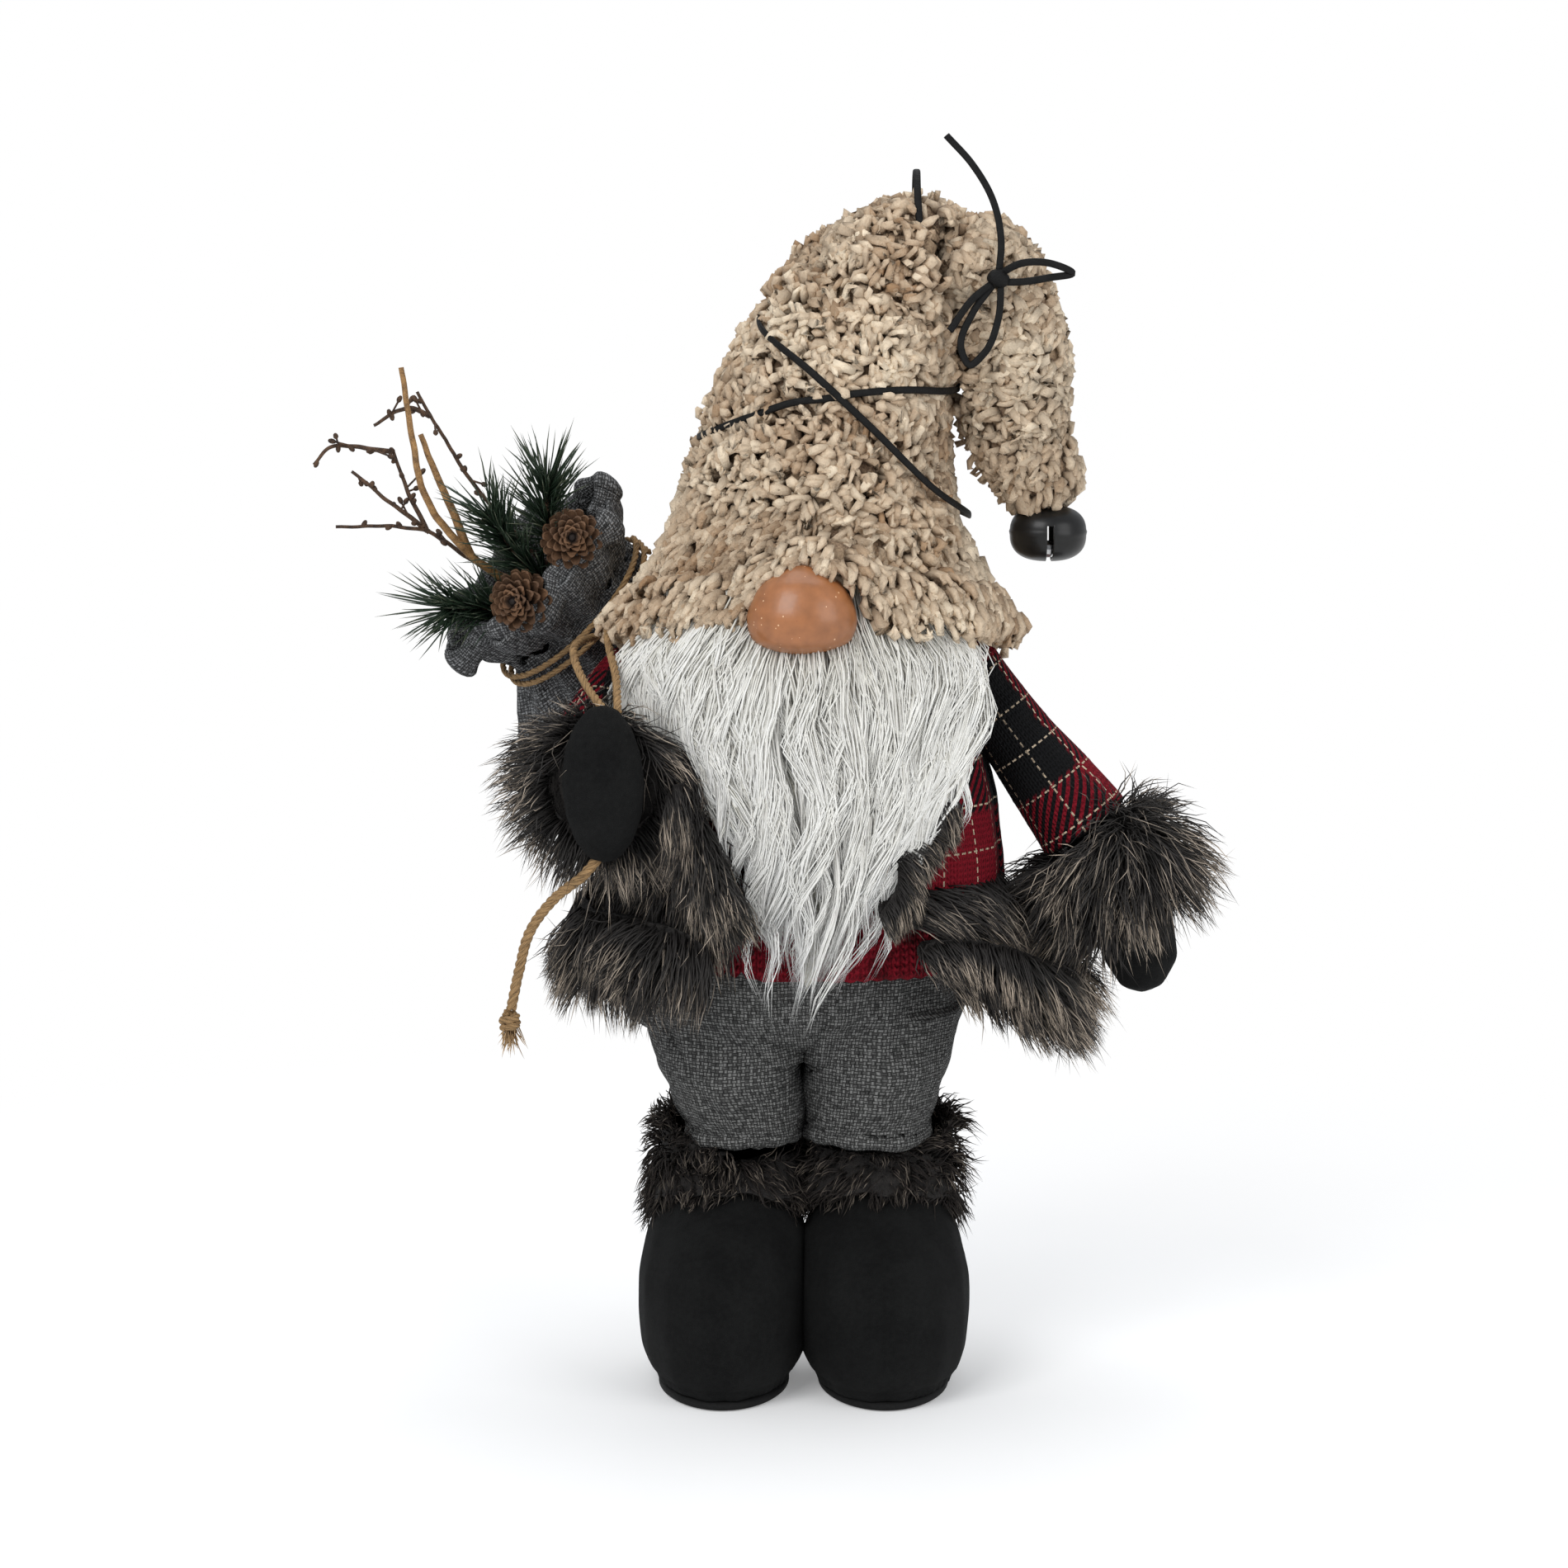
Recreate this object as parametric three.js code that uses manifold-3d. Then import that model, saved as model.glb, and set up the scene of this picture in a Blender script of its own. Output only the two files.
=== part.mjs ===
// A standing winter gnome, 45 cm tall: a stuffed figure in a boucle hat, fur trimmed coat and felt boots,
// with a long beard, a jingle bell on the tip of its hat and a wool sack of greenery over one shoulder.
// Millimetres, +Z up, the face towards -Y. Right and left are the figure's own, so its right is at -X.
import * as THREE from "three";
import { mergeVertices } from "three/addons/utils/BufferGeometryUtils.js";
import Module from "manifold-3d";

const wasm = await Module();
wasm.setup();

// Clearance between pieces that touch, and how far the figure stands to one side of the middle of its box.
const SEAM = 0.3;
const FIGURE_SHIFT = 19;

// Boots: felt soles, stuffed uppers with a pellet bag inside, and a fur cuff on each ankle.
const SOLE_THICKNESS = 3;
const SOLE_HALF_WIDTH = 24;
const SOLE_HALF_LENGTH = 42;
const BOOT_HALF_WIDTH = 28.7;
const BOOT_HALF_LENGTH = 46;
const BOOT_HEIGHT = 63;
const BOOT_FORWARD = 10;
const BOOT_GAP = 1.2;
const SHAFT_HALF_WIDTH = 20;
const SHAFT_RISE = 20;
const WEIGHT_BAG_HALF_WIDTH = 17;
const WEIGHT_BAG_HALF_LENGTH = 32;
const WEIGHT_BAG_HEIGHT = 15;
const BOOT_CUFF_FUR = 8;
const BOOT_CUFF_HEIGHT = 42;

// Trousers, a thin shell over stuffed legs and the lower body. Hem heights are above the top of the boot.
const TROUSER_WALL = 1.6;
const RIGHT_HEM_RISE = 23;
const LEFT_HEM_RISE = 29;
const RIGHT_HEM_HALF_WIDTH = 21;
const LEFT_HEM_HALF_WIDTH = 25;
const CROTCH_RISE = 71;
const THIGH_HALF_DEPTH = 38;
const HIP_HALF_WIDTH = 65;
const HIP_HALF_DEPTH = 48;
const HIP_RISE = 12;
const WAIST_RISE = 36;
const WAIST_HALF_WIDTH = 60;
const LEG_HALF_WIDTH = 14.5;
const LEG_SOCKET = 30;

// Body, shirt hem, head and nose.
const BODY_HEIGHT = 115;
const BODY_HALF_WIDTH = 57;
const BODY_HALF_DEPTH = 45;
const NECK_HALF_WIDTH = 34;
const SHIRT_HEM_HEIGHT = 27;
const SHIRT_CLOTH = 2.2;
const HEAD_HALF_WIDTH = 42;
const HEAD_HALF_HEIGHT = 33;
const NOSE_HALF_WIDTH = 19;
const NOSE_HALF_HEIGHT = 16;
const NOSE_HALF_DEPTH = 16;
const NOSE_FORWARD = 62;
const PEG_RADIUS = 2.5;
const PEG_LENGTH = 36;

// Coat: a flared plaid shell, open in front, with fur along its front edges and its hem.
const COAT_WALL = 2.4;
const COAT_LENGTH = 94;
const COAT_HALF_WIDTH = 73;
const COAT_HALF_DEPTH = 57;
const COAT_SHOULDER_HALF_WIDTH = 56;
const COAT_COLLAR_RISE = 13;
const COAT_COLLAR_HALF_WIDTH = 38;
const COAT_OPENING_HEM = 46;
const COAT_OPENING_TOP = 116;
const FRONT_FUR_HALF_WIDTH = 11;
const HEM_FUR_HALF_THICKNESS = 11;
const HEM_FUR_HALF_HEIGHT = 20;

// Arms: stuffed sleeves with fur cuffs, felt mittens and a wire inside. The left arm swings at its shoulder.
const SHOULDER_BALL_RADIUS = 13.5;
const SHOULDER_OUT = 4;
const SLEEVE_LENGTH = 71;
const SLEEVE_TOP_RADIUS = 13;
const SLEEVE_END_RADIUS = 18;
const LEFT_ARM_ANGLE = 37;
const CUFF_FUR = 12;
const CUFF_LENGTH = 34;
const MITTEN_HALF_WIDTH = 16.5;
const MITTEN_HALF_LENGTH = 28;
const MITTEN_HALF_DEPTH = 12.5;
const ARM_WIRE_RADIUS = 1.2;

// Beard on its pad.
const BEARD_LENGTH = 148;
const BEARD_HALF_WIDTH = 60;
const BEARD_HALF_THICKNESS = 7;
const BEARD_FORWARD = 61;
const PAD_LENGTH = 96;
const PAD_HALF_THICKNESS = 5;

// Hat: a tall soft crown that folds over at its top, and the drooping tip that hangs from the fold.
const HAT_WALL = 5.5;
const BRIM_HALF_WIDTH = 72.5;
const BRIM_HALF_DEPTH = 62;
const BRIM_SLOPE = 0.37;
const BRIM_DROP = 14;
const CROWN_RISE = 157;
const CROWN_LEAN = 34;
const CINCH_HALF_WIDTH = 44.5;
const CROWN_TOP_HALF_WIDTH = 10;
const FOLD_OUT = 24;
const FOLD_DROP = 32;
const FOLD_RADIUS = 25;
const FOLD_PLAY = 1;
const TIP_LENGTH = 74;
const TIP_OUT = 26;
const TIP_MIDDLE_RADIUS = 21;
const TIP_END_RADIUS = 9;
const HAT_WIRE_RADIUS = 1;
const LACE_RADIUS = 1.3;
const LACE_PLAY = 2;
const LACE_CLEARING = [0, 3, 6, 9];

// Jingle bell: a pressed steel shell with crossed slots and an eye, and the pea that rattles inside.
const BELL_RADIUS = 13.8;
const BELL_HALF_HEIGHT = 10;
const BELL_WALL = 0.9;
const BELL_SLOT = 2.2;
const BELL_SLOT_RISE = 3.5;
const PEA_RADIUS = 3.2;
const LINK_RADIUS = 3.2;
const LINK_WIRE_RADIUS = 0.8;

// Sack, its twine, and the greenery in it.
const SACK_HALF_WIDTH = 37;
const SACK_HALF_DEPTH = 28;
const SACK_DEPTH = 95;
const SACK_WALL = 1.8;
const SACK_NECK_HALF_WIDTH = 31;
const SACK_NECK_HALF_DEPTH = 20;
const SACK_NECK_LENGTH = 14;
const MOUTH_HALF_WIDTH = 41;
const MOUTH_HALF_DEPTH = 25;
const MOUTH_LENGTH = 19;
const MOUTH_RUFFLES = 6;
const MOUTH_RUFFLE_DEPTH = 0.09;
const TWINE_RADIUS = 1.9;
const TIE_TURNS = 2;
const TIE_PITCH = 4.6;
const TIE_STANDOFF = 3.3;
const TURN_STEPS = 20;
const STEM_RADIUS = 1.2;
const NEEDLE_LENGTH = 24;
const NEEDLE_RADIUS = 0.6;
const NEEDLES = 17;
const CONE_RADIUS = 10.5;
const CONE_LENGTH = 22;
const CONE_TIERS = 5;
const TWIG_RADIUS = 0.9;
const STRAW_RADIUS = 1.3;

const COLOURS = {
  felt: [0x17181a, 0.95],
  weight: [0xb9b2a3, 0.9],
  fur: [0x4a4138, 0.95],
  stuffing: [0xe9e4da, 0.95],
  tweed: [0x5c5c5b, 0.95],
  plaid: [0x8c1a26, 0.9],
  knit: [0x9a1826, 0.9],
  beard: [0xe8e8e4, 0.8],
  nose: [0xc07a4c, 0.4],
  wood: [0xb98a5a, 0.7],
  boucle: [0xbfa98a, 0.95],
  lace: [0x141414, 0.7],
  bell: [0x1c1d1d, 0.35, 0.6],
  steel: [0xa9abad, 0.35, 0.9],
  wool: [0x5f6062, 0.95],
  twine: [0xb48a55, 0.9],
  pine: [0x22382a, 0.8],
  cone: [0x6b4526, 0.85],
  twig: [0x4a3323, 0.85],
  straw: [0xb07a3a, 0.8],
};

const vector = (p) => new THREE.Vector3(...p);
const radians = THREE.MathUtils.degToRad;
const moved = (p, by) => p.map((value, i) => value + by[i]);
const between = (from, to, share) => from.map((value, i) => value + (to[i] - value) * share);

// A manifold solid of a closed three.js geometry.
function solid(geometry) {
  const bare = new THREE.BufferGeometry();
  const loose = geometry.index ? geometry.toNonIndexed() : geometry;
  bare.setAttribute("position", loose.getAttribute("position"));
  const merged = mergeVertices(bare, 1e-4);
  return new wasm.Manifold(
    new wasm.Mesh({
      numProp: 3,
      vertProperties: merged.attributes.position.array,
      triVerts: new Uint32Array(merged.index.array),
    }),
  );
}

// A closed skin over rings of points, with each end closed by a fan round a pole.
function skin(rings, poles) {
  const sides = rings[0].length;
  const points = [...rings.flat(), ...poles];
  const start = points.length - 2;
  const last = (rings.length - 1) * sides;
  const faces = [];
  for (let side = 0; side < sides; side++) {
    const next = (side + 1) % sides;
    faces.push(start, next, side);
    faces.push(last + side, last + next, start + 1);
    for (let low = 0; low < last; low += sides) {
      const high = low + sides;
      faces.push(low + side, low + next, high + next, low + side, high + next, high + side);
    }
  }
  const geometry = new THREE.BufferGeometry().setFromPoints(points);
  geometry.setIndex(faces);
  const made = solid(geometry);
  if (made.volume() > 0) return made;
  geometry.setIndex(faces.reverse());
  return solid(geometry);
}

const pathOf = (stations) => new THREE.CatmullRomCurve3(stations.map((s) => vector(s.at)));
const girthOf = (stations) => new THREE.CatmullRomCurve3(stations.map((s) => vector([...s.half, 0])));

// A soft form that swells and tapers: oval sections on a smooth path through its stations.
// A station is { at, half }: the section's middle, and its half width and half depth.
// Level sections stay horizontal; the others stand square to the path, with their width along `across`.
// Round ends close like a cushion, flat ends are cut square. `grow` moves the whole surface outwards,
// `longer` lengthens the two ends, `bow` bends wide sections back at their sides, `lobes` ruffle the far end.
function form(stations, options = {}) {
  const { level = false, across = [1, 0, 0], grow = 0, longer = [0, 0], sides = 12, rings = 6 } = options;
  const { roundStart = false, roundEnd = false, lobes = 0, lobeDepth = 0, bow = 0 } = options;
  const path = pathOf(stations);
  const girth = girthOf(stations);
  const made = [];
  const poles = [];
  for (let ring = 0; ring <= rings; ring++) {
    const even = ring / rings;
    const share = roundStart || roundEnd ? (1 - Math.cos(Math.PI * even)) / 2 : even;
    const along = level ? vector([0, 0, 1]) : path.getTangent(share);
    const wide = vector(across).addScaledVector(along, -vector(across).dot(along)).normalize();
    const deep = along.clone().cross(wide);
    const centre = path.getPoint(share);
    if (ring === 0) poles.push(centre.addScaledVector(along, -grow - longer[0]).clone());
    if (ring === rings) poles.push(centre.addScaledVector(along, grow + longer[1]).clone());
    if ((ring === 0 && roundStart) || (ring === rings && roundEnd)) continue;
    const fromStart = roundStart ? share : 1;
    const fromEnd = roundEnd ? 1 - share : 1;
    const swell = roundedEnd(fromStart) * roundedEnd(fromEnd);
    const size = girth.getPoint(share);
    const outline = [];
    for (let side = 0; side < sides; side++) {
      const turn = (2 * Math.PI * side) / sides;
      const lobe = 1 + lobeDepth * Math.cos(lobes * turn) * share;
      const x = Math.cos(turn) * (size.x * swell * lobe + grow);
      const y = Math.sin(turn) * (size.y * swell * lobe + grow);
      const p = centre.clone().addScaledVector(wide, x).addScaledVector(deep, y);
      p.y += bow * x * x;
      outline.push(p);
    }
    made.push(outline);
  }
  return skin(made, poles);
}

// The share of full girth at a share of the length from a round end: an ellipse over the end's fifth.
function roundedEnd(share) {
  const within = Math.min(1, share / 0.22);
  return Math.sqrt(1 - Math.pow(1 - within, 2));
}

// A point on a level form's surface at a height and a turn from +X, some way out from the cloth.
function onForm(stations, height, turn, out) {
  const path = pathOf(stations);
  let low = 0;
  let high = 1;
  for (let halving = 0; halving < 30; halving++) {
    const share = (low + high) / 2;
    if (path.getPoint(share).z < height) low = share;
    else high = share;
  }
  const centre = path.getPoint(low);
  const size = girthOf(stations).getPoint(low);
  const x = centre.x + (size.x + out) * Math.cos(radians(turn));
  const y = centre.y + (size.y + out) * Math.sin(radians(turn));
  return [x, y, height];
}

// A rounded pebble of three half sizes, its poles above and below.
function pebble(at, half, grow = 0, sides = 12, rings = 8) {
  const ball = new THREE.SphereGeometry(1, sides, rings);
  ball.rotateX(Math.PI / 2);
  ball.scale(...half.map((h) => h + grow));
  ball.translate(...at);
  return solid(ball);
}

// A round cord or wire along a smooth route.
function cord(route, radius, steps, sides = 8, grow = 0) {
  const outline = new THREE.Shape();
  for (let side = 0; side < sides; side++) {
    const turn = (2 * Math.PI * side) / sides;
    const x = (radius + grow) * Math.cos(turn);
    const y = (radius + grow) * Math.sin(turn);
    if (side === 0) outline.moveTo(x, y);
    else outline.lineTo(x, y);
  }
  outline.closePath();
  const extrudePath = new THREE.CatmullRomCurve3(route.map(vector));
  return solid(new THREE.ExtrudeGeometry(outline, { steps, bevelEnabled: false, extrudePath }));
}

function ovalPlate(x, y, halfWidth, halfLength, bottom, thickness) {
  const outline = new THREE.Shape();
  outline.absellipse(x, y, halfWidth, halfLength, 0, 2 * Math.PI);
  const upright = { depth: thickness, bevelEnabled: false, curveSegments: 10 };
  const plate = new THREE.ExtrudeGeometry(outline, upright);
  plate.translate(0, 0, bottom);
  return solid(plate);
}

function block(low, high) {
  const size = high.map((value, i) => value - low[i]);
  const box = new THREE.BoxGeometry(...size);
  box.translate(...between(low, high, 0.5));
  return solid(box);
}

const join = (...solids) => solids.reduce((sum, other) => sum.add(other));

// A solid with others taken away, keeping its largest body: crumbs of cloth or fur are trimmed off.
function cut(whole, ...tools) {
  const left = tools.reduce((rest, tool) => rest.subtract(tool), whole);
  return left.decompose().reduce((most, body) => (body.volume() > most.volume() ? body : most));
}

// Everything on one side of a plane square to an axis, as a block to cut with.
function beyond(axis, value, towards) {
  const far = 600;
  const low = [-far, -far, -far];
  const high = [far, far, far];
  if (towards > 0) low[axis] = value;
  else high[axis] = value;
  return block(low, high);
}

const figure = new THREE.Group();
figure.position.x = FIGURE_SHIFT;

function place(name, shape, colour) {
  const mesh = shape.getMesh();
  const geometry = new THREE.BufferGeometry();
  geometry.setAttribute("position", new THREE.BufferAttribute(mesh.vertProperties, 3));
  geometry.setIndex(new THREE.BufferAttribute(mesh.triVerts, 1));
  geometry.computeVertexNormals();
  const [color, roughness, metalness = 0] = COLOURS[colour];
  const material = new THREE.MeshStandardMaterial({ color, roughness, metalness, flatShading: true });
  const node = new THREE.Mesh(geometry, material);
  node.name = name;
  figure.add(node);
}

// Heights and places that follow from the sizes, from the floor up
const bootBottom = SOLE_THICKNESS + SEAM;
const ankleTop = BOOT_HEIGHT + SHAFT_RISE;
const ankleBack = BOOT_FORWARD / 2;
const bootSpread = BOOT_HALF_WIDTH + BOOT_GAP / 2;
const crotch = BOOT_HEIGHT + CROTCH_RISE;
const waist = crotch + WAIST_RISE;
const bodyBottom = crotch + HIP_RISE - 4;
const shoulderTop = bodyBottom + BODY_HEIGHT;
const headCentre = [0, -2, shoulderTop + SEAM + HEAD_HALF_HEIGHT];
const noseCentre = [-1, -NOSE_FORWARD, headCentre[2] - 1];
const coatTop = shoulderTop + COAT_COLLAR_RISE;
const coatHem = coatTop - COAT_LENGTH;
const brim = headCentre[2] - BRIM_DROP;
const crownTop = brim + CROWN_RISE;
const foldPoint = [4 + CROWN_LEAN + FOLD_OUT, 0, crownTop - FOLD_DROP];
const tipEnd = moved(foldPoint, [TIP_OUT, 0, -TIP_LENGTH]);
const leftShoulder = [COAT_SHOULDER_HALF_WIDTH + SHOULDER_OUT, 0, shoulderTop + 4];
const rightShoulder = [-COAT_SHOULDER_HALF_WIDTH - 2, 0, shoulderTop + 6];

// Boots

function bootForm(way, grow = 0) {
  const x = way * bootSpread;
  const y = -BOOT_FORWARD;
  const stations = [
    { at: [x, y, bootBottom], half: [SOLE_HALF_WIDTH + 1, SOLE_HALF_LENGTH] },
    { at: [x, y, BOOT_HEIGHT * 0.3], half: [BOOT_HALF_WIDTH, BOOT_HALF_LENGTH] },
    { at: [x, y, BOOT_HEIGHT * 0.6], half: [BOOT_HALF_WIDTH, BOOT_HALF_LENGTH - 1] },
    { at: [x, y / 2, BOOT_HEIGHT * 0.88], half: [BOOT_HALF_WIDTH - 3, BOOT_HALF_LENGTH * 0.78] },
    { at: [x, ankleBack - 3, BOOT_HEIGHT + 4], half: [SHAFT_HALF_WIDTH + 2, SHAFT_HALF_WIDTH + 5] },
    { at: [x, ankleBack, ankleTop], half: [SHAFT_HALF_WIDTH, SHAFT_HALF_WIDTH] },
  ];
  return form(stations, { level: true, grow, sides: 14, rings: 7 });
}

function ankleForm(way, grow = 0) {
  const x = way * bootSpread;
  const wide = LEG_HALF_WIDTH;
  const stations = [
    { at: [x, ankleBack, ankleTop - LEG_SOCKET], half: [wide, wide] },
    { at: [x - way, ankleBack - 3, ankleTop], half: [wide + 0.5, wide + 0.5] },
    { at: [x - way * 2, 0, ankleTop + 24], half: [wide + 4, wide + 4] },
  ];
  return form(stations, { level: true, grow, rings: 3 });
}

function bootCuffForm(way) {
  const x = way * bootSpread;
  const wide = SHAFT_HALF_WIDTH + BOOT_CUFF_FUR;
  const low = BOOT_HEIGHT - 3;
  const station = (share, half) => ({ at: [x, ankleBack - 2, low + BOOT_CUFF_HEIGHT * share], half });
  const stations = [
    station(0, [wide - 2, wide]),
    station(0.35, [wide + 1, wide + 1]),
    station(0.75, [wide, wide]),
    station(1, [wide - 4, wide - 4]),
  ];
  return form(stations, { level: true, rings: 4 });
}

// Trousers and the legs inside them

const hems = {
  right: { way: -1, height: BOOT_HEIGHT + RIGHT_HEM_RISE, half: RIGHT_HEM_HALF_WIDTH },
  left: { way: 1, height: BOOT_HEIGHT + LEFT_HEM_RISE, half: LEFT_HEM_HALF_WIDTH },
};

function trouserLeg({ way, height, half }, grow = 0, longer = [0, 0]) {
  const thigh = (HIP_HALF_WIDTH - 8) / 2;
  const knee = (height + crotch) / 2;
  const stations = [
    { at: [way * (half + 1.5), ankleBack - 6, height], half: [half - 1, half + 1] },
    { at: [way * (half + 2), ankleBack - 6, height + 9], half: [half + 1.5, half + 4] },
    { at: [way * (thigh + 0.5), -2, knee], half: [thigh, THIGH_HALF_DEPTH - 6] },
    { at: [way * (thigh + 1), 0, crotch + 6], half: [thigh + 2, THIGH_HALF_DEPTH] },
  ];
  return form(stations, { level: true, grow, longer, rings: 4 });
}

function trouserSeat(grow = 0, longer = [0, 0]) {
  const lean = -5;
  const hip = crotch + HIP_RISE;
  const stations = [
    { at: [lean / 2, 0, crotch - 12], half: [HIP_HALF_WIDTH - 16, THIGH_HALF_DEPTH - 7] },
    { at: [lean, 0, hip], half: [HIP_HALF_WIDTH, HIP_HALF_DEPTH] },
    { at: [lean / 2, 0, waist - 8], half: [WAIST_HALF_WIDTH, HIP_HALF_DEPTH - 1] },
    { at: [0, 0, waist], half: [WAIST_HALF_WIDTH - 1, HIP_HALF_DEPTH - 2] },
  ];
  return form(stations, { level: true, grow, longer, sides: 14, rings: 4 });
}

const trouserForm = (grow = 0) =>
  join(trouserSeat(grow), trouserLeg(hems.right, grow), trouserLeg(hems.left, grow));

function trouserHollow() {
  const through = 2 * TROUSER_WALL + 4;
  const leg = (hemLine) => trouserLeg(hemLine, -TROUSER_WALL, [through, 0]);
  return join(trouserSeat(-TROUSER_WALL, [0, through]), leg(hems.right), leg(hems.left));
}

// Body, shirt hem, head and nose

function bodyForm(grow = 0) {
  const station = (share, halfWidth, halfDepth) => ({
    at: [share - 1, 0, bodyBottom + BODY_HEIGHT * share],
    half: [halfWidth, halfDepth],
  });
  const stations = [
    station(0, BODY_HALF_WIDTH - 9, BODY_HALF_DEPTH - 8),
    station(0.13, BODY_HALF_WIDTH - 2, BODY_HALF_DEPTH - 1),
    station(0.45, BODY_HALF_WIDTH, BODY_HALF_DEPTH),
    station(0.7, BODY_HALF_WIDTH - 4, BODY_HALF_DEPTH - 3),
    station(0.9, BODY_HALF_WIDTH - 12, BODY_HALF_DEPTH - 8),
    station(1, NECK_HALF_WIDTH, NECK_HALF_WIDTH - 6),
  ];
  return form(stations, { level: true, grow, sides: 14, rings: 6 });
}

function shirtHemForm(grow = 0) {
  const low = waist - SHIRT_HEM_HEIGHT / 2;
  const wide = WAIST_HALF_WIDTH + SHIRT_CLOTH;
  const deep = HIP_HALF_DEPTH + SHIRT_CLOTH;
  const stations = [
    { at: [-1, 0, low], half: [wide + 2.5, deep] },
    { at: [0, 0, low + SHIRT_HEM_HEIGHT], half: [wide, deep - 1] },
  ];
  return form(stations, { level: true, grow, sides: 14, rings: 2 });
}

const headHalf = [HEAD_HALF_WIDTH, HEAD_HALF_WIDTH - 1, HEAD_HALF_HEIGHT];
const headForm = (grow = 0) => pebble(headCentre, headHalf, grow);

// The nose: widest at its middle, drawn up to a rounded point and flatter below.
function noseForm(grow = 0) {
  const station = (share, width) => ({
    at: moved(noseCentre, [0, 0, NOSE_HALF_HEIGHT * share]),
    half: [NOSE_HALF_WIDTH * width, NOSE_HALF_DEPTH * width],
  });
  const stations = [station(-1, 0.78), station(-0.45, 1), station(0, 1), station(0.5, 0.86), station(1, 0.6)];
  return form(stations, { level: true, grow, roundStart: true, roundEnd: true, sides: 14, rings: 8 });
}

function pegForm(grow = 0) {
  const start = moved(noseCentre, [0, NOSE_HALF_DEPTH / 2 - grow, 0]);
  return cord([start, moved(start, [0, PEG_LENGTH + 2 * grow, 0])], PEG_RADIUS, 1, 10, grow);
}

// Coat

function coatForm(grow = 0, longer = [0, 0]) {
  const station = (share, halfWidth, halfDepth) => ({
    at: [0, 0, coatHem + COAT_LENGTH * share],
    half: [halfWidth, halfDepth],
  });
  const stations = [
    station(0, COAT_HALF_WIDTH + 1, COAT_HALF_DEPTH),
    station(0.25, COAT_HALF_WIDTH, COAT_HALF_DEPTH),
    station(0.52, COAT_HALF_WIDTH - 4, COAT_HALF_DEPTH - 3),
    station(0.72, COAT_HALF_WIDTH - 10, COAT_HALF_DEPTH - 7),
    station(0.9, COAT_SHOULDER_HALF_WIDTH - 5, COAT_HALF_DEPTH - 14),
    station(1, COAT_COLLAR_HALF_WIDTH, COAT_COLLAR_HALF_WIDTH - 2),
  ];
  return form(stations, { level: true, grow, longer, sides: 18, rings: 6 });
}

function coatOpening() {
  const outline = new THREE.Shape();
  outline.moveTo(-COAT_OPENING_HEM / 2, coatHem - 4);
  outline.lineTo(COAT_OPENING_HEM / 2 + 4, coatHem - 4);
  outline.lineTo(COAT_OPENING_TOP / 2, coatTop + 4);
  outline.lineTo(-COAT_OPENING_TOP / 2, coatTop + 4);
  outline.closePath();
  const wedge = new THREE.ExtrudeGeometry(outline, { depth: 2 * COAT_HALF_DEPTH, bevelEnabled: false });
  wedge.rotateX(Math.PI / 2);
  return solid(wedge);
}

// Arms

const alongLeftArm = vector([Math.sin(radians(LEFT_ARM_ANGLE)), -0.07, -Math.cos(radians(LEFT_ARM_ANGLE))])
  .normalize()
  .toArray();
const leftWrist = moved(leftShoulder, alongLeftArm.map((part) => part * SLEEVE_LENGTH));
const leftMittenCentre = moved(leftWrist, [19, 0, -MITTEN_HALF_LENGTH - 10]);
const rightElbow = moved(rightShoulder, [-17, -9, -23]);
const rightWrist = moved(rightElbow, [5, -38, -14]);
const rightMittenCentre = moved(rightWrist, [0, -MITTEN_HALF_DEPTH - 6, 3]);

function leftSleeveForm(grow = 0) {
  const stations = [
    { at: leftShoulder, half: [SLEEVE_TOP_RADIUS, SLEEVE_TOP_RADIUS] },
    { at: between(leftShoulder, leftWrist, 0.45), half: [SLEEVE_TOP_RADIUS + 1, SLEEVE_TOP_RADIUS + 1] },
    { at: leftWrist, half: [SLEEVE_END_RADIUS, SLEEVE_END_RADIUS] },
  ];
  const ball = [SHOULDER_BALL_RADIUS, SHOULDER_BALL_RADIUS, SHOULDER_BALL_RADIUS];
  return join(form(stations, { across: [0, 1, 0], grow, rings: 4 }), pebble(leftShoulder, ball, grow));
}

function rightSleeveForm(grow = 0) {
  const wide = SLEEVE_TOP_RADIUS + 2;
  const stations = [
    { at: rightShoulder, half: [SLEEVE_TOP_RADIUS, SLEEVE_TOP_RADIUS] },
    { at: rightElbow, half: [wide, wide] },
    { at: moved(between(rightElbow, rightWrist, 0.5), [-1, 0, -3]), half: [wide, wide] },
    { at: rightWrist, half: [wide - 1, wide - 1] },
  ];
  return form(stations, { grow, rings: 6 });
}

function leftMittenForm(grow = 0) {
  const top = moved(leftWrist, alongLeftArm.map((part) => part * SEAM));
  const middle = moved(between(top, leftMittenCentre, 0.5), [2, 0, 0]);
  const fingers = moved(leftMittenCentre, [2, 0, 5 - MITTEN_HALF_LENGTH]);
  const stations = [
    { at: top, half: [MITTEN_HALF_DEPTH - 2, SLEEVE_TOP_RADIUS - 3] },
    { at: middle, half: [MITTEN_HALF_DEPTH - 1, SLEEVE_TOP_RADIUS - 1] },
    { at: leftMittenCentre, half: [MITTEN_HALF_DEPTH, MITTEN_HALF_WIDTH - 2] },
    { at: fingers, half: [MITTEN_HALF_DEPTH - 1, MITTEN_HALF_WIDTH - 4] },
  ];
  return form(stations, { across: [0, 1, 0], grow, roundEnd: true, rings: 7 });
}

const rightMittenForm = (grow = 0) =>
  pebble(rightMittenCentre, [MITTEN_HALF_WIDTH, MITTEN_HALF_DEPTH, MITTEN_HALF_LENGTH], grow);

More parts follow.
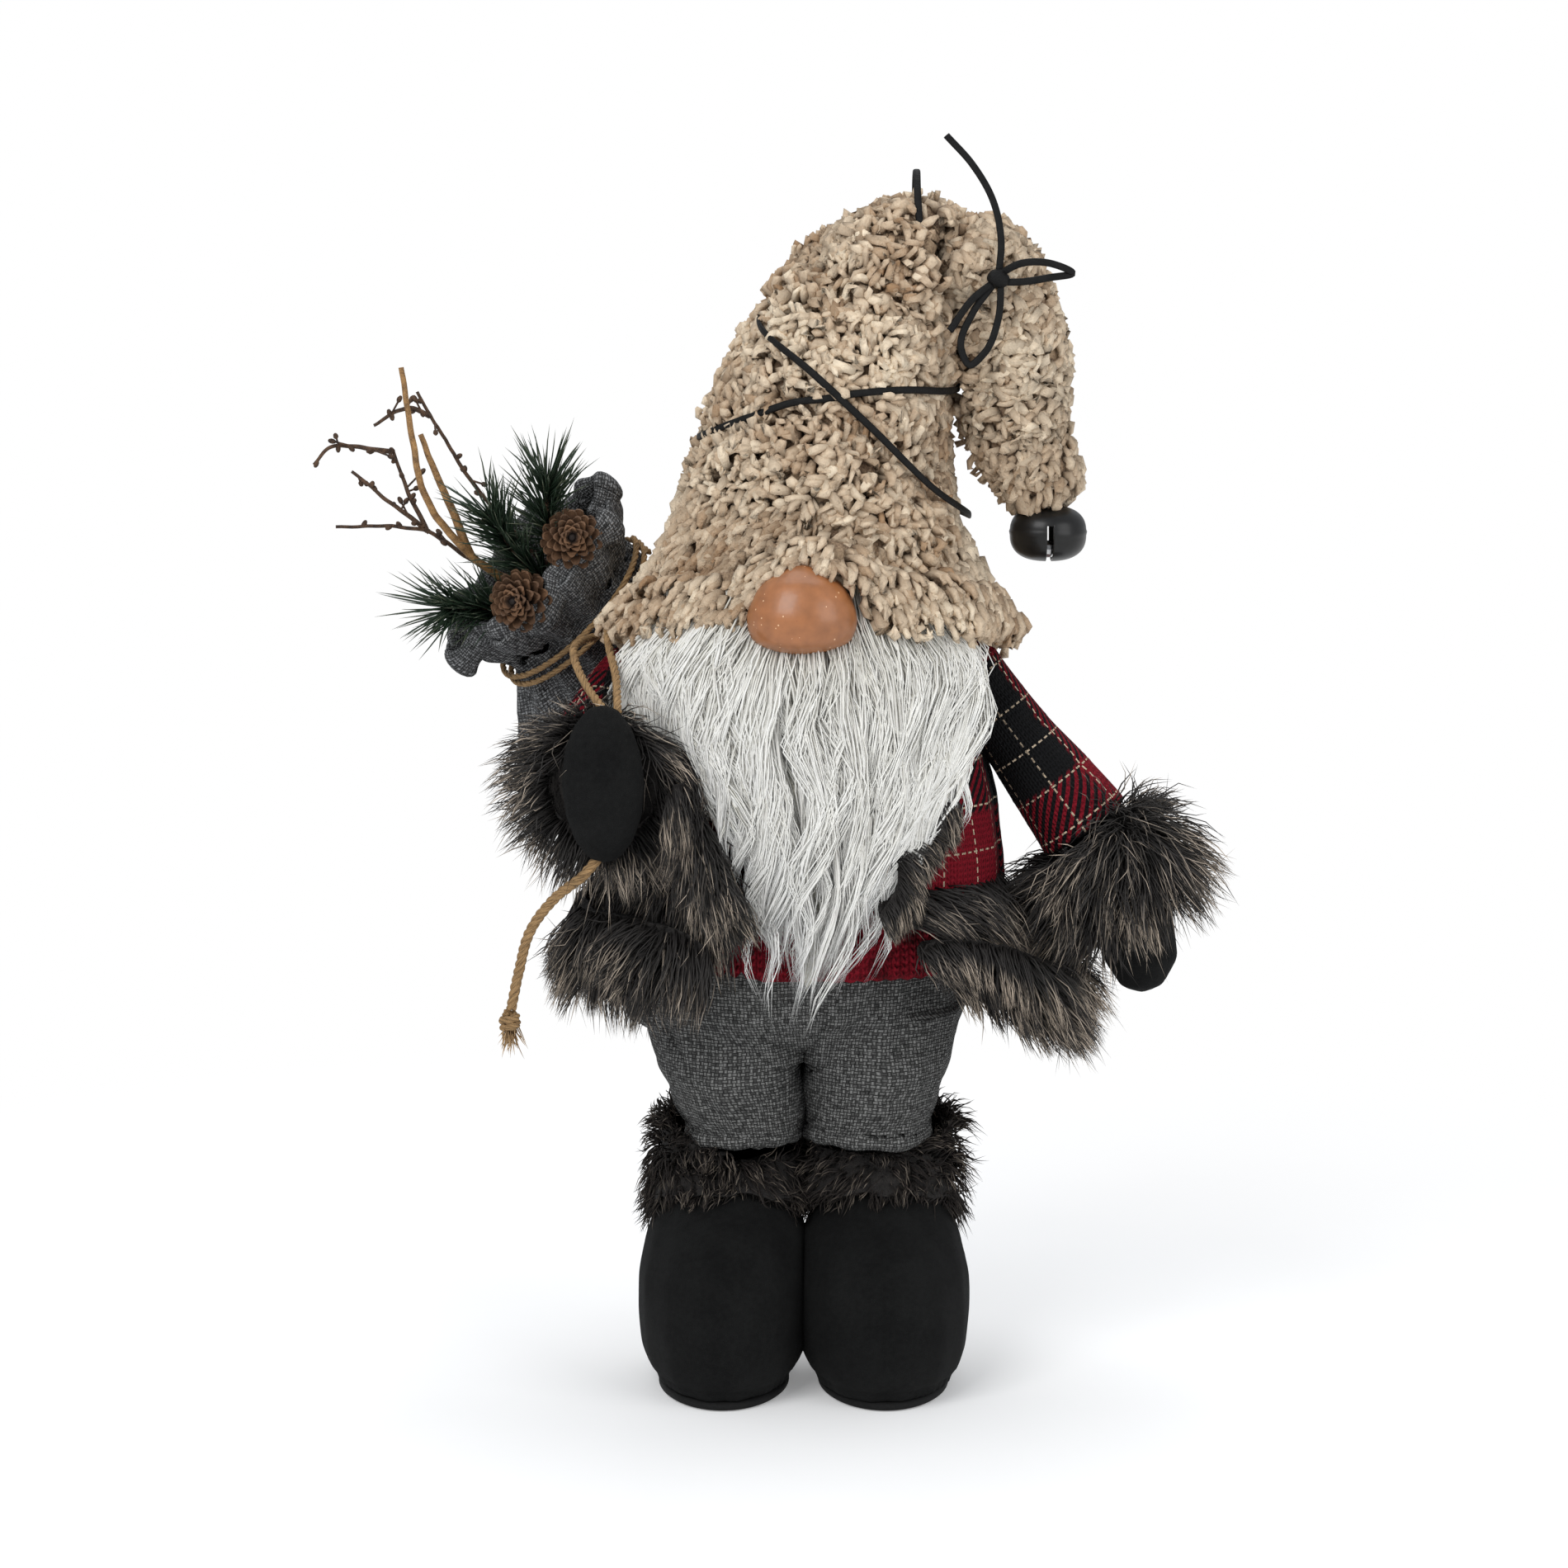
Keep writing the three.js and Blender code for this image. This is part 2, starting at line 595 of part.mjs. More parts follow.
// A fur cuff: a stubby barrel round the end of a sleeve.
function cuffForm(middle, along, radius, across, grow = 0) {
  const at = (share) => moved(middle, along.map((part) => part * CUFF_LENGTH * share));
  const wide = radius + CUFF_FUR;
  const stations = [
    { at: at(-0.5), half: [wide - 4, wide - 4] },
    { at: at(-0.2), half: [wide, wide] },
    { at: at(0.2), half: [wide, wide] },
    { at: at(0.5), half: [wide - 3, wide - 3] },
  ];
  return form(stations, { across, grow, rings: 3 });
}

const leftCuffMiddle = between(leftWrist, leftMittenCentre, 0.4);
const leftCuffForm = (grow = 0) =>
  cuffForm(leftCuffMiddle, alongLeftArm, SLEEVE_END_RADIUS - 1, [0, 1, 0], grow);
const rightCuffForm = (grow = 0) =>
  cuffForm(between(rightWrist, rightElbow, 0.08), [0, -1, 0], SLEEVE_TOP_RADIUS + 2, [1, 0, 0], grow);

function leftArmWire(grow = 0) {
  const route = [between(leftShoulder, leftWrist, 0.08), leftWrist, moved(leftMittenCentre, [0, 0, 4])];
  return cord(route, ARM_WIRE_RADIUS, 8, 6, grow);
}

function rightArmWire(grow = 0) {
  const start = between(rightShoulder, rightElbow, 0.4);
  const route = [start, rightElbow, rightWrist, moved(rightMittenCentre, [0, 2, 0])];
  return cord(route, ARM_WIRE_RADIUS, 10, 6, grow);
}

// Fur on the coat: rounded rolls that the finished pile fills.

function furRoll(route, halfAcross, halfHeight, grow, rings) {
  const stations = route.map((at) => ({ at, half: [halfHeight, halfAcross] }));
  return form(stations, { across: [0, 0, 1], grow, roundStart: true, roundEnd: true, sides: 10, rings });
}

const openingEdge = COAT_OPENING_HEM / 2;
const coatFront = -COAT_HALF_DEPTH;
const coatSide = COAT_HALF_WIDTH;
const furRoutes = {
  rightFront: [
    [-openingEdge - 30, coatFront + 9, coatHem + 68],
    [-openingEdge - 20, coatFront + 2, coatHem + 44],
    [-openingEdge - 9, coatFront - 1, coatHem + 18],
    [-openingEdge - 4, coatFront - 2, coatHem],
  ],
  leftFront: [
    [openingEdge + 25, coatFront + 8, coatHem + 56],
    [openingEdge + 14, coatFront + 1, coatHem + 34],
    [openingEdge + 5, coatFront - 2, coatHem + 14],
    [openingEdge + 6, coatFront - 2, coatHem + 2],
  ],
  rightHem: [
    [-openingEdge, coatFront - 1, coatHem - 9],
    [-openingEdge - 34, coatFront + 10, coatHem - 8],
    [-coatSide - 9, -16, coatHem - 8],
    [-coatSide - 1, 28, coatHem - 6],
    [-openingEdge - 12, -coatFront - 6, coatHem - 5],
    [-1, -coatFront + 3, coatHem - 5],
  ],
  leftHem: [
    [openingEdge + 9, coatFront - 1, coatHem - 4],
    [openingEdge + 38, coatFront + 9, coatHem - 14],
    [coatSide + 13, coatFront + 30, coatHem - 27],
    [coatSide + 17, 2, coatHem - 26],
    [coatSide + 2, 34, coatHem - 15],
    [openingEdge + 14, -coatFront - 5, coatHem - 8],
    [1, -coatFront + 3, coatHem - 6],
  ],
};
const frontFur = (name, grow = 0) =>
  furRoll(furRoutes[name], FRONT_FUR_HALF_WIDTH, FRONT_FUR_HALF_WIDTH, grow, 6);
const hemFur = (name, grow = 0) =>
  furRoll(furRoutes[name], HEM_FUR_HALF_THICKNESS, HEM_FUR_HALF_HEIGHT, grow, 10);

// Beard: widest under the hat, drawn in to a lock that hangs in front of the belly, on a pad of stuffing.

const beardTop = headCentre[2] - 2;

function beardForm(grow = 0) {
  const thick = BEARD_HALF_THICKNESS;
  const station = (share, x, back, width, depth) => ({
    at: [x, back - BEARD_FORWARD, beardTop - BEARD_LENGTH * share],
    half: [BEARD_HALF_WIDTH * width, thick * depth],
  });
  const stations = [
    station(0, 0, 10, 0.8, 0.8),
    station(0.12, 0, 5, 1, 1),
    station(0.26, 2, 1, 0.95, 1),
    station(0.41, 8, 0, 0.74, 1),
    station(0.6, 7, 2, 0.48, 0.95),
    station(0.8, 1, 4, 0.24, 0.8),
    station(1, -3, 7, 0.07, 0.45),
  ];
  return form(stations, { level: true, grow, bow: 0.0052, roundEnd: true, sides: 14, rings: 8 });
}

function padForm() {
  const back = BEARD_HALF_THICKNESS + SEAM + PAD_HALF_THICKNESS - BEARD_FORWARD;
  const station = (share, x, shift, width) => ({
    at: [x, back + shift, beardTop - 2 - PAD_LENGTH * share],
    half: [BEARD_HALF_WIDTH * width, PAD_HALF_THICKNESS],
  });
  const upper = [station(0, 0, 10, 0.6), station(0.3, 0, 4, 0.62)];
  const stations = [...upper, station(0.7, 4, 0, 0.5), station(1, 5, 1, 0.3)];
  return form(stations, { level: true, bow: 0.0052, rings: 5 });
}

// Hat

const crownLean = (share) => 4 + CROWN_LEAN * Math.pow(Math.max(0, share), 2.4);

function crownStation(share, halfWidth, halfDepth) {
  return { at: [crownLean(share), 0, brim + CROWN_RISE * share], half: [halfWidth, halfDepth] };
}

const crownStations = [
  crownStation(-0.16, BRIM_HALF_WIDTH, BRIM_HALF_DEPTH + 2),
  crownStation(0, BRIM_HALF_WIDTH, BRIM_HALF_DEPTH),
  crownStation(0.1, BRIM_HALF_WIDTH - 7, BRIM_HALF_DEPTH - 3),
  crownStation(0.22, BRIM_HALF_WIDTH - 16, BRIM_HALF_DEPTH - 8),
  crownStation(0.38, CINCH_HALF_WIDTH + 5, CINCH_HALF_WIDTH + 3),
  crownStation(0.5, CINCH_HALF_WIDTH, CINCH_HALF_WIDTH - 2),
  crownStation(0.66, CINCH_HALF_WIDTH - 5, CINCH_HALF_WIDTH - 6),
  crownStation(0.8, CINCH_HALF_WIDTH - 12, CINCH_HALF_WIDTH - 12),
  crownStation(0.92, CINCH_HALF_WIDTH - 20, CINCH_HALF_WIDTH - 19),
  crownStation(1, CROWN_TOP_HALF_WIDTH, CROWN_TOP_HALF_WIDTH),
];
const crownForm = (grow = 0, longer = [0, 0]) =>
  form(crownStations, { level: true, grow, longer, sides: 16, rings: 9 });

// What lies under the brim: its edge rises from the back of the head to the face.
function belowBrim(lower = 0) {
  const wide = 4 * BRIM_HALF_WIDTH;
  const under = new THREE.BoxGeometry(wide, wide, wide);
  under.translate(0, 0, -wide / 2);
  under.rotateX(-Math.atan(BRIM_SLOPE));
  under.translate(0, 0, brim + 2 - 1.1 * lower);
  return solid(under);
}

const tipStation = (out, down, radius) => ({
  at: moved(foldPoint, [TIP_OUT * out, 0, -TIP_LENGTH * down]),
  half: [radius, radius],
});
const tipStations = [
  tipStation(0, 0, FOLD_RADIUS - 1.5),
  tipStation(0.385, 0.216, TIP_MIDDLE_RADIUS + 1.5),
  tipStation(0.5, 0.46, TIP_MIDDLE_RADIUS),
  tipStation(0.62, 0.7, TIP_MIDDLE_RADIUS - 3),
  tipStation(0.85, 0.88, TIP_END_RADIUS + 4),
  tipStation(1, 1, TIP_END_RADIUS),
];

function tipForm(grow = 0) {
  const hang = form(tipStations, { across: [0, 1, 0], grow, rings: 7 });
  return join(hang, pebble(foldPoint, [FOLD_RADIUS, FOLD_RADIUS, FOLD_RADIUS], grow, 12, 8));
}

// The room the tip needs in the crown to bend at the fold.
const tipRoom = () =>
  join(tipForm(SEAM), pebble(foldPoint, [FOLD_RADIUS, FOLD_RADIUS, FOLD_RADIUS], FOLD_PLAY, 14, 10));

function tipWire(grow = 0) {
  const ends = [moved(foldPoint, [4, 0, -4]), moved(tipEnd, [-3.5, 0, 1.2 - 3 * grow])];
  const route = [ends[0], tipStations[2].at, tipStations[3].at, ends[1]];
  return cord(route, HAT_WIRE_RADIUS, 7, 6, grow);
}

function hatWire(grow = 0) {
  const foot = headCentre[2] + HEAD_HALF_HEIGHT + SEAM - 4 * grow;
  const top = crownTop - FOLD_DROP - 14;
  const share = (top - brim) / CROWN_RISE;
  const route = [
    [crownLean(0.3), 0, foot],
    [crownLean(0.5), 0, brim + CROWN_RISE * 0.5],
    [crownLean(share) - 3, 0, top + grow],
  ];
  return cord(route, HAT_WIRE_RADIUS, 6, 6, grow);
}

// The lace wound round the crown, as heights above the brim at turns from +X. It climbs over itself in front.
const laceOut = LACE_RADIUS + SEAM + 1;
const laceOver = 2 * LACE_RADIUS + 1.2;
const laceRoute = [
  [-182, 109, 0],
  [-145, 99, 0],
  [-105, 88, 0],
  [-72, 69, 0],
  [-43, 50, 0],
  [-10, 40, 0],
  [30, 43, 0],
  [75, 51, 0],
  [120, 61, 0],
  [160, 68, 0],
  [195, 71, 0],
  [230, 79, 0.2],
  [250, 84, 0.85],
  [262, 85, 1],
  [278, 87, 0.7],
  [300, 88, 0.1],
  [335, 87, 0],
  [375, 89, 0],
  [420, 97, 0],
  [465, 107, 0],
  [505, 114, 0],
  [535, 117, 0],
].map(([turn, rise, over]) => onForm(crownStations, brim + rise, turn, laceOut + laceOver * over));

const laceForm = (grow = 0) => cord(laceRoute, LACE_RADIUS, 48, 5, grow);

// The room the lace needs in the tip as the tip swings out: the lace turned about the fold, step by step.
function laceRoom() {
  const turned = LACE_CLEARING.map((angle) => {
    const toFold = new THREE.Matrix4().makeTranslation(...foldPoint);
    const back = toFold.clone().invert();
    const turn = new THREE.Matrix4().makeRotationY(radians(angle));
    return laceForm(LACE_PLAY).transform(toFold.multiply(turn).multiply(back).elements);
  });
  return join(...turned);
}

// The least gap between stretches of a winding that are at least `apart` route points from each other.
function leastGap(route, radius, apart) {
  const curve = new THREE.CatmullRomCurve3(route.map(vector));
  const finer = 6;
  const points = curve.getPoints(route.length * finer);
  let least = Infinity;
  for (let i = 0; i < points.length; i++) {
    for (let j = i + apart * finer; j < points.length; j++) {
      least = Math.min(least, points[i].distanceTo(points[j]) - 2 * radius);
    }
  }
  return least;
}
console.log(`hat lace: least gap to itself ${leastGap(laceRoute, LACE_RADIUS, 6).toFixed(2)} mm`);

function laceStrap() {
  const top = [crownLean(1) + 2, 0, crownTop];
  const route = [
    moved(top, [1, -15, -16]),
    moved(top, [0, -10, 1]),
    moved(top, [0, -3, 7]),
    moved(top, [0, 3, 7]),
    moved(top, [0, 10, 1]),
    moved(top, [1, 15, -16]),
  ];
  return cord(route, LACE_RADIUS, 10, 5);
}

// The bow on the fold: a knot, two loops, and two waxed tails that stand by themselves.
function laceBow() {
  const knot = moved(foldPoint, [6, -FOLD_RADIUS - 1.7, 1.5]);
  const from = (...offsets) => offsets.map((offset) => moved(knot, offset));
  const rightLoopOut = from([0, 0, 1.5], [8, -3, 5.5], [18, -3, 5.5], [26, -1, 2]);
  const rightLoop = [...rightLoopOut, ...from([18, -1, 0.5], [8, -1, -1], [0, 0, -1])];
  const lowLoopDown = from([1, 0, 0], [0, -2, -14], [-5, -3, -26], [-10, -3, -30]);
  const lowLoop = [...lowLoopDown, ...from([-13, -2, -24], [-9, -1, -12], [-1, 0, -1])];
  const longTail = from([0, 0, 0], [1, 1, 13], [-2, 6, 28], [-9, 9, 40], [-18, 12, 50]);
  const shortTail = from([0, 0, 0], [-9, -2, -7], [-17, -3, -18]);
  const strands = [
    cord(rightLoop, LACE_RADIUS, 9, 5),
    cord(lowLoop, LACE_RADIUS, 9, 5),
    cord(longTail, LACE_RADIUS, 6, 5),
    cord(shortTail, LACE_RADIUS, 4, 5),
  ];
  return join(pebble(knot, [4, 2.4, 3.4], 0, 10, 6), ...strands);
}

// Jingle bell, hung by its eye in a thread loop that is sewn into the tip

const linkPin = moved(tipEnd, [0, 0, -2.5]);
const eyeCentre = moved(linkPin, [0, 0, 2 * LINK_WIRE_RADIUS + SEAM - LINK_RADIUS]);
const bellCentre = moved(eyeCentre, [0, 0, -LINK_RADIUS - BELL_HALF_HEIGHT + BELL_WALL]);

function link(centre, radius, turned, grow = 0) {
  const ring = new THREE.TorusGeometry(radius, LINK_WIRE_RADIUS + grow, 5, 12);
  if (turned) ring.rotateY(Math.PI / 2);
  else ring.rotateX(Math.PI / 2);
  ring.translate(...centre);
  return solid(ring);
}

const threadLoopCentre = moved(linkPin, [0, 0, LINK_RADIUS]);
const threadLoop = (grow = 0) => link(threadLoopCentre, LINK_RADIUS, true, grow);

// A squat rounded bell: a superellipse turned round its axis.
function bellForm(grow = 0) {
  const steps = 8;
  const squareness = 2 / 2.6;
  const profile = [];
  for (let step = 0; step <= steps; step++) {
    const lift = -Math.PI / 2 + (Math.PI * step) / steps;
    const radius = Math.pow(Math.abs(Math.cos(lift)), squareness) * (BELL_RADIUS + grow);
    const height = Math.pow(Math.abs(Math.sin(lift)), squareness) * (BELL_HALF_HEIGHT + grow);
    profile.push(new THREE.Vector2(step % steps === 0 ? 0 : radius, Math.sign(lift) * height));
  }
  const lathe = new THREE.LatheGeometry(profile, 12);
  lathe.rotateX(Math.PI / 2);
  lathe.translate(...bellCentre);
  return solid(lathe);
}

function bellShell() {
  const low = -BELL_HALF_HEIGHT - 1;
  const slot = (halfX, halfY) =>
    block(moved(bellCentre, [-halfX, -halfY, low]), moved(bellCentre, [halfX, halfY, BELL_SLOT_RISE]));
  const reach = BELL_RADIUS + 1;
  const eye = link(eyeCentre, LINK_RADIUS, false);
  const whole = join(bellForm(), eye);
  return cut(whole, bellForm(-BELL_WALL), slot(reach, BELL_SLOT / 2), slot(BELL_SLOT / 2, reach));
}

// Sack: gathered at its neck, stuffed below it, and ruffled open above it

const sackNeck = moved(rightShoulder, [-26, 25, 18]);
const sackAxis = vector([-0.62, -0.46, 0.63]).normalize();
const sackWide = vector([0.713, 0, 0.7]).normalize();
const sackDeep = sackAxis.clone().cross(sackWide);
const neckPoint = (out, wide = 0, deep = 0) =>
  vector(sackNeck)
    .addScaledVector(sackAxis, out)
    .addScaledVector(sackWide, wide)
    .addScaledVector(sackDeep, deep)
    .toArray();

function sackForm(grow = 0) {
  const low = sackNeck[2] - SACK_DEPTH;
  const neckHalf = [SACK_NECK_HALF_WIDTH, SACK_NECK_HALF_DEPTH];
  const stations = [
    { at: [sackNeck[0] + 17, 47, low], half: [SACK_HALF_WIDTH * 0.8, SACK_HALF_DEPTH * 0.8] },
    { at: [sackNeck[0] + 16, 50, low + 26], half: [SACK_HALF_WIDTH, SACK_HALF_DEPTH] },
    { at: [sackNeck[0] + 13, 50, low + 56], half: [SACK_HALF_WIDTH, SACK_HALF_DEPTH] },
    { at: [sackNeck[0] + 9, 39, sackNeck[2] - 18], half: [SACK_HALF_WIDTH - 3, SACK_HALF_DEPTH - 4] },
    { at: neckPoint(-SACK_NECK_LENGTH / 2), half: neckHalf },
    { at: neckPoint(SACK_NECK_LENGTH / 2), half: neckHalf },
  ];
  return form(stations, { across: sackWide.toArray(), grow, roundStart: true, sides: 14, rings: 8 });
}

function mouthForm(grow = 0, longer = [0, 0]) {
  const start = SACK_NECK_LENGTH / 2 - 0.5;
  const stations = [0, 0.3, 0.65, 1].map((share) => {
    const spread = Math.sin((share * Math.PI) / 2);
    const wide = SACK_NECK_HALF_WIDTH + (MOUTH_HALF_WIDTH - SACK_NECK_HALF_WIDTH) * spread;
    const deep = SACK_NECK_HALF_DEPTH + (MOUTH_HALF_DEPTH - SACK_NECK_HALF_DEPTH) * spread;
    return { at: neckPoint(start + MOUTH_LENGTH * share), half: [wide, deep] };
  });
  const ruffles = { lobes: MOUTH_RUFFLES, lobeDepth: MOUTH_RUFFLE_DEPTH };
  return form(stations, { across: sackWide.toArray(), grow, longer, sides: 24, rings: 2, ...ruffles });
}

// The cloth of the sack: its outside less its inside, with the mouth left open.
function sackCloth(grow = 0) {
  const inward = -SACK_WALL - grow;
  const outside = join(sackForm(grow), mouthForm(grow));
  const through = SACK_WALL + 3 + 2 * grow;
  return outside.subtract(join(sackForm(inward), mouthForm(inward, [through, through])));
}

// Twine: turns round the neck of the sack, strands down to the mitten, and a tail that hangs from it

const tieRoute = [];
for (let step = 0; step <= TIE_TURNS * TURN_STEPS; step++) {
  const turn = (2 * Math.PI * step) / TURN_STEPS;
  const wide = (SACK_NECK_HALF_WIDTH + TIE_STANDOFF) * Math.cos(turn);
  const deep = (SACK_NECK_HALF_DEPTH + TIE_STANDOFF) * Math.sin(turn);
  const climb = (TIE_PITCH * step) / TURN_STEPS - (TIE_PITCH * TIE_TURNS) / 2;
  tieRoute.push(neckPoint(climb, wide, deep));
}
const tieGap = leastGap(tieRoute, TWINE_RADIUS, TURN_STEPS / 2);
console.log(`sack tie: least gap to itself ${tieGap.toFixed(2)} mm`);
const tieForm = (grow = 0) => cord(tieRoute, TWINE_RADIUS, TIE_TURNS * TURN_STEPS, 6, grow);

const gripTop = moved(rightMittenCentre, [1, 2, MITTEN_HALF_LENGTH - 3]);
const gripBottom = moved(rightMittenCentre, [-2, 1, 2 - MITTEN_HALF_LENGTH]);
const fromGrip = (...offsets) => offsets.map((offset) => moved(gripTop, offset));
const strandRoutes = {
  rope_outer_strand: [neckPoint(-2, 4, -24), ...fromGrip([-13, 38, 18], [-7, 14, 7], [0, 0, 0])],
  rope_inner_strand: [neckPoint(2, 19, -21), ...fromGrip([-1, 42, 24], [3, 16, 9], [4, 1, 0])],
};
const tailRoute = [
  gripBottom,
  moved(gripBottom, [-5, 0, -6]),
  moved(gripBottom, [-15, 0, -14]),
  moved(gripBottom, [-24, 0, -26]),
  moved(gripBottom, [-28, 1, -40]),
  moved(gripBottom, [-31, 2, -54]),
];
const knotCentre = moved(tailRoute.at(-1), [-0.5, 0, -4.5]);

// Greenery

// A stem with needles all round it, each a slim three sided spike fused to the stem.
function pineSprig(route, firstShare, grow = 0) {
  const curve = new THREE.CatmullRomCurve3(route.map(vector));
  const golden = Math.PI * (3 - Math.sqrt(5));
  const spikes = [];
  for (let n = 0; n < NEEDLES; n++) {
    const share = firstShare + ((1 - firstShare) * (n + 0.5)) / NEEDLES;
    const along = curve.getTangentAt(share);
    const wide = vector([0, 1, 0]).cross(along).normalize();
    const deep = along.clone().cross(wide);
    const out = wide.multiplyScalar(Math.cos(golden * n)).addScaledVector(deep, Math.sin(golden * n));
    const way = out.addScaledVector(along, 0.9).normalize();
    const spike = new THREE.ConeGeometry(NEEDLE_RADIUS + grow, NEEDLE_LENGTH + grow, 3, 1);
    spike.translate(0, NEEDLE_LENGTH / 2, 0);
    spike.applyQuaternion(new THREE.Quaternion().setFromUnitVectors(vector([0, 1, 0]), way));
    spike.translate(...curve.getPointAt(share).toArray());
    spikes.push(solid(spike));
  }
  return join(cord(route, STEM_RADIUS, 4, 5, grow), ...spikes);
}

// A pine cone on its stem: tiers of scales as a stepped profile turned round its axis.
function pineCone(route, way, grow = 0) {
  const profile = [new THREE.Vector2(0, -grow)];
  for (let tier = 0; tier < CONE_TIERS; tier++) {
    const share = (tier + 0.8) / CONE_TIERS;
    const radius = CONE_RADIUS * Math.sin(Math.PI * Math.pow(share * 0.93, 0.7));
    profile.push(new THREE.Vector2(radius * 0.75 + grow, (CONE_LENGTH * (tier + 0.1)) / CONE_TIERS));
    profile.push(new THREE.Vector2(radius + 0.8 + grow, (CONE_LENGTH * (tier + 0.75)) / CONE_TIERS));
  }
  profile.push(new THREE.Vector2(0, CONE_LENGTH + grow));
  const lathe = new THREE.LatheGeometry(profile, 10);
  const upright = vector([0, 1, 0]);
  lathe.applyQuaternion(new THREE.Quaternion().setFromUnitVectors(upright, vector(way).normalize()));
  lathe.translate(...route.at(-1));
  return join(cord(route, STEM_RADIUS, 4, 6, grow), solid(lathe));
}

function twig(limbs, radius, grow = 0) {
  return join(...limbs.map((route) => cord(route, radius, 2 * route.length - 1, 5, grow)));
}

const stemStart = SACK_NECK_LENGTH / 2 - 2;
const fromNeck = (...offsets) => offsets.map((offset) => moved(sackNeck, offset));
const sprigRoutes = {
  sprig_lower: [neckPoint(stemStart, -15, -2), ...fromNeck([-30, -18, 2], [-44, -30, 4])],
  sprig_middle: [neckPoint(stemStart, 1, -3), ...fromNeck([-20, -20, 22], [-29, -32, 38])],
  sprig_upper: [neckPoint(stemStart, 14, -1), ...fromNeck([-8, -18, 32], [-8, -30, 50])],
};
const coneRoutes = {
  cone_lower: [neckPoint(stemStart, -7, -10), ...fromNeck([-14, -22, 6])],
  cone_upper: [neckPoint(stemStart, 9, -10), ...fromNeck([0, -18, 26])],
};
const coneWays = { cone_lower: [-0.35, -0.92, 0.05], cone_upper: [0.05, -0.97, 0.2] };
const twigLimbs = {
  straw_stick: [
    [
      neckPoint(stemStart, -3, 6),
      ...fromNeck([-36, -22, 22], [-52, -30, 44], [-56, -32, 62], [-59.5, -34, 90]),
    ],
    fromNeck([-36, -22, 22], [-45, -24, 44], [-54, -24, 66]),
  ],
  twig_tall: [
    [neckPoint(stemStart, 4, 9), ...fromNeck([-33, -10, 43], [-42, -12, 57], [-51, -14, 72], [-56, -14, 81])],
    fromNeck([-51, -14, 72], [-59, -18, 75], [-71, -20, 69]),
  ],
  twig_low: [
    [neckPoint(stemStart, -11, 7), ...fromNeck([-40, -14, 22], [-52, -18, 30], [-85, -22, 32])],
    fromNeck([-52, -18, 30], [-60, -16, 46], [-65, -14, 59]),
    fromNeck([-65, -14, 59], [-80, -14, 61], [-87.5, -14, 60.5], [-94, -14, 54]),
    fromNeck([-52, -18, 30], [-66, -22, 42], [-79, -24, 52]),
  ],
};

// Assembly. Soft pieces that meet are cut by the firmer or larger one, one seam apart.

const trousers = cut(
  trouserForm(),
  trouserHollow(),
  block([-SEAM, -HIP_HALF_DEPTH, 0], [SEAM, HIP_HALF_DEPTH, crotch - 8]),
);

for (const [name, hemLine] of Object.entries(hems)) {
  const { way } = hemLine;
  const x = way * bootSpread;
  const otherSide = beyond(0, (way * SEAM) / 2, -way);
  const bagAt = [x, -BOOT_FORWARD, bootBottom + WEIGHT_BAG_HEIGHT / 2];
  const bagHalf = [WEIGHT_BAG_HALF_WIDTH, WEIGHT_BAG_HALF_LENGTH, WEIGHT_BAG_HEIGHT / 2];
  const pocketHalf = [WEIGHT_BAG_HALF_WIDTH + SEAM, WEIGHT_BAG_HALF_LENGTH + SEAM];
  const pocket = ovalPlate(x, -BOOT_FORWARD, ...pocketHalf, bootBottom - 1, WEIGHT_BAG_HEIGHT + 1 + SEAM);
  const sole = ovalPlate(x, -BOOT_FORWARD, SOLE_HALF_WIDTH, SOLE_HALF_LENGTH, 0, SOLE_THICKNESS);
  const leg = join(trouserLeg(hemLine, -TROUSER_WALL - SEAM), ankleForm(way));
  const underCuff = [bootForm(way, SEAM), ankleForm(way, SEAM), trouserForm(SEAM)];
  place(`${name}_boot_sole`, sole, "felt");
  place(`${name}_weight_bag`, pebble(bagAt, bagHalf, 0, 12, 6), "weight");
  place(`${name}_boot_upper`, cut(bootForm(way), pocket, ankleForm(way, SEAM)), "felt");
  place(`${name}_leg`, cut(leg, trousers, bodyForm(SEAM), otherSide), "stuffing");
  place(`${name}_boot_cuff`, cut(bootCuffForm(way), ...underCuff, otherSide), "fur");
}
place("trousers", trousers, "tweed");
place("body", cut(bodyForm(), trousers), "stuffing");
place("shirt_hem", cut(shirtHemForm(), trouserForm(SEAM), bodyForm(SEAM)), "knit");
place("head", cut(headForm(), pegForm(SEAM)), "stuffing");
place("nose", cut(noseForm(), pegForm(SEAM)), "nose");
place("nose_peg", pegForm(), "wood");

const coatSeam = -4;
const shoulderRoom = leftSleeveForm(2 * SEAM);
const coatThrough = 2 * COAT_WALL + 2;
const coatHollow = coatForm(-COAT_WALL, [coatThrough, coatThrough]);
const coatShell = cut(coatForm(), coatHollow, coatOpening(), headForm(SEAM));
place("coat_back", cut(coatShell, beyond(1, coatSeam + SEAM, -1), shoulderRoom), "plaid");
place("coat_right_front", cut(coatShell, beyond(1, coatSeam, 1), beyond(0, 0, 1)), "plaid");
place("coat_left_front", cut(coatShell, beyond(1, coatSeam, 1), beyond(0, 0, -1), shoulderRoom), "plaid");

place("left_sleeve", cut(leftSleeveForm(), leftArmWire(SEAM)), "plaid");
place("left_mitten", cut(leftMittenForm(), leftArmWire(SEAM), leftSleeveForm(SEAM)), "felt");
place("left_arm_wire", leftArmWire(), "steel");
place("left_cuff", cut(leftCuffForm(), leftSleeveForm(SEAM), leftMittenForm(SEAM)), "fur");

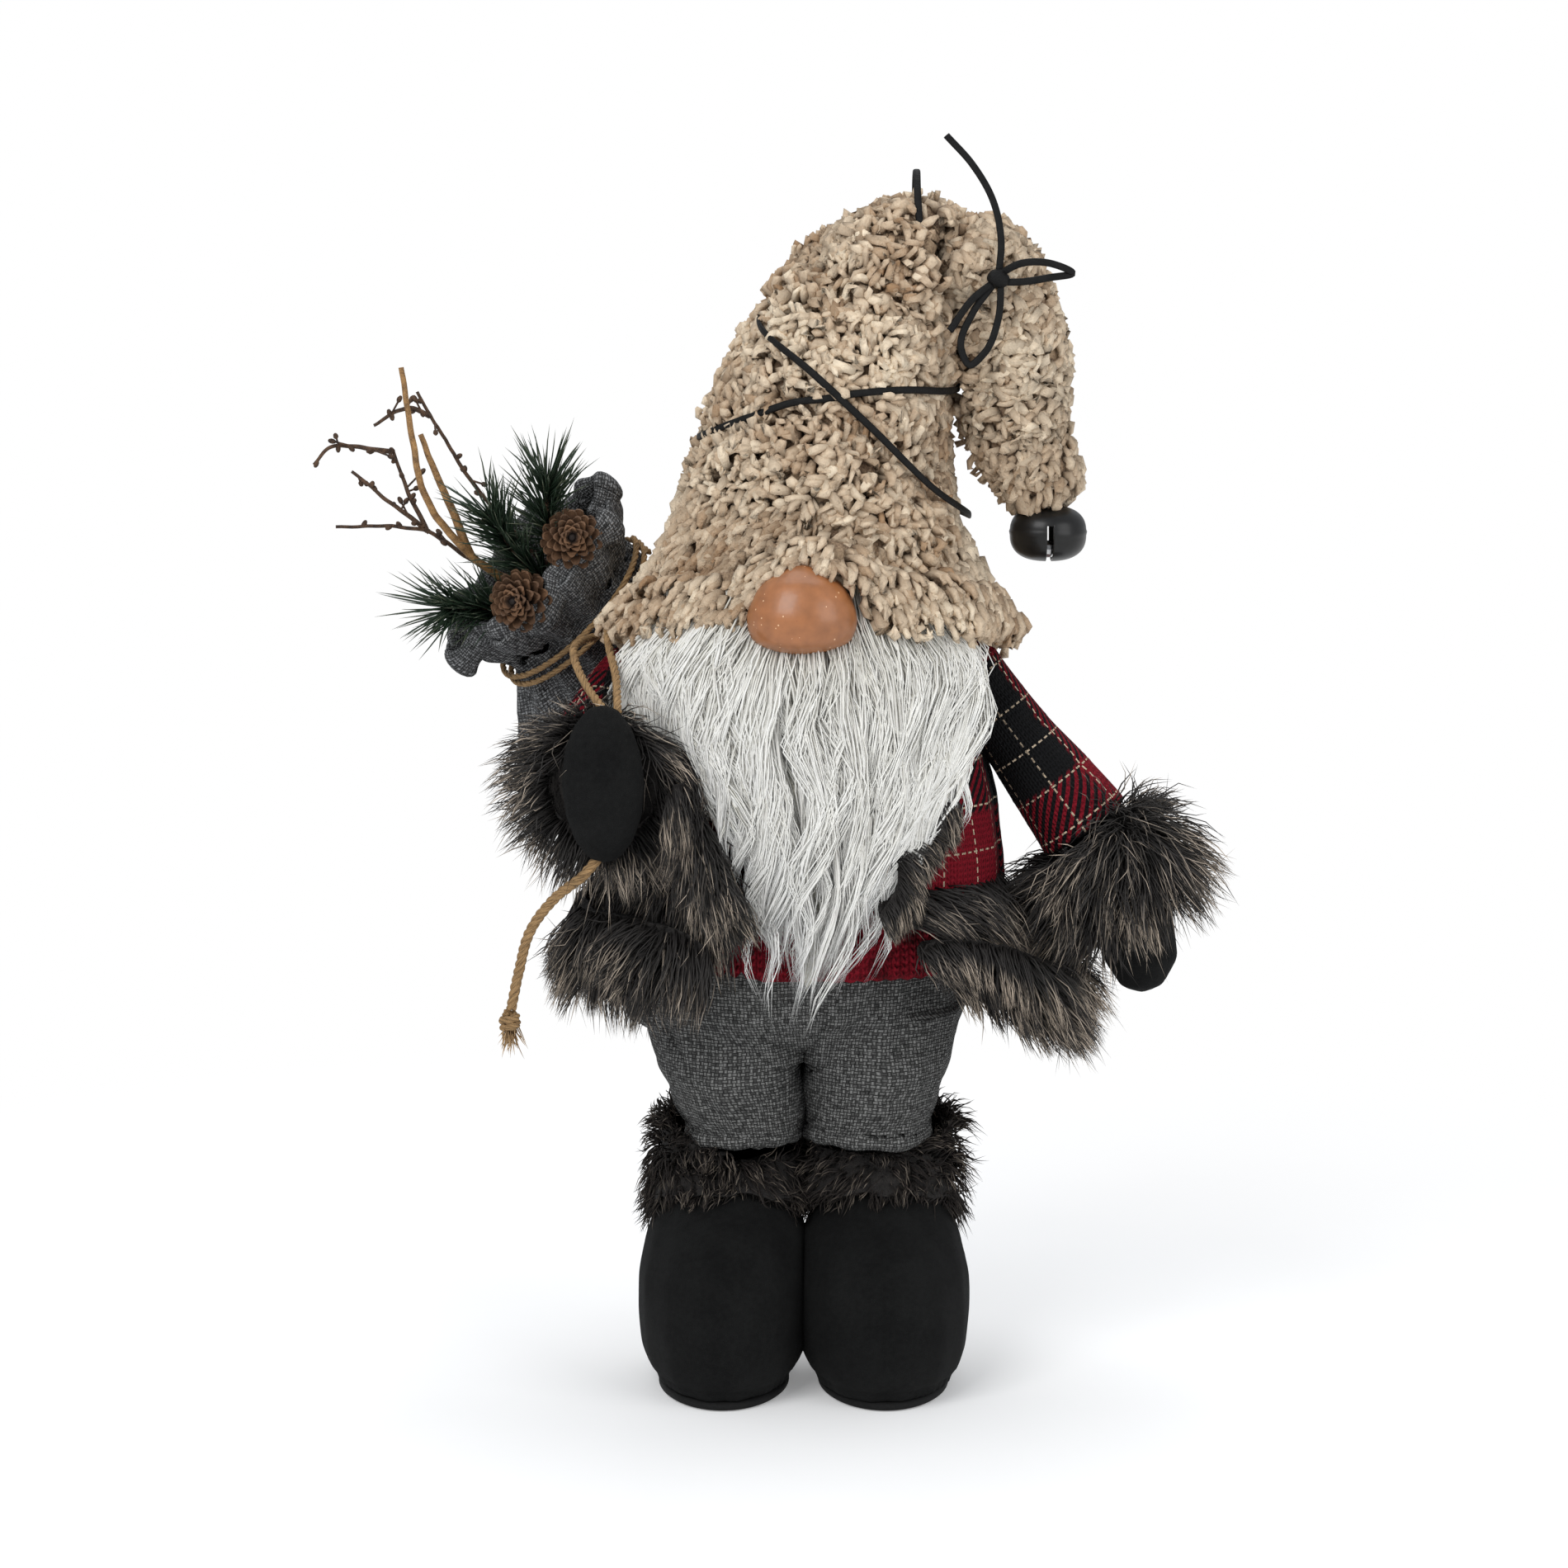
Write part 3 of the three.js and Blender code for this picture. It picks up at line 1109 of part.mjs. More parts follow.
const coatOutside = coatForm(SEAM);
const underRightSleeve = [coatOutside, rightArmWire(SEAM), rightMittenForm(SEAM)];
place("right_sleeve", cut(rightSleeveForm(), ...underRightSleeve), "plaid");
place("right_mitten", cut(rightMittenForm(), rightArmWire(SEAM)), "felt");
place("right_arm_wire", rightArmWire(), "steel");

const strands = Object.entries(strandRoutes).map(([name, route]) => ({
  name,
  shape: (grow = 0) => cord(route, TWINE_RADIUS, 8, 8, grow),
}));
const underStrands = [tieForm(SEAM), rightMittenForm(SEAM), rightSleeveForm(SEAM), sackForm(SEAM)];
const strandRoom = strands.map(({ shape }) => shape(SEAM));
const rightCuff = cut(rightCuffForm(), ...underStrands, ...underRightSleeve, ...strandRoom);
place("right_cuff", rightCuff, "fur");
for (const { name, shape } of strands) {
  place(name, cut(shape(), ...underStrands), "twine");
}

const armRoom = [leftCuffForm(2 * SEAM), leftMittenForm(2 * SEAM), leftSleeveForm(2 * SEAM)];
const rightArmRoom = [rightCuffForm(SEAM), rightMittenForm(SEAM), rightSleeveForm(SEAM)];
const underHem = [coatOutside, trouserForm(SEAM), shirtHemForm(SEAM), beyond(0, 0, 1)];
place("right_hem_fur", cut(hemFur("rightHem"), ...underHem, ...rightArmRoom), "fur");
const underLeftHem = [coatOutside, trouserForm(SEAM), shirtHemForm(SEAM), beyond(0, SEAM, -1)];
place("left_hem_fur", cut(hemFur("leftHem"), ...underLeftHem, ...armRoom), "fur");
const underFront = [coatOutside, beardForm(SEAM), bodyForm(SEAM), shirtHemForm(SEAM)];
const rightFrontFur = cut(frontFur("rightFront"), ...underFront, hemFur("rightHem", SEAM), ...rightArmRoom);
place("right_front_fur", rightFrontFur, "fur");
place("left_front_fur", cut(frontFur("leftFront"), ...underFront, hemFur("leftHem", SEAM)), "fur");

const frontFurRoom = [frontFur("rightFront", 2 * SEAM), frontFur("leftFront", 2 * SEAM)];
const hatRoom = crownForm(SEAM).subtract(belowBrim(SEAM));
const underBeard = [coatOutside, hatRoom, noseForm(SEAM), headForm(SEAM), pegForm(SEAM)];
place("beard", cut(beardForm(), ...underBeard, rightMittenForm(SEAM), rightCuffForm(SEAM)), "beard");
const underPad = [...underBeard, ...frontFurRoom, beardForm(SEAM), bodyForm(SEAM)];
place("beard_pad", cut(padForm(), ...underPad), "stuffing");

const crownInside = crownForm(-HAT_WALL, [2 * HAT_WALL, 0]);
const crownCloth = cut(crownForm(), crownInside, belowBrim());
place("hat_crown", cut(crownCloth, tipRoom(), noseForm(SEAM), headForm(SEAM), coatOutside), "boucle");
const fillingRoom = [beyond(2, headCentre[2] + 6, -1), beyond(2, crownTop - HAT_WALL - 3, 1)];
const underFilling = [headForm(SEAM), noseForm(SEAM), tipRoom(), hatWire(SEAM)];
const filling = cut(crownForm(-HAT_WALL - SEAM), ...fillingRoom, ...underFilling);
place("hat_filling", filling, "stuffing");
place("hat_wire", hatWire(), "steel");
place("hat_lace", laceForm(), "lace");
place("hat_lace_strap", cut(laceStrap(), crownForm(SEAM), tipForm(SEAM)), "lace");

const pocketHalf = LINK_RADIUS + LINK_WIRE_RADIUS + 1.5;
const bellPocket = pebble(tipEnd, [pocketHalf, pocketHalf, LINK_RADIUS], 0, 10, 6);
place("hat_tip", cut(tipForm(), tipWire(SEAM), bellPocket, threadLoop(SEAM), laceRoom()), "boucle");
place("tip_wire", tipWire(), "steel");
place("tip_thread_loop", threadLoop(), "lace");
place("lace_bow", cut(laceBow(), tipForm(SEAM)), "lace");
place("bell_shell", bellShell(), "bell");
const peaCentre = moved(bellCentre, [0, 0, BELL_WALL + SEAM + PEA_RADIUS - BELL_HALF_HEIGHT]);
place("bell_pea", pebble(peaCentre, [PEA_RADIUS, PEA_RADIUS, PEA_RADIUS], 0, 10, 6), "steel");

const underSack = [
  coatOutside,
  hatRoom,
  rightSleeveForm(SEAM),
  rightCuffForm(SEAM),
  hemFur("rightHem", SEAM),
  bodyForm(SEAM),
];
place("sack", cut(sackCloth(), ...underSack), "wool");
const neckTop = form(
  [
    { at: neckPoint(stemStart - TWIG_RADIUS), half: [SACK_HALF_WIDTH, SACK_HALF_WIDTH] },
    { at: neckPoint(stemStart + 30), half: [SACK_HALF_WIDTH, SACK_HALF_WIDTH] },
  ],
  { across: sackWide.toArray(), rings: 1 },
);
place("sack_filling", cut(sackForm(-SACK_WALL - SEAM), neckTop, ...underSack), "stuffing");
place("sack_tie", cut(tieForm(), sackForm(SEAM), mouthForm(SEAM), hatRoom), "twine");
const tailForm = (grow = 0) => cord(tailRoute, TWINE_RADIUS, 7, 8, grow);
place("rope_tail", cut(tailForm(), rightMittenForm(SEAM)), "twine");
place("rope_knot", cut(pebble(knotCentre, [3.6, 3.4, 4.2], 0, 10, 6), tailForm(SEAM)), "twine");

const coneShape = (name, grow = 0) => pineCone(coneRoutes[name], coneWays[name], grow);
const twigRadius = (name) => (name === "straw_stick" ? STRAW_RADIUS : TWIG_RADIUS);
const twigShape = (name, grow = 0) => twig(twigLimbs[name], twigRadius(name), grow);
const clothRoom = sackCloth(SEAM);
const stemRoom = [];
for (const name of Object.keys(coneRoutes)) {
  place(name, cut(coneShape(name), clothRoom, ...stemRoom), "cone");
  stemRoom.push(coneShape(name, SEAM));
}
for (const name of Object.keys(twigLimbs)) {
  place(name, cut(twigShape(name), clothRoom, ...stemRoom), name === "straw_stick" ? "straw" : "twig");
  stemRoom.push(twigShape(name, SEAM));
}
for (const [name, route] of Object.entries(sprigRoutes)) {
  place(name, cut(pineSprig(route, 0.3), clothRoom, ...stemRoom), "pine");
  stemRoom.push(pineSprig(route, 0.3, SEAM));
}

export default figure;
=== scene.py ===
"""A standing winter gnome, 45 cm tall: the looks of each piece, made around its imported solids.

The figure wears a boucle hat with a bell, a long beard, a plaid coat with fur trim and felt boots, and has
a wool sack of greenery over one shoulder. Metres, +Z up, the face towards -Y. Right and left are its own.
"""

import bmesh
import bpy
import numpy as np
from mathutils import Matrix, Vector
from mathutils.bvhtree import BVHTree


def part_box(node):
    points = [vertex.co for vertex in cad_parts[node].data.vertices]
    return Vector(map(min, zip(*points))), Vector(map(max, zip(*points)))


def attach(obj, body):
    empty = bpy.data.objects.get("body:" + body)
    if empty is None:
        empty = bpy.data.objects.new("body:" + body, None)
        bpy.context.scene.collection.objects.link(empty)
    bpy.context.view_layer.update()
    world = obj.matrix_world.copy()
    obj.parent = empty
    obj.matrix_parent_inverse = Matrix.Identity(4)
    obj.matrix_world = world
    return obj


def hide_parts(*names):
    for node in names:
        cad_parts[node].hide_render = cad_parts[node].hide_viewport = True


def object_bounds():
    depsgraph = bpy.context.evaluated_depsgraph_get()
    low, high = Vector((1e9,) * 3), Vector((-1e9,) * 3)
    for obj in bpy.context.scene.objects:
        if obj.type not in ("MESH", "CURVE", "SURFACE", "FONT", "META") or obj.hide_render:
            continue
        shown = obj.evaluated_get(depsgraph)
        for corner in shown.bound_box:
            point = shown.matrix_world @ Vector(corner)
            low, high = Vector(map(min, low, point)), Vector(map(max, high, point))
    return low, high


bl_info = {
    "name": "Winter Gnome",
    "version": (1, 0, 0),
    "blender": (4, 5, 0),
    "location": "View3D > Sidebar > Gnome",
    "description": "Builds a plush winter gnome: fur, beard, boucle, cloth, twine and greenery",
    "category": "Add Mesh",
}

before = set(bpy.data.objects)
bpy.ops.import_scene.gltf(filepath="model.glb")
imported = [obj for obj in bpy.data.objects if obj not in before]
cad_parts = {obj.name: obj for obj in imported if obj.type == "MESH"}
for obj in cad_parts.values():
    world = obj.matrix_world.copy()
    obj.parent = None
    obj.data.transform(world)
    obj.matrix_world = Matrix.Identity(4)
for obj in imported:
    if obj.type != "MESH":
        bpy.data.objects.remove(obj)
cad_box = [list(corner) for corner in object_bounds()]

# The bodies of the frame that pieces ride on.
FIGURE = "figure"
LEFT_ARM = "left_arm"
HAT_TIP = "drooping_tip"
BELL = "bell"
ARM_BODY = {"right": FIGURE, "left": LEFT_ARM}
FULL_TURN = 2 * np.pi
ACROSS = np.array([1.0, 0.0, 0.0])
DEEP = np.array([0.0, 1.0, 0.0])
UP = np.array([0.0, 0.0, 1.0])


def corners(node):
    """The lowest and highest corner of a solid, as arrays."""
    low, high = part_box(node)
    return np.array(low), np.array(high)


def middle(node):
    """The middle of a solid's box."""
    low, high = corners(node)
    return (low + high) / 2


# The middle of the figure between its boots, across and on the floor, from which the places below are counted.
FIGURE_X = (middle("right_boot_sole")[0] + middle("left_boot_sole")[0]) / 2
FOOT = np.array([FIGURE_X, 0.0, 0.0])


def local(*points):
    """Points given in millimetres from the middle of the figure on the floor, in the frame's metres."""
    return np.array(points, float) / 1000 + FOOT


def length_property(name, description, default):
    return bpy.props.FloatProperty(name=name, description=description, default=default, unit="LENGTH")


def count_property(name, description, default, least, most):
    return bpy.props.IntProperty(name=name, description=description, default=default, min=least, max=most)


class GnomeSizes(bpy.types.PropertyGroup):
    """Sizes that a user would change."""

    fur_length: length_property("Fur length", "Length of the pile on the coat's trim", 0.031)
    cuff_fur_length: length_property("Boot fur length", "Length of the pile round the ankles", 0.018)
    fur_strands: count_property("Fur strands", "Strands in one piece of fur trim", 4000, 100, 6000)
    beard_strands: count_property("Beard strands", "Strands in the top layer of the beard", 4100, 100, 7000)
    strand_width: length_property("Strand width", "Width of a strand of fur at its root", 0.00078)
    tuft_spacing: length_property("Tuft spacing", "Distance between curls on the hat", 0.003)
    tuft_length: length_property("Tuft length", "Length of one curl on the hat", 0.0092)
    lace_width: length_property("Lace width", "Width of the flat lace on the hat", 0.0026)
    needles: count_property("Needles", "Needles on one sprig of pine", 220, 20, 900)
    cone_scales: count_property("Cone scales", "Scales on one cone", 74, 10, 200)


def sizes_now():
    return bpy.context.scene.gnome_sizes


def colour_property(name, description, default):
    return bpy.props.FloatVectorProperty(
        name=name, description=description, default=default, subtype="COLOR", size=3, min=0, max=1
    )


class GnomeColours(bpy.types.PropertyGroup):
    """Colours that a user would change, in linear light."""

    coat_red: colour_property("Coat red", "Red of the plaid knit", (0.23, 0.008, 0.018))
    coat_line: colour_property("Coat line", "Cream of the plaid's thin lines", (0.62, 0.5, 0.36))
    fur_root: colour_property("Fur root", "Fur near the cloth", (0.012, 0.010, 0.009))
    fur_tip: colour_property("Fur tip", "Fur at its tips", (0.7, 0.58, 0.46))
    beard_white: colour_property("Beard", "Beard at its brightest", (1.0, 1.0, 0.98))
    nose_clay: colour_property("Nose", "Glazed clay of the nose", (0.325, 0.122, 0.041))
    hat_cream: colour_property("Hat cream", "Lightest curls of the hat", (0.93, 0.78, 0.585))
    hat_tan: colour_property("Hat tan", "Darkest curls of the hat", (0.38, 0.228, 0.12))
    wool_grey: colour_property("Sack grey", "Grey of the sack's wool", (0.064, 0.065, 0.066))
    tweed_grey: colour_property("Tweed grey", "Grey of the trousers", (0.049, 0.049, 0.0475))
    jute: colour_property("Jute", "Twine on the sack", (0.31, 0.19, 0.085))


# Curves and surfaces as arrays


def unit(vectors):
    """Vectors of length one: each divided by its own length."""
    return vectors / np.maximum(np.linalg.norm(vectors, axis=-1, keepdims=True), 1e-12)


def smooth(points, count=None, shares=None):
    """A smooth curve through rows of points, sampled by its share of the length.

    Columns past the third, such as half sizes, are carried along and don't count in the length.
    """
    rows = np.asarray(points, float)
    steps = np.linalg.norm(np.diff(rows[:, :3], axis=0), axis=1)
    knots = np.concatenate([[0], np.cumsum(steps)])
    knots = knots / knots[-1]
    share = np.linspace(0, 1, count) if shares is None else np.asarray(shares, float)
    return between(rows, knots, share)


def between(rows, knots, places):
    """Rows of values between knots, as cubics whose slope at a knot is the slope between its neighbours."""
    slopes = np.gradient(rows, knots, axis=0)
    low = np.clip(np.searchsorted(knots, places, side="right") - 1, 0, len(rows) - 2)
    span = (knots[low + 1] - knots[low])[..., None]
    s = np.clip((places - knots[low])[..., None] / span, 0, 1.3)
    start = (2 * s**3 - 3 * s**2 + 1) * rows[low] + (s**3 - 2 * s**2 + s) * span * slopes[low]
    return start + (3 * s**2 - 2 * s**3) * rows[low + 1] + (s**3 - s**2) * span * slopes[low + 1]


# The part of a soft form's length that each of its round ends takes up.
ROUND_PART = 0.22


def rounded(share):
    """The share of full girth at a share of the length from a round end: an ellipse over the end's part."""
    within = np.minimum(1, share / ROUND_PART)
    return np.sqrt(np.maximum(0, 1 - (1 - within) ** 2))


def oval_form(stations, rows, sides, across=(1, 0, 0), level=False):
    """A soft form as a grid of points: ovals on a smooth path, which close like a cushion at both ends.

    A station is x, y, z, half width, half depth. Point = centre + cos(turn) * width + sin(turn) * depth.
    The ovals of a level form lie flat, and others stand square to the path.
    """
    share = (1 - np.cos(np.pi * np.linspace(0, 1, rows))) / 2
    values = smooth(stations, shares=share)
    centre, half = values[:, :3], values[:, 3:]
    along = np.tile(UP, (rows, 1)) if level else unit(np.gradient(centre, axis=0))
    across = np.asarray(across, float)
    wide = unit(across - along * (along @ across)[:, None])
    deep = np.cross(along, wide)
    oval = ring_of(turns(sides), (half[:, :1] * wide)[:, None], (half[:, 1:] * deep)[:, None])
    return centre[:, None] + oval * (rounded(share) * rounded(1 - share))[:, None, None]


def turns(count):
    """Angles round a full turn, evenly spaced."""
    return np.linspace(0, FULL_TURN, count, endpoint=False)


def ring_of(turn, wide, deep):
    """Offsets round a ring: cos(turn) * wide + sin(turn) * deep, for every turn at once."""
    return np.cos(turn)[..., None] * wide + np.sin(turn)[..., None] * deep


def sideways(along, lean):
    """Two directions square to each other and to a way: the first is square to a given lean as well."""
    side = unit(np.cross(along, lean))
    return side, np.cross(along, side)


def hump(distance, width):
    """A bell curve of a distance: one at nought, and a third at the width."""
    return np.exp(-((distance / width) ** 2))


def held(value):
    """A value held between nought and one."""
    return np.clip(value, 0, 1)


def waves(points, seed, scale, octaves=3):
    """Smooth unevenness from -1 to 1: a sum of sine waves in random directions, each octave finer and weaker."""
    rng = np.random.default_rng(seed)
    total = np.zeros(points.shape[:-1])
    for octave in range(octaves):
        for _ in range(4):
            way = unit(rng.normal(size=3)) * scale * 2**octave * rng.uniform(0.7, 1.3)
            total = total + np.sin(points @ way + rng.uniform(0, FULL_TURN)) / 2**octave
    return total / 4


def nearest(points, route):
    """Each point's distance to the closest point of a dense route."""
    flat = points.reshape(-1, 3)
    least = np.full(len(flat), np.inf)
    for chunk in np.array_split(route, max(1, len(route) // 40)):
        gaps = np.linalg.norm(flat[:, None] - chunk[None], axis=2)
        least = np.minimum(least, gaps.min(axis=1))
    return least.reshape(points.shape[:-1])


# Meshes


def placed(name, data):
    """An object with its data, in the scene."""
    obj = bpy.data.objects.new(name, data)
    bpy.context.scene.collection.objects.link(obj)
    return obj


def keep_numbers(mesh, values):
    """Numbers by point, kept on the mesh under their names for its material."""
    for key, numbers in values.items():
        attribute = mesh.attributes.new(key, "FLOAT", "POINT")
        attribute.data.foreach_set("value", np.asarray(numbers, np.float32).ravel())


def lay_out(mesh, uv):
    """The places of the mesh's corners on the flat cloth."""
    mesh.uv_layers.new(name="UVMap").data.foreach_set("uv", uv.astype(np.float32).ravel())


def round_off(mesh, smooth_faces=True):
    """Smooth or flat shading over the whole mesh."""
    mesh.polygons.foreach_set("use_smooth", np.full(len(mesh.polygons), smooth_faces))


def new_piece(name, points, faces, material, uv=None, values=None):
    """A mesh object from an array of points and a list of arrays of faces, each with its own corner count.

    uv holds one array of corner positions for each array of faces, and values holds numbers by point.
    """
    mesh = bpy.data.meshes.new(name)
    mesh.vertices.add(len(points))
    mesh.vertices.foreach_set("co", np.asarray(points, np.float32).ravel())
    corner_counts = np.concatenate([np.full(len(f), f.shape[1]) for f in faces])
    corner = np.concatenate([f.ravel() for f in faces]).astype(np.int32)
    mesh.loops.add(len(corner))
    mesh.loops.foreach_set("vertex_index", corner)
    mesh.polygons.add(len(corner_counts))
    starts = np.concatenate([[0], np.cumsum(corner_counts)[:-1]]).astype(np.int32)
    mesh.polygons.foreach_set("loop_start", starts)
    round_off(mesh)
    mesh.update(calc_edges=True)
    if uv is not None:
        lay_out(mesh, np.concatenate([u.reshape(-1, 2) for u in uv]))
    keep_numbers(mesh, values or {})
    mesh.validate()
    mesh.materials.append(material)
    return placed(name, mesh)


def signed_volume(points, quads):
    """Six times the volume inside quads: positive when they face outwards."""
    a, b, c, d = (points[quads[:, i]] for i in range(4))
    return np.sum(np.cross(a, b) * c) + np.sum(np.cross(a, c) * d)


def grid_faces(rows, sides):
    """Quads of a grid of points, row by row, with the last column joined to the first."""
    here = np.arange(rows * sides).reshape(rows, sides)
    there = np.roll(here, -1, axis=1)
    return np.stack([here[:-1], there[:-1], there[1:], here[1:]], axis=-1).reshape(-1, 4)


def grid_uv(grid):
    """Corner positions on the cloth in metres: mean distance around, and distance down the middle."""
    down = np.linalg.norm(np.diff(grid.mean(axis=1), axis=0), axis=1)
    around = np.linalg.norm(np.roll(grid, -1, axis=1) - grid, axis=2).mean(axis=0)
    u, v = (np.concatenate([[0], np.cumsum(steps)]) for steps in (around, down))
    u0, u1, v0, v1 = u[:-1], u[1:], v[:-1, None], v[1:, None]
    corners_uv = np.broadcast_arrays(u0, v0, u1, v0, u1, v1, u0, v1)
    return np.stack(corners_uv, axis=-1).reshape(-1, 4, 2)


def lofted(name, grids, finish):
    """A piece from one grid of points or several, each end closed with a fan to the middle of its ring."""
    grids = [grids] if isinstance(grids, np.ndarray) else grids
    points, quads, fans, quad_uv, fan_uv = [], [], [], [], []
    total = 0
    for grid in grids:
        rows, sides = grid.shape[:2]
        body = grid.reshape(-1, 3)
        faces, uv = grid_faces(rows, sides), grid_uv(grid)
        flipped = signed_volume(body - body.mean(axis=0), faces) < 0
        if flipped:
            faces, uv = faces[:, ::-1], uv[:, ::-1]
        quads.append(faces + total)
        quad_uv.append(uv)
        for end, turned in ((0, flipped), (1, not flipped)):
            ring = np.arange(sides) + (rows - 1) * sides * end
            fan = np.stack([np.roll(ring, -1), ring, np.full(sides, len(body) + end)], axis=1)
            fans.append((fan[:, ::-1] if turned else fan) + total)
            fan_uv.append(np.tile(uv[0, :1], (sides, 3, 1)))
        body = np.concatenate([body, grid[[0, -1]].mean(axis=1)])
        points.append(body)
        total += len(body)
    faces, corners_uv = ([np.concatenate(part) for part in parts] for parts in ((quads, fans), (quad_uv, fan_uv)))
    return new_piece(name, np.concatenate(points), faces, MATERIALS[finish], uv=corners_uv)


def strands_piece(name, curves, radii, finish, shade, sides=3, uneven=None):
    """Many tapered strands as one mesh: a small ring at each point of each curve, closed at its root and tip.

    curves is strands by points by 3, and radii is strands by points. A point's place along its strand and
    its strand's own shade are kept as numbers for the material.
    """
    count, length = curves.shape[:2]
    along = unit(np.gradient(curves, axis=1))
    lean, deep = sideways(along, unit(np.roll(along[:, :1], 1, axis=2) + 0.31))
    ring = ring_of(turns(sides), lean[:, :-1, None], deep[:, :-1, None])
    if uneven is not None:
        ring = ring * uneven.uniform(0.55, 1.35, ring.shape[:3])[..., None]
    body = curves[:, :-1, None] + ring * radii[:, :-1, None, None]
    points = np.concatenate([body.reshape(count, -1, 3), curves[:, -1:]], axis=1)
    each = points.shape[1]
    first = (np.arange(count) * each)[:, None, None]
    quads = (grid_faces(length - 1, sides)[None] + first).reshape(-1, 4)
    last = (length - 2) * sides + np.arange(sides)
    tip = np.stack([last, np.roll(last, -1), np.full(sides, each - 1)], axis=1)
    root = np.arange(sides)[None, ::-1]
    faces = [quads, (tip[None] + first).reshape(-1, 3), (root[None] + first).reshape(-1, sides)]
    place = np.concatenate([np.repeat(np.linspace(0, 1, length)[:-1], sides), [1]])
    values = {"along": np.tile(place, count), "shade": np.repeat(shade, each)}
    return new_piece(name, points.reshape(-1, 3), faces, MATERIALS[finish], values=values)


def cord_grid(centre, radius, sides):
    """A round cord: a ring carried along a route, turned as little as possible from step to step."""
    along = unit(np.gradient(centre, axis=0))
    lean = np.zeros_like(centre)
    previous = UP if abs(along[0] @ UP) < 0.8 else np.array([0.0, 1.0, 0.0])
    for i, way in enumerate(along):
        previous = unit(previous - way * (previous @ way))
        lean[i] = previous
    ring = ring_of(turns(sides), lean[:, None], np.cross(along, lean)[:, None])
    return centre[:, None] + ring * np.broadcast_to(radius, len(centre))[:, None, None]


def finished(obj, finish):
    """The object's only material is a finish."""
    obj.data.materials.clear()
    obj.data.materials.append(MATERIALS[finish])


def applied(obj):
    """The object with its modifiers made part of its mesh."""
    depsgraph = bpy.context.evaluated_depsgraph_get()
    made = bpy.data.meshes.new_from_object(obj.evaluated_get(depsgraph), depsgraph=depsgraph)
    obj.modifiers.clear()
    obj.data = made
    return obj


def modified(obj, kind, **settings):
    """A modifier of a kind on the object, with its settings."""
    modifier = obj.modifiers.new(kind.title(), kind)
    for key, value in settings.items():
        setattr(modifier, key, value)


def built(name, building):
    """An object from a bmesh, which is then freed."""
    mesh = bpy.data.meshes.new(name)
    building.to_mesh(mesh)
    building.free()
    return placed(name, mesh)


def soft_copy(name, nodes, voxel, finish, smoothing=4, grow=0.0, keep=1.0):
    """A copy of solids as one even skin: merged, remeshed in cubes of the voxel's size, smoothed, thinned, grown."""
    merged = bmesh.new()
    for node in nodes:
        merged.from_mesh(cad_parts[node].data)
    bmesh.ops.remove_doubles(merged, verts=merged.verts, dist=1e-6)
    obj = built(name, merged)
    modified(obj, "REMESH", mode="VOXEL", voxel_size=voxel)
    modified(obj, "SMOOTH", iterations=smoothing, factor=0.5)
    if keep < 1:
        modified(obj, "DECIMATE", ratio=keep)
    applied(obj)
    finished(obj, finish)
    round_off(obj.data)
    pushed(obj, grow)
    return obj


def by_point(obj, key):
    """An array of three numbers for each point of the mesh."""
    numbers = np.empty(len(obj.data.vertices) * 3, np.float32)
    obj.data.vertices.foreach_get(key, numbers)
    return numbers.reshape(-1, 3).astype(float)


def points_of(obj):
    return by_point(obj, "co")


def normals_of(obj):
    return by_point(obj, "normal")


def move_points(obj, points):
    obj.data.vertices.foreach_set("co", np.asarray(points, np.float32).ravel())
    obj.data.update()


def scattered(obj, count, seed):
    """Random places on a mesh, evenly by area: a triangle picked by its share, then a point inside it."""
    obj.data.calc_loop_triangles()
    corner = np.empty(len(obj.data.loop_triangles) * 3, np.int32)
    obj.data.loop_triangles.foreach_get("vertices", corner)
    corner = corner.reshape(-1, 3)
    points, normals = points_of(obj), normals_of(obj)
    a, b, c = (points[corner[:, i]] for i in range(3))
    area = np.linalg.norm(np.cross(b - a, c - a), axis=1)
    rng = np.random.default_rng(seed)
    picked = rng.choice(len(corner), count, p=area / area.sum())
    s, t = np.sqrt(rng.random(count))[:, None], rng.random(count)[:, None]
    place = a[picked] * (1 - s) + b[picked] * s * (1 - t) + c[picked] * s * t
    return place, unit(normals[corner[picked]].mean(axis=1))


def tree_of(node):
    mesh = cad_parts[node].data
    return BVHTree.FromPolygons([tuple(v.co) for v in mesh.vertices], [tuple(p.vertices) for p in mesh.polygons])


def open_sky(places, normals, blockers, reach):
    """Which places look out freely: a ray along the normal meets none of the solids within the reach."""
    trees = [tree_of(node) for node in blockers]
    free = np.ones(len(places), bool)
    for i, (place, way) in enumerate(zip(places, normals)):
        start = tuple(place + way * 0.001)
        free[i] = all(tree.ray_cast(start, tuple(way), reach)[0] is None for tree in trees)
    return free


def dressed(obj, body, slot, *nodes, fill=None):
    """A finished piece: it rides on a body and stands for its solids, which it hides. The slot is not used."""
    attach(obj, body)
    if nodes:
        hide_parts(*nodes)
    return obj


# Materials


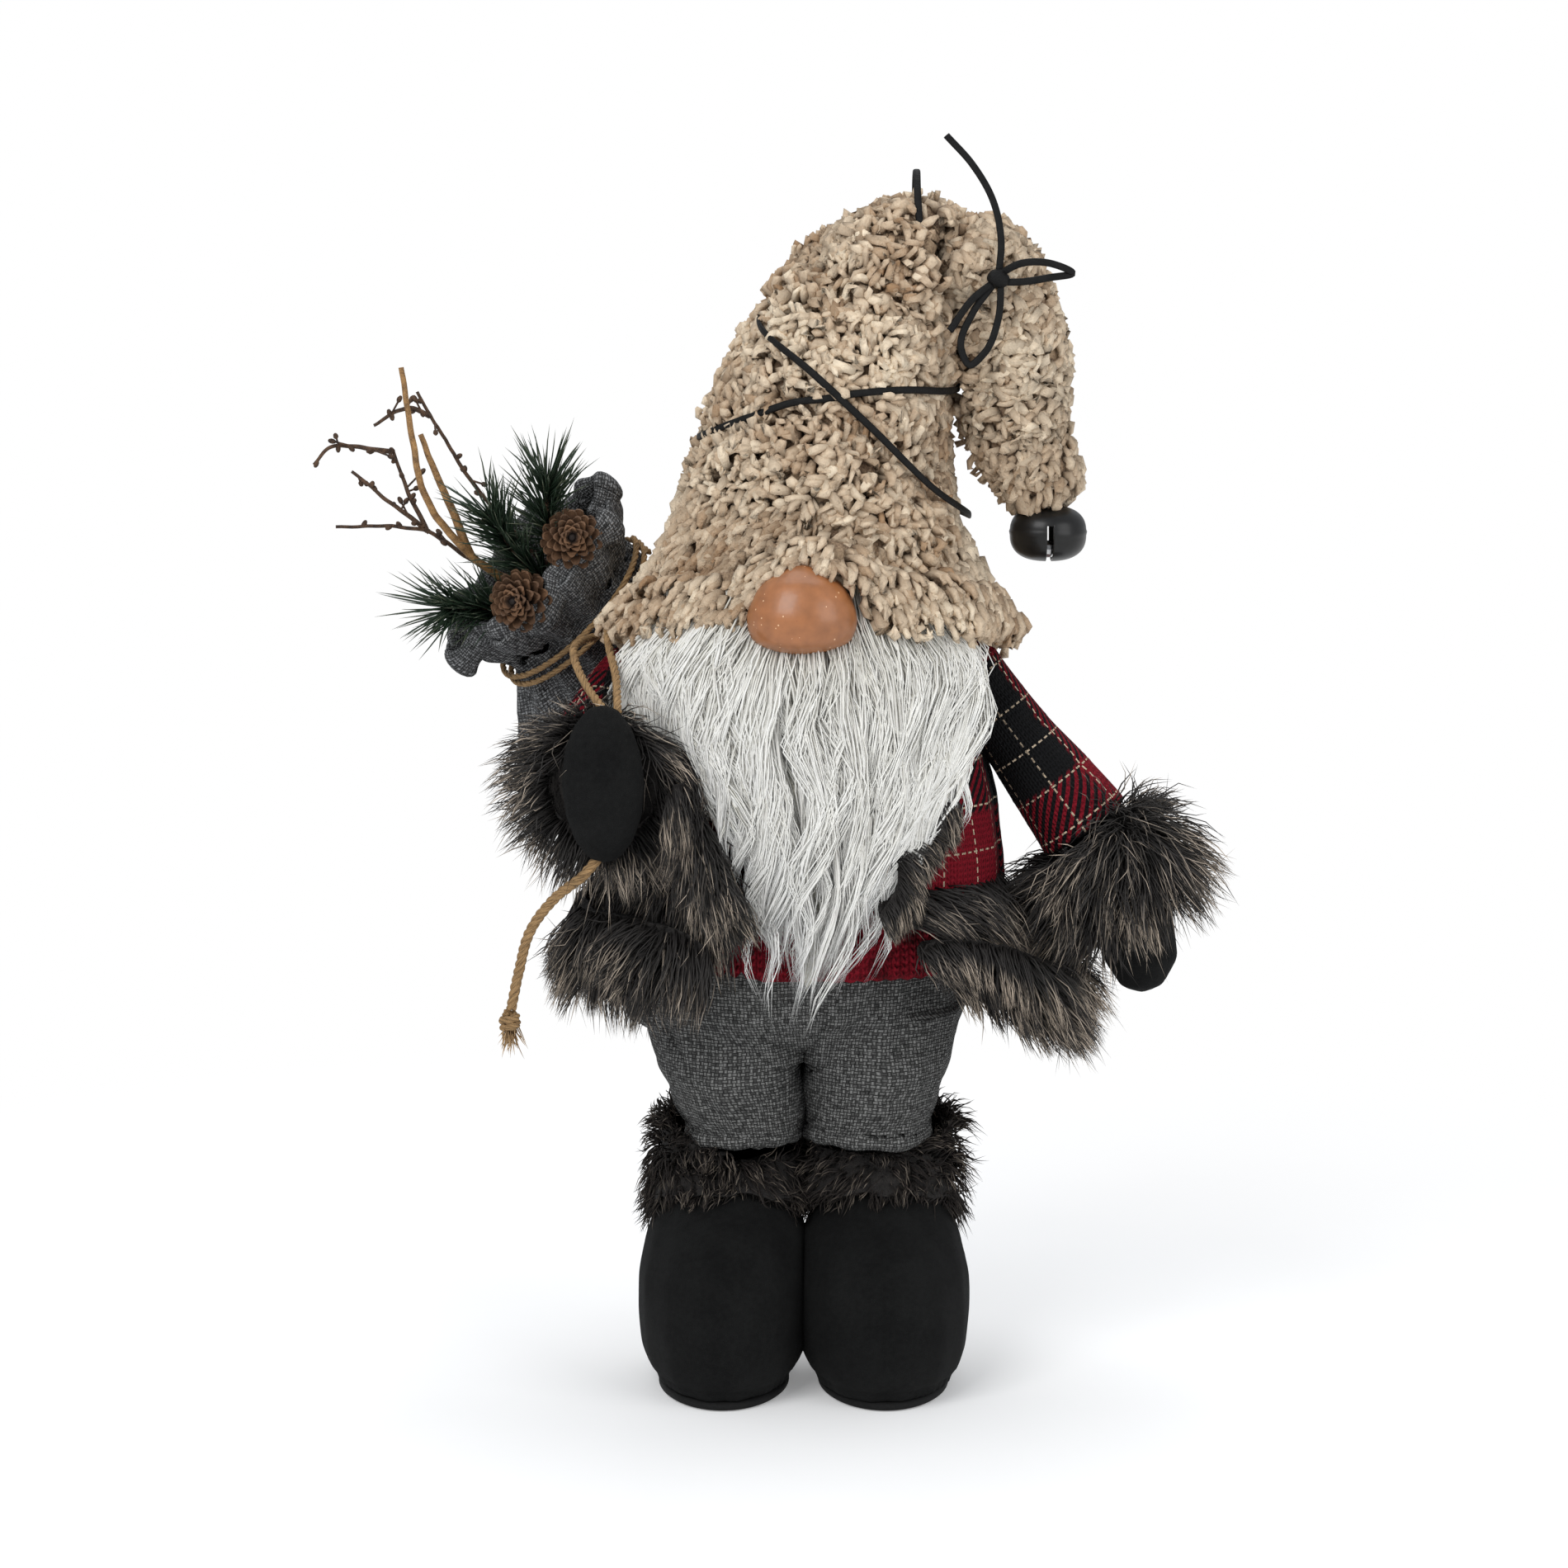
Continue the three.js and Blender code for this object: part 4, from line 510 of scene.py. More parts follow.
class Tree:
    """A node tree with short calls: each adds a node, fills its inputs and gives back what it puts out."""

    def __init__(self, tree):
        self.tree = tree

    def node(self, kind, inputs=None, **settings):
        made = self.tree.nodes.new("ShaderNode" + kind)
        for key, value in settings.items():
            setattr(made, key, value)
        for key, value in (inputs or {}).items():
            self.put(value, made.inputs[key])
        return made

    def put(self, value, socket):
        """A value, a colour or another node's output, into a socket."""
        if isinstance(value, bpy.types.NodeSocket):
            self.tree.links.new(value, socket)
        elif socket.type == "RGBA":
            socket.default_value = (*value[:3], 1)
        else:
            socket.default_value = value

    def math(self, operation, a, b=0.0, c=0.0, clamp=False):
        return self.node("Math", {0: a, 1: b, 2: c}, operation=operation, use_clamp=clamp).outputs[0]

    def noise(self, vector, scale, detail=2.0):
        return self.node("TexNoise", {"Vector": vector, "Scale": scale, "Detail": detail}).outputs[0]

    def cells(self, vector, scale):
        return self.node("TexVoronoi", {"Vector": vector, "Scale": scale}).outputs["Distance"]

    def mix(self, factor, a, b):
        return self.node("Mix", {0: factor, 6: a, 7: b}, data_type="RGBA").outputs[2]

    def stretched(self, vector, scale):
        return self.node("Mapping", {"Vector": vector, "Scale": scale}).outputs[0]

    def steps(self, factor, *stops):
        """Colours by a number from 0 to 1: each stop is its place and its colour."""
        node = self.node("ValToRGB", {0: factor})
        elements = node.color_ramp.elements
        while len(elements) < len(stops):
            elements.new(0.5)
        for element, (place, colour) in zip(elements, stops):
            element.position = place
            element.color = (*colour[:3], 1)
        return node.outputs[0]

    def coordinates(self, kind="Object"):
        return self.node("TexCoord").outputs[kind]

    def number(self, name):
        return self.node("Attribute", attribute_name=name).outputs["Fac"]

    def bump(self, height, distance):
        return self.node("Bump", {"Height": height, "Distance": distance}).outputs[0]

    def apart(self, vector):
        """The parts of a vector along x, y and z."""
        return self.node("SeparateXYZ", {0: vector}).outputs

    def sine(self, value, factor):
        return self.math("SINE", self.math("MULTIPLY", value, factor))

    def use(self, group, **inputs):
        made = self.node("Group", node_tree=group)
        for key, value in inputs.items():
            self.put(value, made.inputs[key])
        return made.outputs


def new_group(name, inputs, outputs):
    """A shader node group: its tree, its inputs by name, and a call that ends it with its outputs."""
    made = bpy.data.node_groups.new(name, "ShaderNodeTree")
    for key, kind in inputs.items():
        made.interface.new_socket(key, in_out="INPUT", socket_type="NodeSocket" + kind)
    for key, kind in outputs.items():
        made.interface.new_socket(key, in_out="OUTPUT", socket_type="NodeSocket" + kind)
    tree = Tree(made)
    source = made.nodes.new("NodeGroupInput").outputs
    target = made.nodes.new("NodeGroupOutput").inputs

    def end(**values):
        for key, value in values.items():
            tree.put(value, target[key])
        return made

    return tree, source, end


def mottle_group():
    """Uneven dye: a colour between two others by two sizes of noise."""
    inputs = {"Vector": "Vector", "Scale": "Float", "Dark": "Color", "Light": "Color"}
    tree, source, end = new_group("Mottle", inputs, {"Colour": "Color"})
    broad = tree.noise(source["Vector"], source["Scale"], 3.0)
    fine = tree.noise(source["Vector"], tree.math("MULTIPLY", source["Scale"], 9.0), 2.0)
    level = tree.math("ADD", tree.math("MULTIPLY", broad, 0.6), tree.math("MULTIPLY", fine, 0.4))
    factor = tree.math("MULTIPLY_ADD", level, 4.0, -1.5, clamp=True)
    return end(Colour=tree.mix(factor, source["Dark"], source["Light"]))


def weave_group():
    """A plain weave on cloth laid out in metres: each thread passes over and under the ones it crosses.

    Whichever thread is on top gives the height, a half sine over its width, and the tone, a noise drawn out
    along it, so that single threads read light or dark.
    """
    inputs = {"Vector": "Vector", "Threads": "Float"}
    tree, source, end = new_group("Weave", inputs, {"Height": "Float", "Tone": "Float"})
    lay = tree.apart(source["Vector"])
    wave = [tree.sine(tree.math("MULTIPLY", lay[side], source["Threads"]), np.pi) for side in (0, 1)]
    crossing = tree.math("MULTIPLY", wave[0], wave[1])
    over = tree.math("MULTIPLY_ADD", crossing, 3.0, 0.5, clamp=True)
    crown = [tree.math("ABSOLUTE", side) for side in wave]
    height = tree.node("Mix", {0: over, 2: crown[1], 3: crown[0]}).outputs[0]
    tones = [tree.noise(tree.stretched(source["Vector"], stretch), source["Threads"], 1.0)
             for stretch in ((1.0, 0.35, 1.0), (0.35, 1.0, 1.0))]
    tone = tree.node("Mix", {0: over, 2: tones[1], 3: tones[0]}).outputs[0]
    return end(Height=height, Tone=tone)


def strand_group():
    """A strand's colour: from root to tip by its place, and lighter or darker by the strand's own shade."""
    inputs = {"Along": "Float", "Shade": "Float", "Root": "Color", "Middle": "Color", "Tip": "Color"}
    tree, source, end = new_group("Strand Colour", inputs, {"Colour": "Color"})
    lower = tree.math("MULTIPLY", source["Along"], 2.2, clamp=True)
    upper = tree.math("MULTIPLY_ADD", source["Along"], 2.6, -1.3, clamp=True)
    tipped = tree.math("MULTIPLY", upper, source["Shade"])
    base = tree.mix(lower, source["Root"], source["Middle"])
    return end(Colour=tree.mix(tipped, base, source["Tip"]))


GROUPS = {}


def group(name):
    makers = {"mottle": mottle_group, "weave": weave_group, "strand": strand_group}
    if name not in GROUPS:
        GROUPS[name] = makers[name]()
    return GROUPS[name]


MATERIALS = {}


def times(factor, colour):
    """A colour made lighter or darker, and no lighter than white."""
    return tuple(min(1.0, factor * part) for part in colour)


def new_material(name, colour, normal=None, roughness=0.9, **constants):
    """A Principled material from a colour output, with everything that is the same all over set on its sockets."""
    made = bpy.data.materials.new(name)
    made.use_nodes = True
    tree = Tree(made.node_tree)
    inputs = made.node_tree.nodes["Principled BSDF"].inputs
    for key, value in constants.items():
        inputs[key.replace("_", " ")].default_value = value
    inputs["Roughness"].default_value = roughness
    tree.put(colour(tree), inputs["Base Color"])
    if normal:
        tree.put(normal(tree), inputs["Normal"])
    MATERIALS[name] = made


def mottled(dark, light, scale):
    def paint(tree):
        return tree.use(group("mottle"), Vector=tree.coordinates(), Scale=scale, Dark=dark, Light=light)["Colour"]

    return paint


def grained(scale, distance, detail=3.0):
    return lambda tree: tree.bump(tree.noise(tree.coordinates(), scale, detail), distance)


# The shades of the threads in a woven cloth: place on the ramp, and how much lighter than the cloth's colour.
THREAD_SHADES = [(0.25, 0.12), (0.42, 0.55), (0.6, 1.3), (0.8, 4.2)]


def weave_of(tree, threads):
    return tree.use(group("weave"), Vector=tree.coordinates("UV"), Threads=threads)


def woven(threads, colour):
    """Cloth whose threads are dyed in shades of a colour, from dark to light."""
    stops = [(place, times(factor, colour)) for place, factor in THREAD_SHADES]

    def paint(tree):
        weave = weave_of(tree, threads)
        level = tree.math("MULTIPLY_ADD", weave["Height"], 0.3, tree.math("MULTIPLY", weave["Tone"], 0.85))
        return tree.steps(level, *stops)

    return paint


def weave_bump(threads, distance):
    return lambda tree: tree.bump(weave_of(tree, threads)["Height"], distance)


def strand_paint(root, centre, tip):
    def paint(tree):
        return tree.use(group("strand"), Along=tree.number("along"), Shade=tree.number("shade"), Root=root,
                        Middle=centre, Tip=tip)["Colour"]

    return paint


# The plaid in metres: its repeat, the spacing and half width of its thin lines, one stitch of a line with the
# gap after it, and one rib of the hatching.
CHECK = 0.07
STITCH_LINE = 0.0158
STITCH_HALF_WIDTH = 0.00032
STITCH_STEP = 0.0034
HATCH_STEP = 0.0042


def plaid_paint(red, line, dark_share):
    """Plaid by position on the cloth: dark bars both ways, hatched where one crosses red, and thin dashed lines.

    A bar covers the part of each repeat where a sine plus an offset is positive. A line is where the distance to the
    nearest multiple of its spacing is under its half width, and a sine along it leaves gaps between stitches.
    """

    def paint(tree):
        vector = tree.coordinates("UV")
        lay = tree.apart(vector)
        bars, lines = [], []
        for side in (0, 1):
            bars.append(tree.math("MULTIPLY_ADD", tree.sine(lay[side], FULL_TURN / CHECK), 9.0, dark_share, clamp=True))
            away = tree.math("PINGPONG", tree.math("ADD", lay[side], 0.004), STITCH_LINE / 2)
            near = tree.math("LESS_THAN", away, STITCH_HALF_WIDTH)
            dash = tree.sine(lay[1 - side], FULL_TURN / STITCH_STEP)
            lines.append(tree.math("MULTIPLY", near, tree.math("GREATER_THAN", dash, -0.3)))
        slant = tree.sine(tree.math("ADD", lay[0], lay[1]), FULL_TURN / HATCH_STEP)
        hatch = tree.math("MULTIPLY_ADD", slant, 5.0, 0.5, clamp=True)
        either = tree.math("ABSOLUTE", tree.math("SUBTRACT", *bars))
        dark = tree.math("ADD", tree.math("MULTIPLY", *bars), tree.math("MULTIPLY", either, hatch), clamp=True)
        knit = tree.noise(vector, 900.0)
        black = tree.mix(knit, (0.003, 0.003, 0.0035), (0.012, 0.012, 0.013))
        ground = tree.mix(dark, tree.mix(knit, times(0.45, red), times(1.3, red)), black)
        return tree.mix(tree.math("MAXIMUM", *lines), ground, line)

    return paint


def knit_bump(width, distance):
    """Rows of knitted stitches on the cloth: each column of a stitch is a V, a sine of height plus the slope."""

    def bump(tree):
        lay = tree.apart(tree.coordinates("UV"))
        column = tree.math("PINGPONG", lay[0], width / 2)
        rows = tree.sine(tree.math("MULTIPLY_ADD", column, 0.9, lay[1]), FULL_TURN / (0.8 * width))
        return tree.bump(tree.math("MULTIPLY_ADD", rows, 0.5, tree.sine(column, FULL_TURN / width)), distance)

    return bump


# Finishes with an uneven colour: its dark and light colour and its scale, the grain's scale and height, and how rough
# the surface is. Most are dyed; the dark colours of the hat cloth and the beard backing are painted shade, which stands
# for the shade between curls and between locks.
DYED_AND_PAINTED_SHADE = {
    "felt": ((0.0026, 0.0027, 0.0027), (0.007, 0.0073, 0.0071), 60.0, 2600.0, 0.0005, 0.95),
    "sole": ((0.004, 0.004, 0.004), (0.008, 0.008, 0.008), 90.0, 1800.0, 0.0002, 0.8),
    "fur backing": ((0.006, 0.005, 0.0045), (0.02, 0.017, 0.015), 200.0, 900.0, 0.001, 0.9),
    # The beard backing's darker cream is painted shade: it stands for the shade between the beard's locks.
    "beard backing": ((0.5, 0.48, 0.4), (0.76, 0.74, 0.66), 120.0, 900.0, 0.001, 0.9),
    # The hat cloth's dark brown is painted shade: it shows in the gaps as the shade between the curls.
    "hat cloth": ((0.14, 0.085, 0.05), (0.42, 0.3, 0.19), 140.0, 900.0, 0.0012, 0.9),
    "lace": ((0.002, 0.002, 0.002), (0.006, 0.006, 0.006), 300.0, 1400.0, 0.0003, 0.6),
    "bell": ((0.003, 0.003, 0.003), (0.006, 0.006, 0.006), 60.0, 260.0, 0.00005, 0.38),
    "steel": ((0.55, 0.55, 0.56), (0.8, 0.8, 0.8), 150.0, 900.0, 0.00005, 0.3),
    "bark": ((0.02, 0.012, 0.008), (0.12, 0.065, 0.035), 400.0, 1500.0, 0.0006, 0.85),
    "straw": ((0.12, 0.06, 0.02), (0.4, 0.22, 0.08), 300.0, 1200.0, 0.0003, 0.7),
    "wood": ((0.3, 0.17, 0.08), (0.55, 0.34, 0.17), 200.0, 800.0, 0.0003, 0.6),
    "cotton": ((0.6, 0.58, 0.52), (0.85, 0.83, 0.78), 200.0, 1200.0, 0.0006, 0.9),
}
# How the surface of a dyed finish shines, where it isn't as cloth does.
SHINE = {
    "felt": {"Specular_IOR_Level": 0.2},
    "sole": {"Specular_IOR_Level": 0.25},
    "lace": {"Specular_IOR_Level": 0.2},
    "bell": {"Specular_IOR_Level": 0.35, "Coat_Weight": 0.08, "Coat_Roughness": 0.15},
    "steel": {"Metallic": 1.0},
}


def make_materials():
    """Every finish on the figure, by the name that the pieces ask for."""
    hues = bpy.context.scene.gnome_colours
    names = ("coat_red", "coat_line", "fur_root", "fur_tip", "beard_white", "nose_clay", "hat_cream", "hat_tan",
             "wool_grey", "tweed_grey", "jute")
    red, line, root, tip, white, clay, cream, tan, wool, grey, jute = (tuple(getattr(hues, name)) for name in names)
    for name, (dark, light, scale, grain, height, roughness) in DYED_AND_PAINTED_SHADE.items():
        new_material(name, mottled(dark, light, scale), grained(grain, height), roughness, **SHINE.get(name, {}))
    for name, colour, threads, height in (("tweed", grey, 820.0, 0.0007), ("sack wool", wool, 900.0, 0.0006)):
        new_material(name, woven(threads, colour), weave_bump(threads, height), 0.95, Specular_IOR_Level=0.2)
    for name, dark_share in (("plaid", -3.2), ("dark plaid", 6.0)):
        new_material(name, plaid_paint(red, line, dark_share), knit_bump(0.0026, 0.0006), 0.92,
                     Specular_IOR_Level=0.15)
    new_material("knit", mottled(times(0.3, red), times(1.25, red), 160.0), knit_bump(0.0034, 0.0009), 0.92,
                 Specular_IOR_Level=0.15)
    new_material("nose", nose_paint(clay), grained(500.0, 0.00008), 0.4, Coat_Weight=0.25, Coat_Roughness=0.15)
    new_material("curls", curl_paint(cream, tan), grained(1700.0, 0.0007, 4.0), 0.95)
    new_material("jute", strand_streaks(jute), grained(2400.0, 0.0005), 0.9)
    # Strands: their colours at the root, the middle and the tip, and how rough they are.
    strands = {
        "fur": (root, (0.036, 0.033, 0.031), tip, 0.72),
        "cuff fur": (root, (0.017, 0.013, 0.011), times(0.3, tip), 0.75),
        # The beard's darker cream at the root is painted shade deep among the strands, near the backing.
        "beard": ((0.66, 0.64, 0.57), (0.92, 0.91, 0.87), white, 0.5),
        "jute fibre": (times(0.5, jute), jute, (0.75, 0.52, 0.28), 0.8),
        "needles": ((0.012, 0.026, 0.012), (0.016, 0.036, 0.018), (0.11, 0.12, 0.075), 0.55),
        "cone": ((0.012, 0.006, 0.004), (0.04, 0.02, 0.01), (0.17, 0.085, 0.04), 0.75),
    }
    for name, (*colours, roughness) in strands.items():
        shine = {"Specular_IOR_Level": 0.3} if "fur" in name else {}
        new_material(name, strand_paint(*colours), None, roughness, **shine)


def nose_paint(clay):
    """Glazed clay: a soft change of tone over the nose, with small pale and brown specks."""

    def paint(tree):
        vector = tree.coordinates()
        base = mottled(times(0.8, clay), times(1.16, clay), 30.0)(tree)
        speck = tree.math("LESS_THAN", tree.cells(vector, 420.0), 0.13)
        chosen = tree.math("GREATER_THAN", tree.noise(vector, 120.0), 0.55)
        spotted = tree.mix(tree.math("MULTIPLY", speck, chosen), base, (0.72, 0.45, 0.26))
        brown = tree.math("LESS_THAN", tree.cells(tree.stretched(vector, (1.1, 0.9, 1.3)), 260.0), 0.07)
        return tree.mix(brown, spotted, (0.3, 0.1, 0.04))

    return paint


def curl_paint(cream, tan):
    """Boucle curls: each curl has its own tone between tan and cream, with painted shade that darkens it down at the
    cloth.
    """

    def paint(tree):
        # Painted shade: a quarter of the tan at a curl's root, fading to the yarn's tone just past halfway up, for the
        # shade deep among the curls.
        depth = tree.math("MULTIPLY_ADD", tree.number("along"), 1.6, 0.12, clamp=True)
        fleck = tree.noise(tree.coordinates(), 700.0, 4.0)
        tone = tree.math("MULTIPLY_ADD", fleck, 0.5, tree.math("ADD", tree.number("shade"), -0.25), clamp=True)
        yarn = tree.mix(tone, tan, cream)
        return tree.mix(depth, times(0.25, tan), yarn)

    return paint


def strand_streaks(colour):
    """Twine: fibres as streaks along the strand, between shaded and bleached."""

    def paint(tree):
        vector = tree.stretched(tree.coordinates("UV"), (2400.0, 240.0, 1.0))
        fibre = tree.noise(vector, 1.0, 3.0)
        return tree.steps(fibre, (0.3, times(0.32, colour)), (0.5, colour), (0.72, times(1.45, colour)))

    return paint


# Cloth shapes on top of the solids


def wrap_uv(obj, start, end, radius, seam=(0, 1, 0), shift=(0.0, 0.0)):
    """Lay a soft form's surface out flat: distance along a line, and the turn about it times a radius.

    The cut between the two ends of a turn is on the seam's side, and faces across it are kept whole.
    """
    line = unit(end - start)
    back = unit(seam - line * (line @ seam))
    points = points_of(obj) - start
    turn = np.arctan2(points @ np.cross(line, back), -(points @ back))
    lay = np.stack([turn * radius, points @ line], axis=1) + shift
    mesh = obj.data
    corner = np.empty(len(mesh.loops), np.int32)
    mesh.loops.foreach_get("vertex_index", corner)
    counts = np.empty(len(mesh.polygons), np.int32)
    mesh.polygons.foreach_get("loop_total", counts)
    uv = lay[corner]
    face = np.repeat(np.arange(len(counts)), counts)
    reach = np.full(len(counts), -np.inf)
    np.maximum.at(reach, face, uv[:, 0])
    around = FULL_TURN * radius
    uv[:, 0] += np.where(reach[face] - uv[:, 0] > around / 2, around, 0)
    lay_out(mesh, uv)


def wrap_upright(obj, radius, shift=(0.0, 0.0)):
    """Lay a form out flat about the upright line through the figure's middle."""
    wrap_uv(obj, FOOT, FOOT + UP, radius, shift=shift)


def pushed(obj, amount):
    """Move each point out along its normal by one amount, or by its own."""
    move_points(obj, points_of(obj) + normals_of(obj) * np.reshape(amount, (-1, 1)))


# For how many frames a form is blown up as cloth.
CLOTH_FRAMES = 20


def plumped(obj, limit):
    """Blow a closed form up as cloth for a few frames, holding each point within a limit of where it began."""
    start = points_of(obj)
    cloth = obj.modifiers.new("Cloth", "CLOTH")
    cloth.settings.use_pressure = True
    cloth.settings.uniform_pressure_force = 4
    cloth.settings.effector_weights.gravity = 0
    cloth.settings.tension_stiffness = cloth.settings.compression_stiffness = 20
    cloth.settings.quality = 4
    cloth.collision_settings.use_collision = False
    scene = bpy.context.scene
    for number in range(1, CLOTH_FRAMES + 1):
        scene.frame_set(number)
    applied(obj)
    scene.frame_set(1)
    moved = points_of(obj) - start
    far = np.linalg.norm(moved, axis=1, keepdims=True)
    move_points(obj, start + moved * np.minimum(1, limit / np.maximum(far, 1e-9)))


def creases(points, routes, width):
    """A groove under each route: a bell curve of the distance to it, deepest at one."""
    return np.max([hump(nearest(points, smooth(route, 60)), width) for route in routes], axis=0)


# The edge of a sole: height in metres, and the share of the full size there.
SOLE_ROWS = [(0.0, 0.97), (0.0006, 1.0), (0.0022, 1.0), (0.003, 0.975)]


def make_boot(side):
    """A stuffed felt boot: the solid's form, plumped, drawn in along its front seam and above its sole."""
    way = -1 if side == "right" else 1
    node = f"{side}_boot_upper"
    boot = soft_copy(f"{side}_felt_boot", [node], 0.0021, "felt", smoothing=8, grow=0.0012)
    plumped(boot, 0.0012)
    points = points_of(boot)
    bottom = corners(node)[0][2]
    centre = middle(f"{side}_boot_sole")
    seam = hump(points[:, 0] - centre[0], 0.0011) * (points[:, 1] < centre[1] - 0.02)
    welt = hump(points[:, 2] - bottom - 0.003, 0.0018)
    dents = 0.0007 * waves(points, 11 + way, 75.0)
    bulge = 0.0021 * np.sin(np.pi * held((points[:, 2] - bottom) / 0.066)) ** 0.7
    inner = hump(points[:, 0] - FIGURE_X, 0.009) * held((points[:, 2] - 0.042) / 0.012)
    pushed(boot, bulge + dents + 0.002 * inner - 0.0007 * seam - 0.0012 * welt)
    dressed(boot, FIGURE, "felt", node, f"{side}_weight_bag", fill=0.8)
    low, high = corners(f"{side}_boot_sole")
    half = (high - low) / 2
    oval = ring_of(turns(96), half * [1, 0, 0], half * [0, 1, 0])
    rings = [oval * size + [centre[0], centre[1], low[2] + rise] for rise, size in SOLE_ROWS]
    dressed(lofted(f"{side}_sole_plate", np.array(rings), "sole"), FIGURE, "felt", f"{side}_boot_sole")


# The rolled hems of the trousers, and how far the middle of a leg is from the figure's middle, in metres.
HEM_RADIUS = 0.0034
LEG_OFFSET = 0.029


def hem_roll(points, side):
    """The rolled hem of a leg: a cord of cloth that follows the leg's lower edge at each turn about its middle."""
    leg = points[side * (points[:, 0] - FIGURE_X) > 0.001]
    bottom = leg[:, 2].min()
    edge = leg[leg[:, 2] < bottom + 0.003]
    centre = edge.mean(axis=0)
    away = (edge - centre)[:, :2]
    parts = 40
    angles = (np.arange(parts) + 0.5) * FULL_TURN / parts
    part = (np.arctan2(away[:, 1], away[:, 0]) % FULL_TURN * parts / FULL_TURN).astype(int)
    far = np.zeros(parts)
    np.maximum.at(far, part % parts, np.linalg.norm(away, axis=1))
    for _ in range(3):
        far = np.interp(angles, angles[far > 0], far[far > 0], period=FULL_TURN)
        far = (np.roll(far, 1) + 2 * far + np.roll(far, -1)) / 4
    turn = np.linspace(0, FULL_TURN, 130)
    reach = np.interp(turn, angles, far, period=FULL_TURN) - 0.0016
    rise = bottom + 0.0022 + 0.0007 * np.sin(3 * turn + side)
    route = np.stack([centre[0] + reach * np.cos(turn), centre[1] + reach * np.sin(turn), rise], axis=1)
    return cord_grid(route, HEM_RADIUS * (1 + 0.12 * np.sin(11 * turn)), 12)


def make_trousers():
    """Tweed trousers: the shell's form with gathers at its hems, soft folds and a deep crotch crease."""
    trousers = soft_copy("tweed_trousers", ["trousers"], 0.0012, "tweed", smoothing=5, keep=0.5)
    points = points_of(trousers)
    bottom = corners("trousers")[0][2]
    loose = np.sin(np.pi * held((points[:, 2] - bottom + 0.004) / 0.05)) * 0.0035
    points = points + unit((points - FOOT) * [0.4, 1, 0]) * loose[:, None]
    near = hump(points[:, 0] - FIGURE_X, 0.016) * held((0.135 - points[:, 2]) / 0.03)
    points[:, 0] -= 0.55 * near * (points[:, 0] - FIGURE_X)
    points[:, 0] -= 0.004 * near * np.tanh((points[:, 0] - FIGURE_X) / 0.003)
    tapered = 0.3 * held((0.14 - points[:, 2]) / 0.03)
    beyond = np.maximum(np.abs(points[:, 0] - FIGURE_X) - LEG_OFFSET, 0)
    points[:, 0] -= np.sign(points[:, 0] - FIGURE_X) * tapered * beyond
    cleft = np.exp(-np.abs(points[:, 0] - FIGURE_X) / 0.004) * held((0.175 - points[:, 2]) / 0.02)
    points[:, 1] += 0.015 * cleft * (points[:, 1] < 0)
    side = np.where(points[:, 0] < FIGURE_X, -1.0, 1.0)
    for leg in (side < 0, side > 0):
        points[leg, 2] = np.maximum(points[leg, 2], points[leg, 2].min() + 0.0045)
    tuck = 0.22 * held((bottom + 0.008 - points[:, 2]) / 0.008)
    points[:, 0] -= tuck * (points[:, 0] - FIGURE_X - side * LEG_OFFSET)
    points[:, 1] -= tuck * points[:, 1]
    move_points(trousers, points)
    rolls = [hem_roll(points, side) for side in (-1, 1)]
    dressed(lofted("tweed_hem_rolls", rolls, "tweed"), FIGURE, "tweed", "trousers")
    x, y, z = points.T
    side = np.where(x < FIGURE_X, -1.0, 1.0)
    turn = np.arctan2(y, x - FIGURE_X - side * 0.027)
    gathers = np.sin(turn * 17 + 2.2 * np.sin(turn * 3 + side)) * hump(z - bottom - 0.004, 0.012)
    sag = np.sin((z - bottom) * 210 + 2.3 * np.sin(turn * 2 + side)) * hump(z - bottom - 0.022, 0.017)
    crease = local((2, -40, 166), (1, -42, 150), (-1, -44, 138), (0, -40, 120), (0, -34, 98))
    side_folds = [local((-50, -34, 152), (-38, -44, 132), (-26, -46, 112), (-20, -40, 98)),
                  local((46, -36, 150), (40, -42, 130), (36, -42, 112)),
                  local((-58, -14, 146), (-50, -30, 120), (-34, -36, 98)),
                  local((22, -44, 156), (14, -45, 140), (8, -42, 124))]
    grooves = creases(points, [crease], 0.006) * 0.004 + creases(points, side_folds, 0.007) * 0.0038
    pushed(trousers, 0.0006 * gathers + 0.0009 * sag + 0.0018 * waves(points, 5, 60.0) - grooves)
    wrap_upright(trousers, 0.045)
    dressed(trousers, FIGURE, "tweed", "trousers", "right_leg", "left_leg")


def turn_of(points):
    """Each point's turn about the upright line through the figure's middle."""
    return np.arctan2(points[:, 1], points[:, 0] - FIGURE_X)


def make_shirt_hem():
    """The knitted hem below the coat: the solid's band with a ribbed, slightly wavy edge."""
    hem = soft_copy("knit_hem", ["shirt_hem"], 0.0012, "knit", keep=0.5)
    points = points_of(hem)
    pushed(hem, 0.0009 + 0.0006 * waves(points, 3, 90.0) + 0.0004 * np.sin(turn_of(points) * 60))
    wrap_upright(hem, 0.06)
    dressed(hem, FIGURE, "knit", "shirt_hem", "body")


def make_coat():
    """Plaid knit panels: each shell's form with soft folds that run down from the shoulders."""
    low, high = corners("coat_back")
    for node in ("coat_back", "coat_right_front", "coat_left_front"):
        panel = soft_copy(node + "_knit", [node], 0.0012, "plaid", smoothing=3, keep=0.5)
        points = points_of(panel)
        turn = turn_of(points)
        down = held((high[2] - points[:, 2]) / (high[2] - low[2]))
        folds = np.sin(turn * 9 + 1.3 * np.sin(turn * 4)) * down**1.5
        pushed(panel, 0.0011 * folds + 0.0008 * waves(points, 8, 70.0))
        wrap_upright(panel, 0.066, shift=(0.0545, 0.0015))
        dressed(panel, FIGURE, "plaid", node)


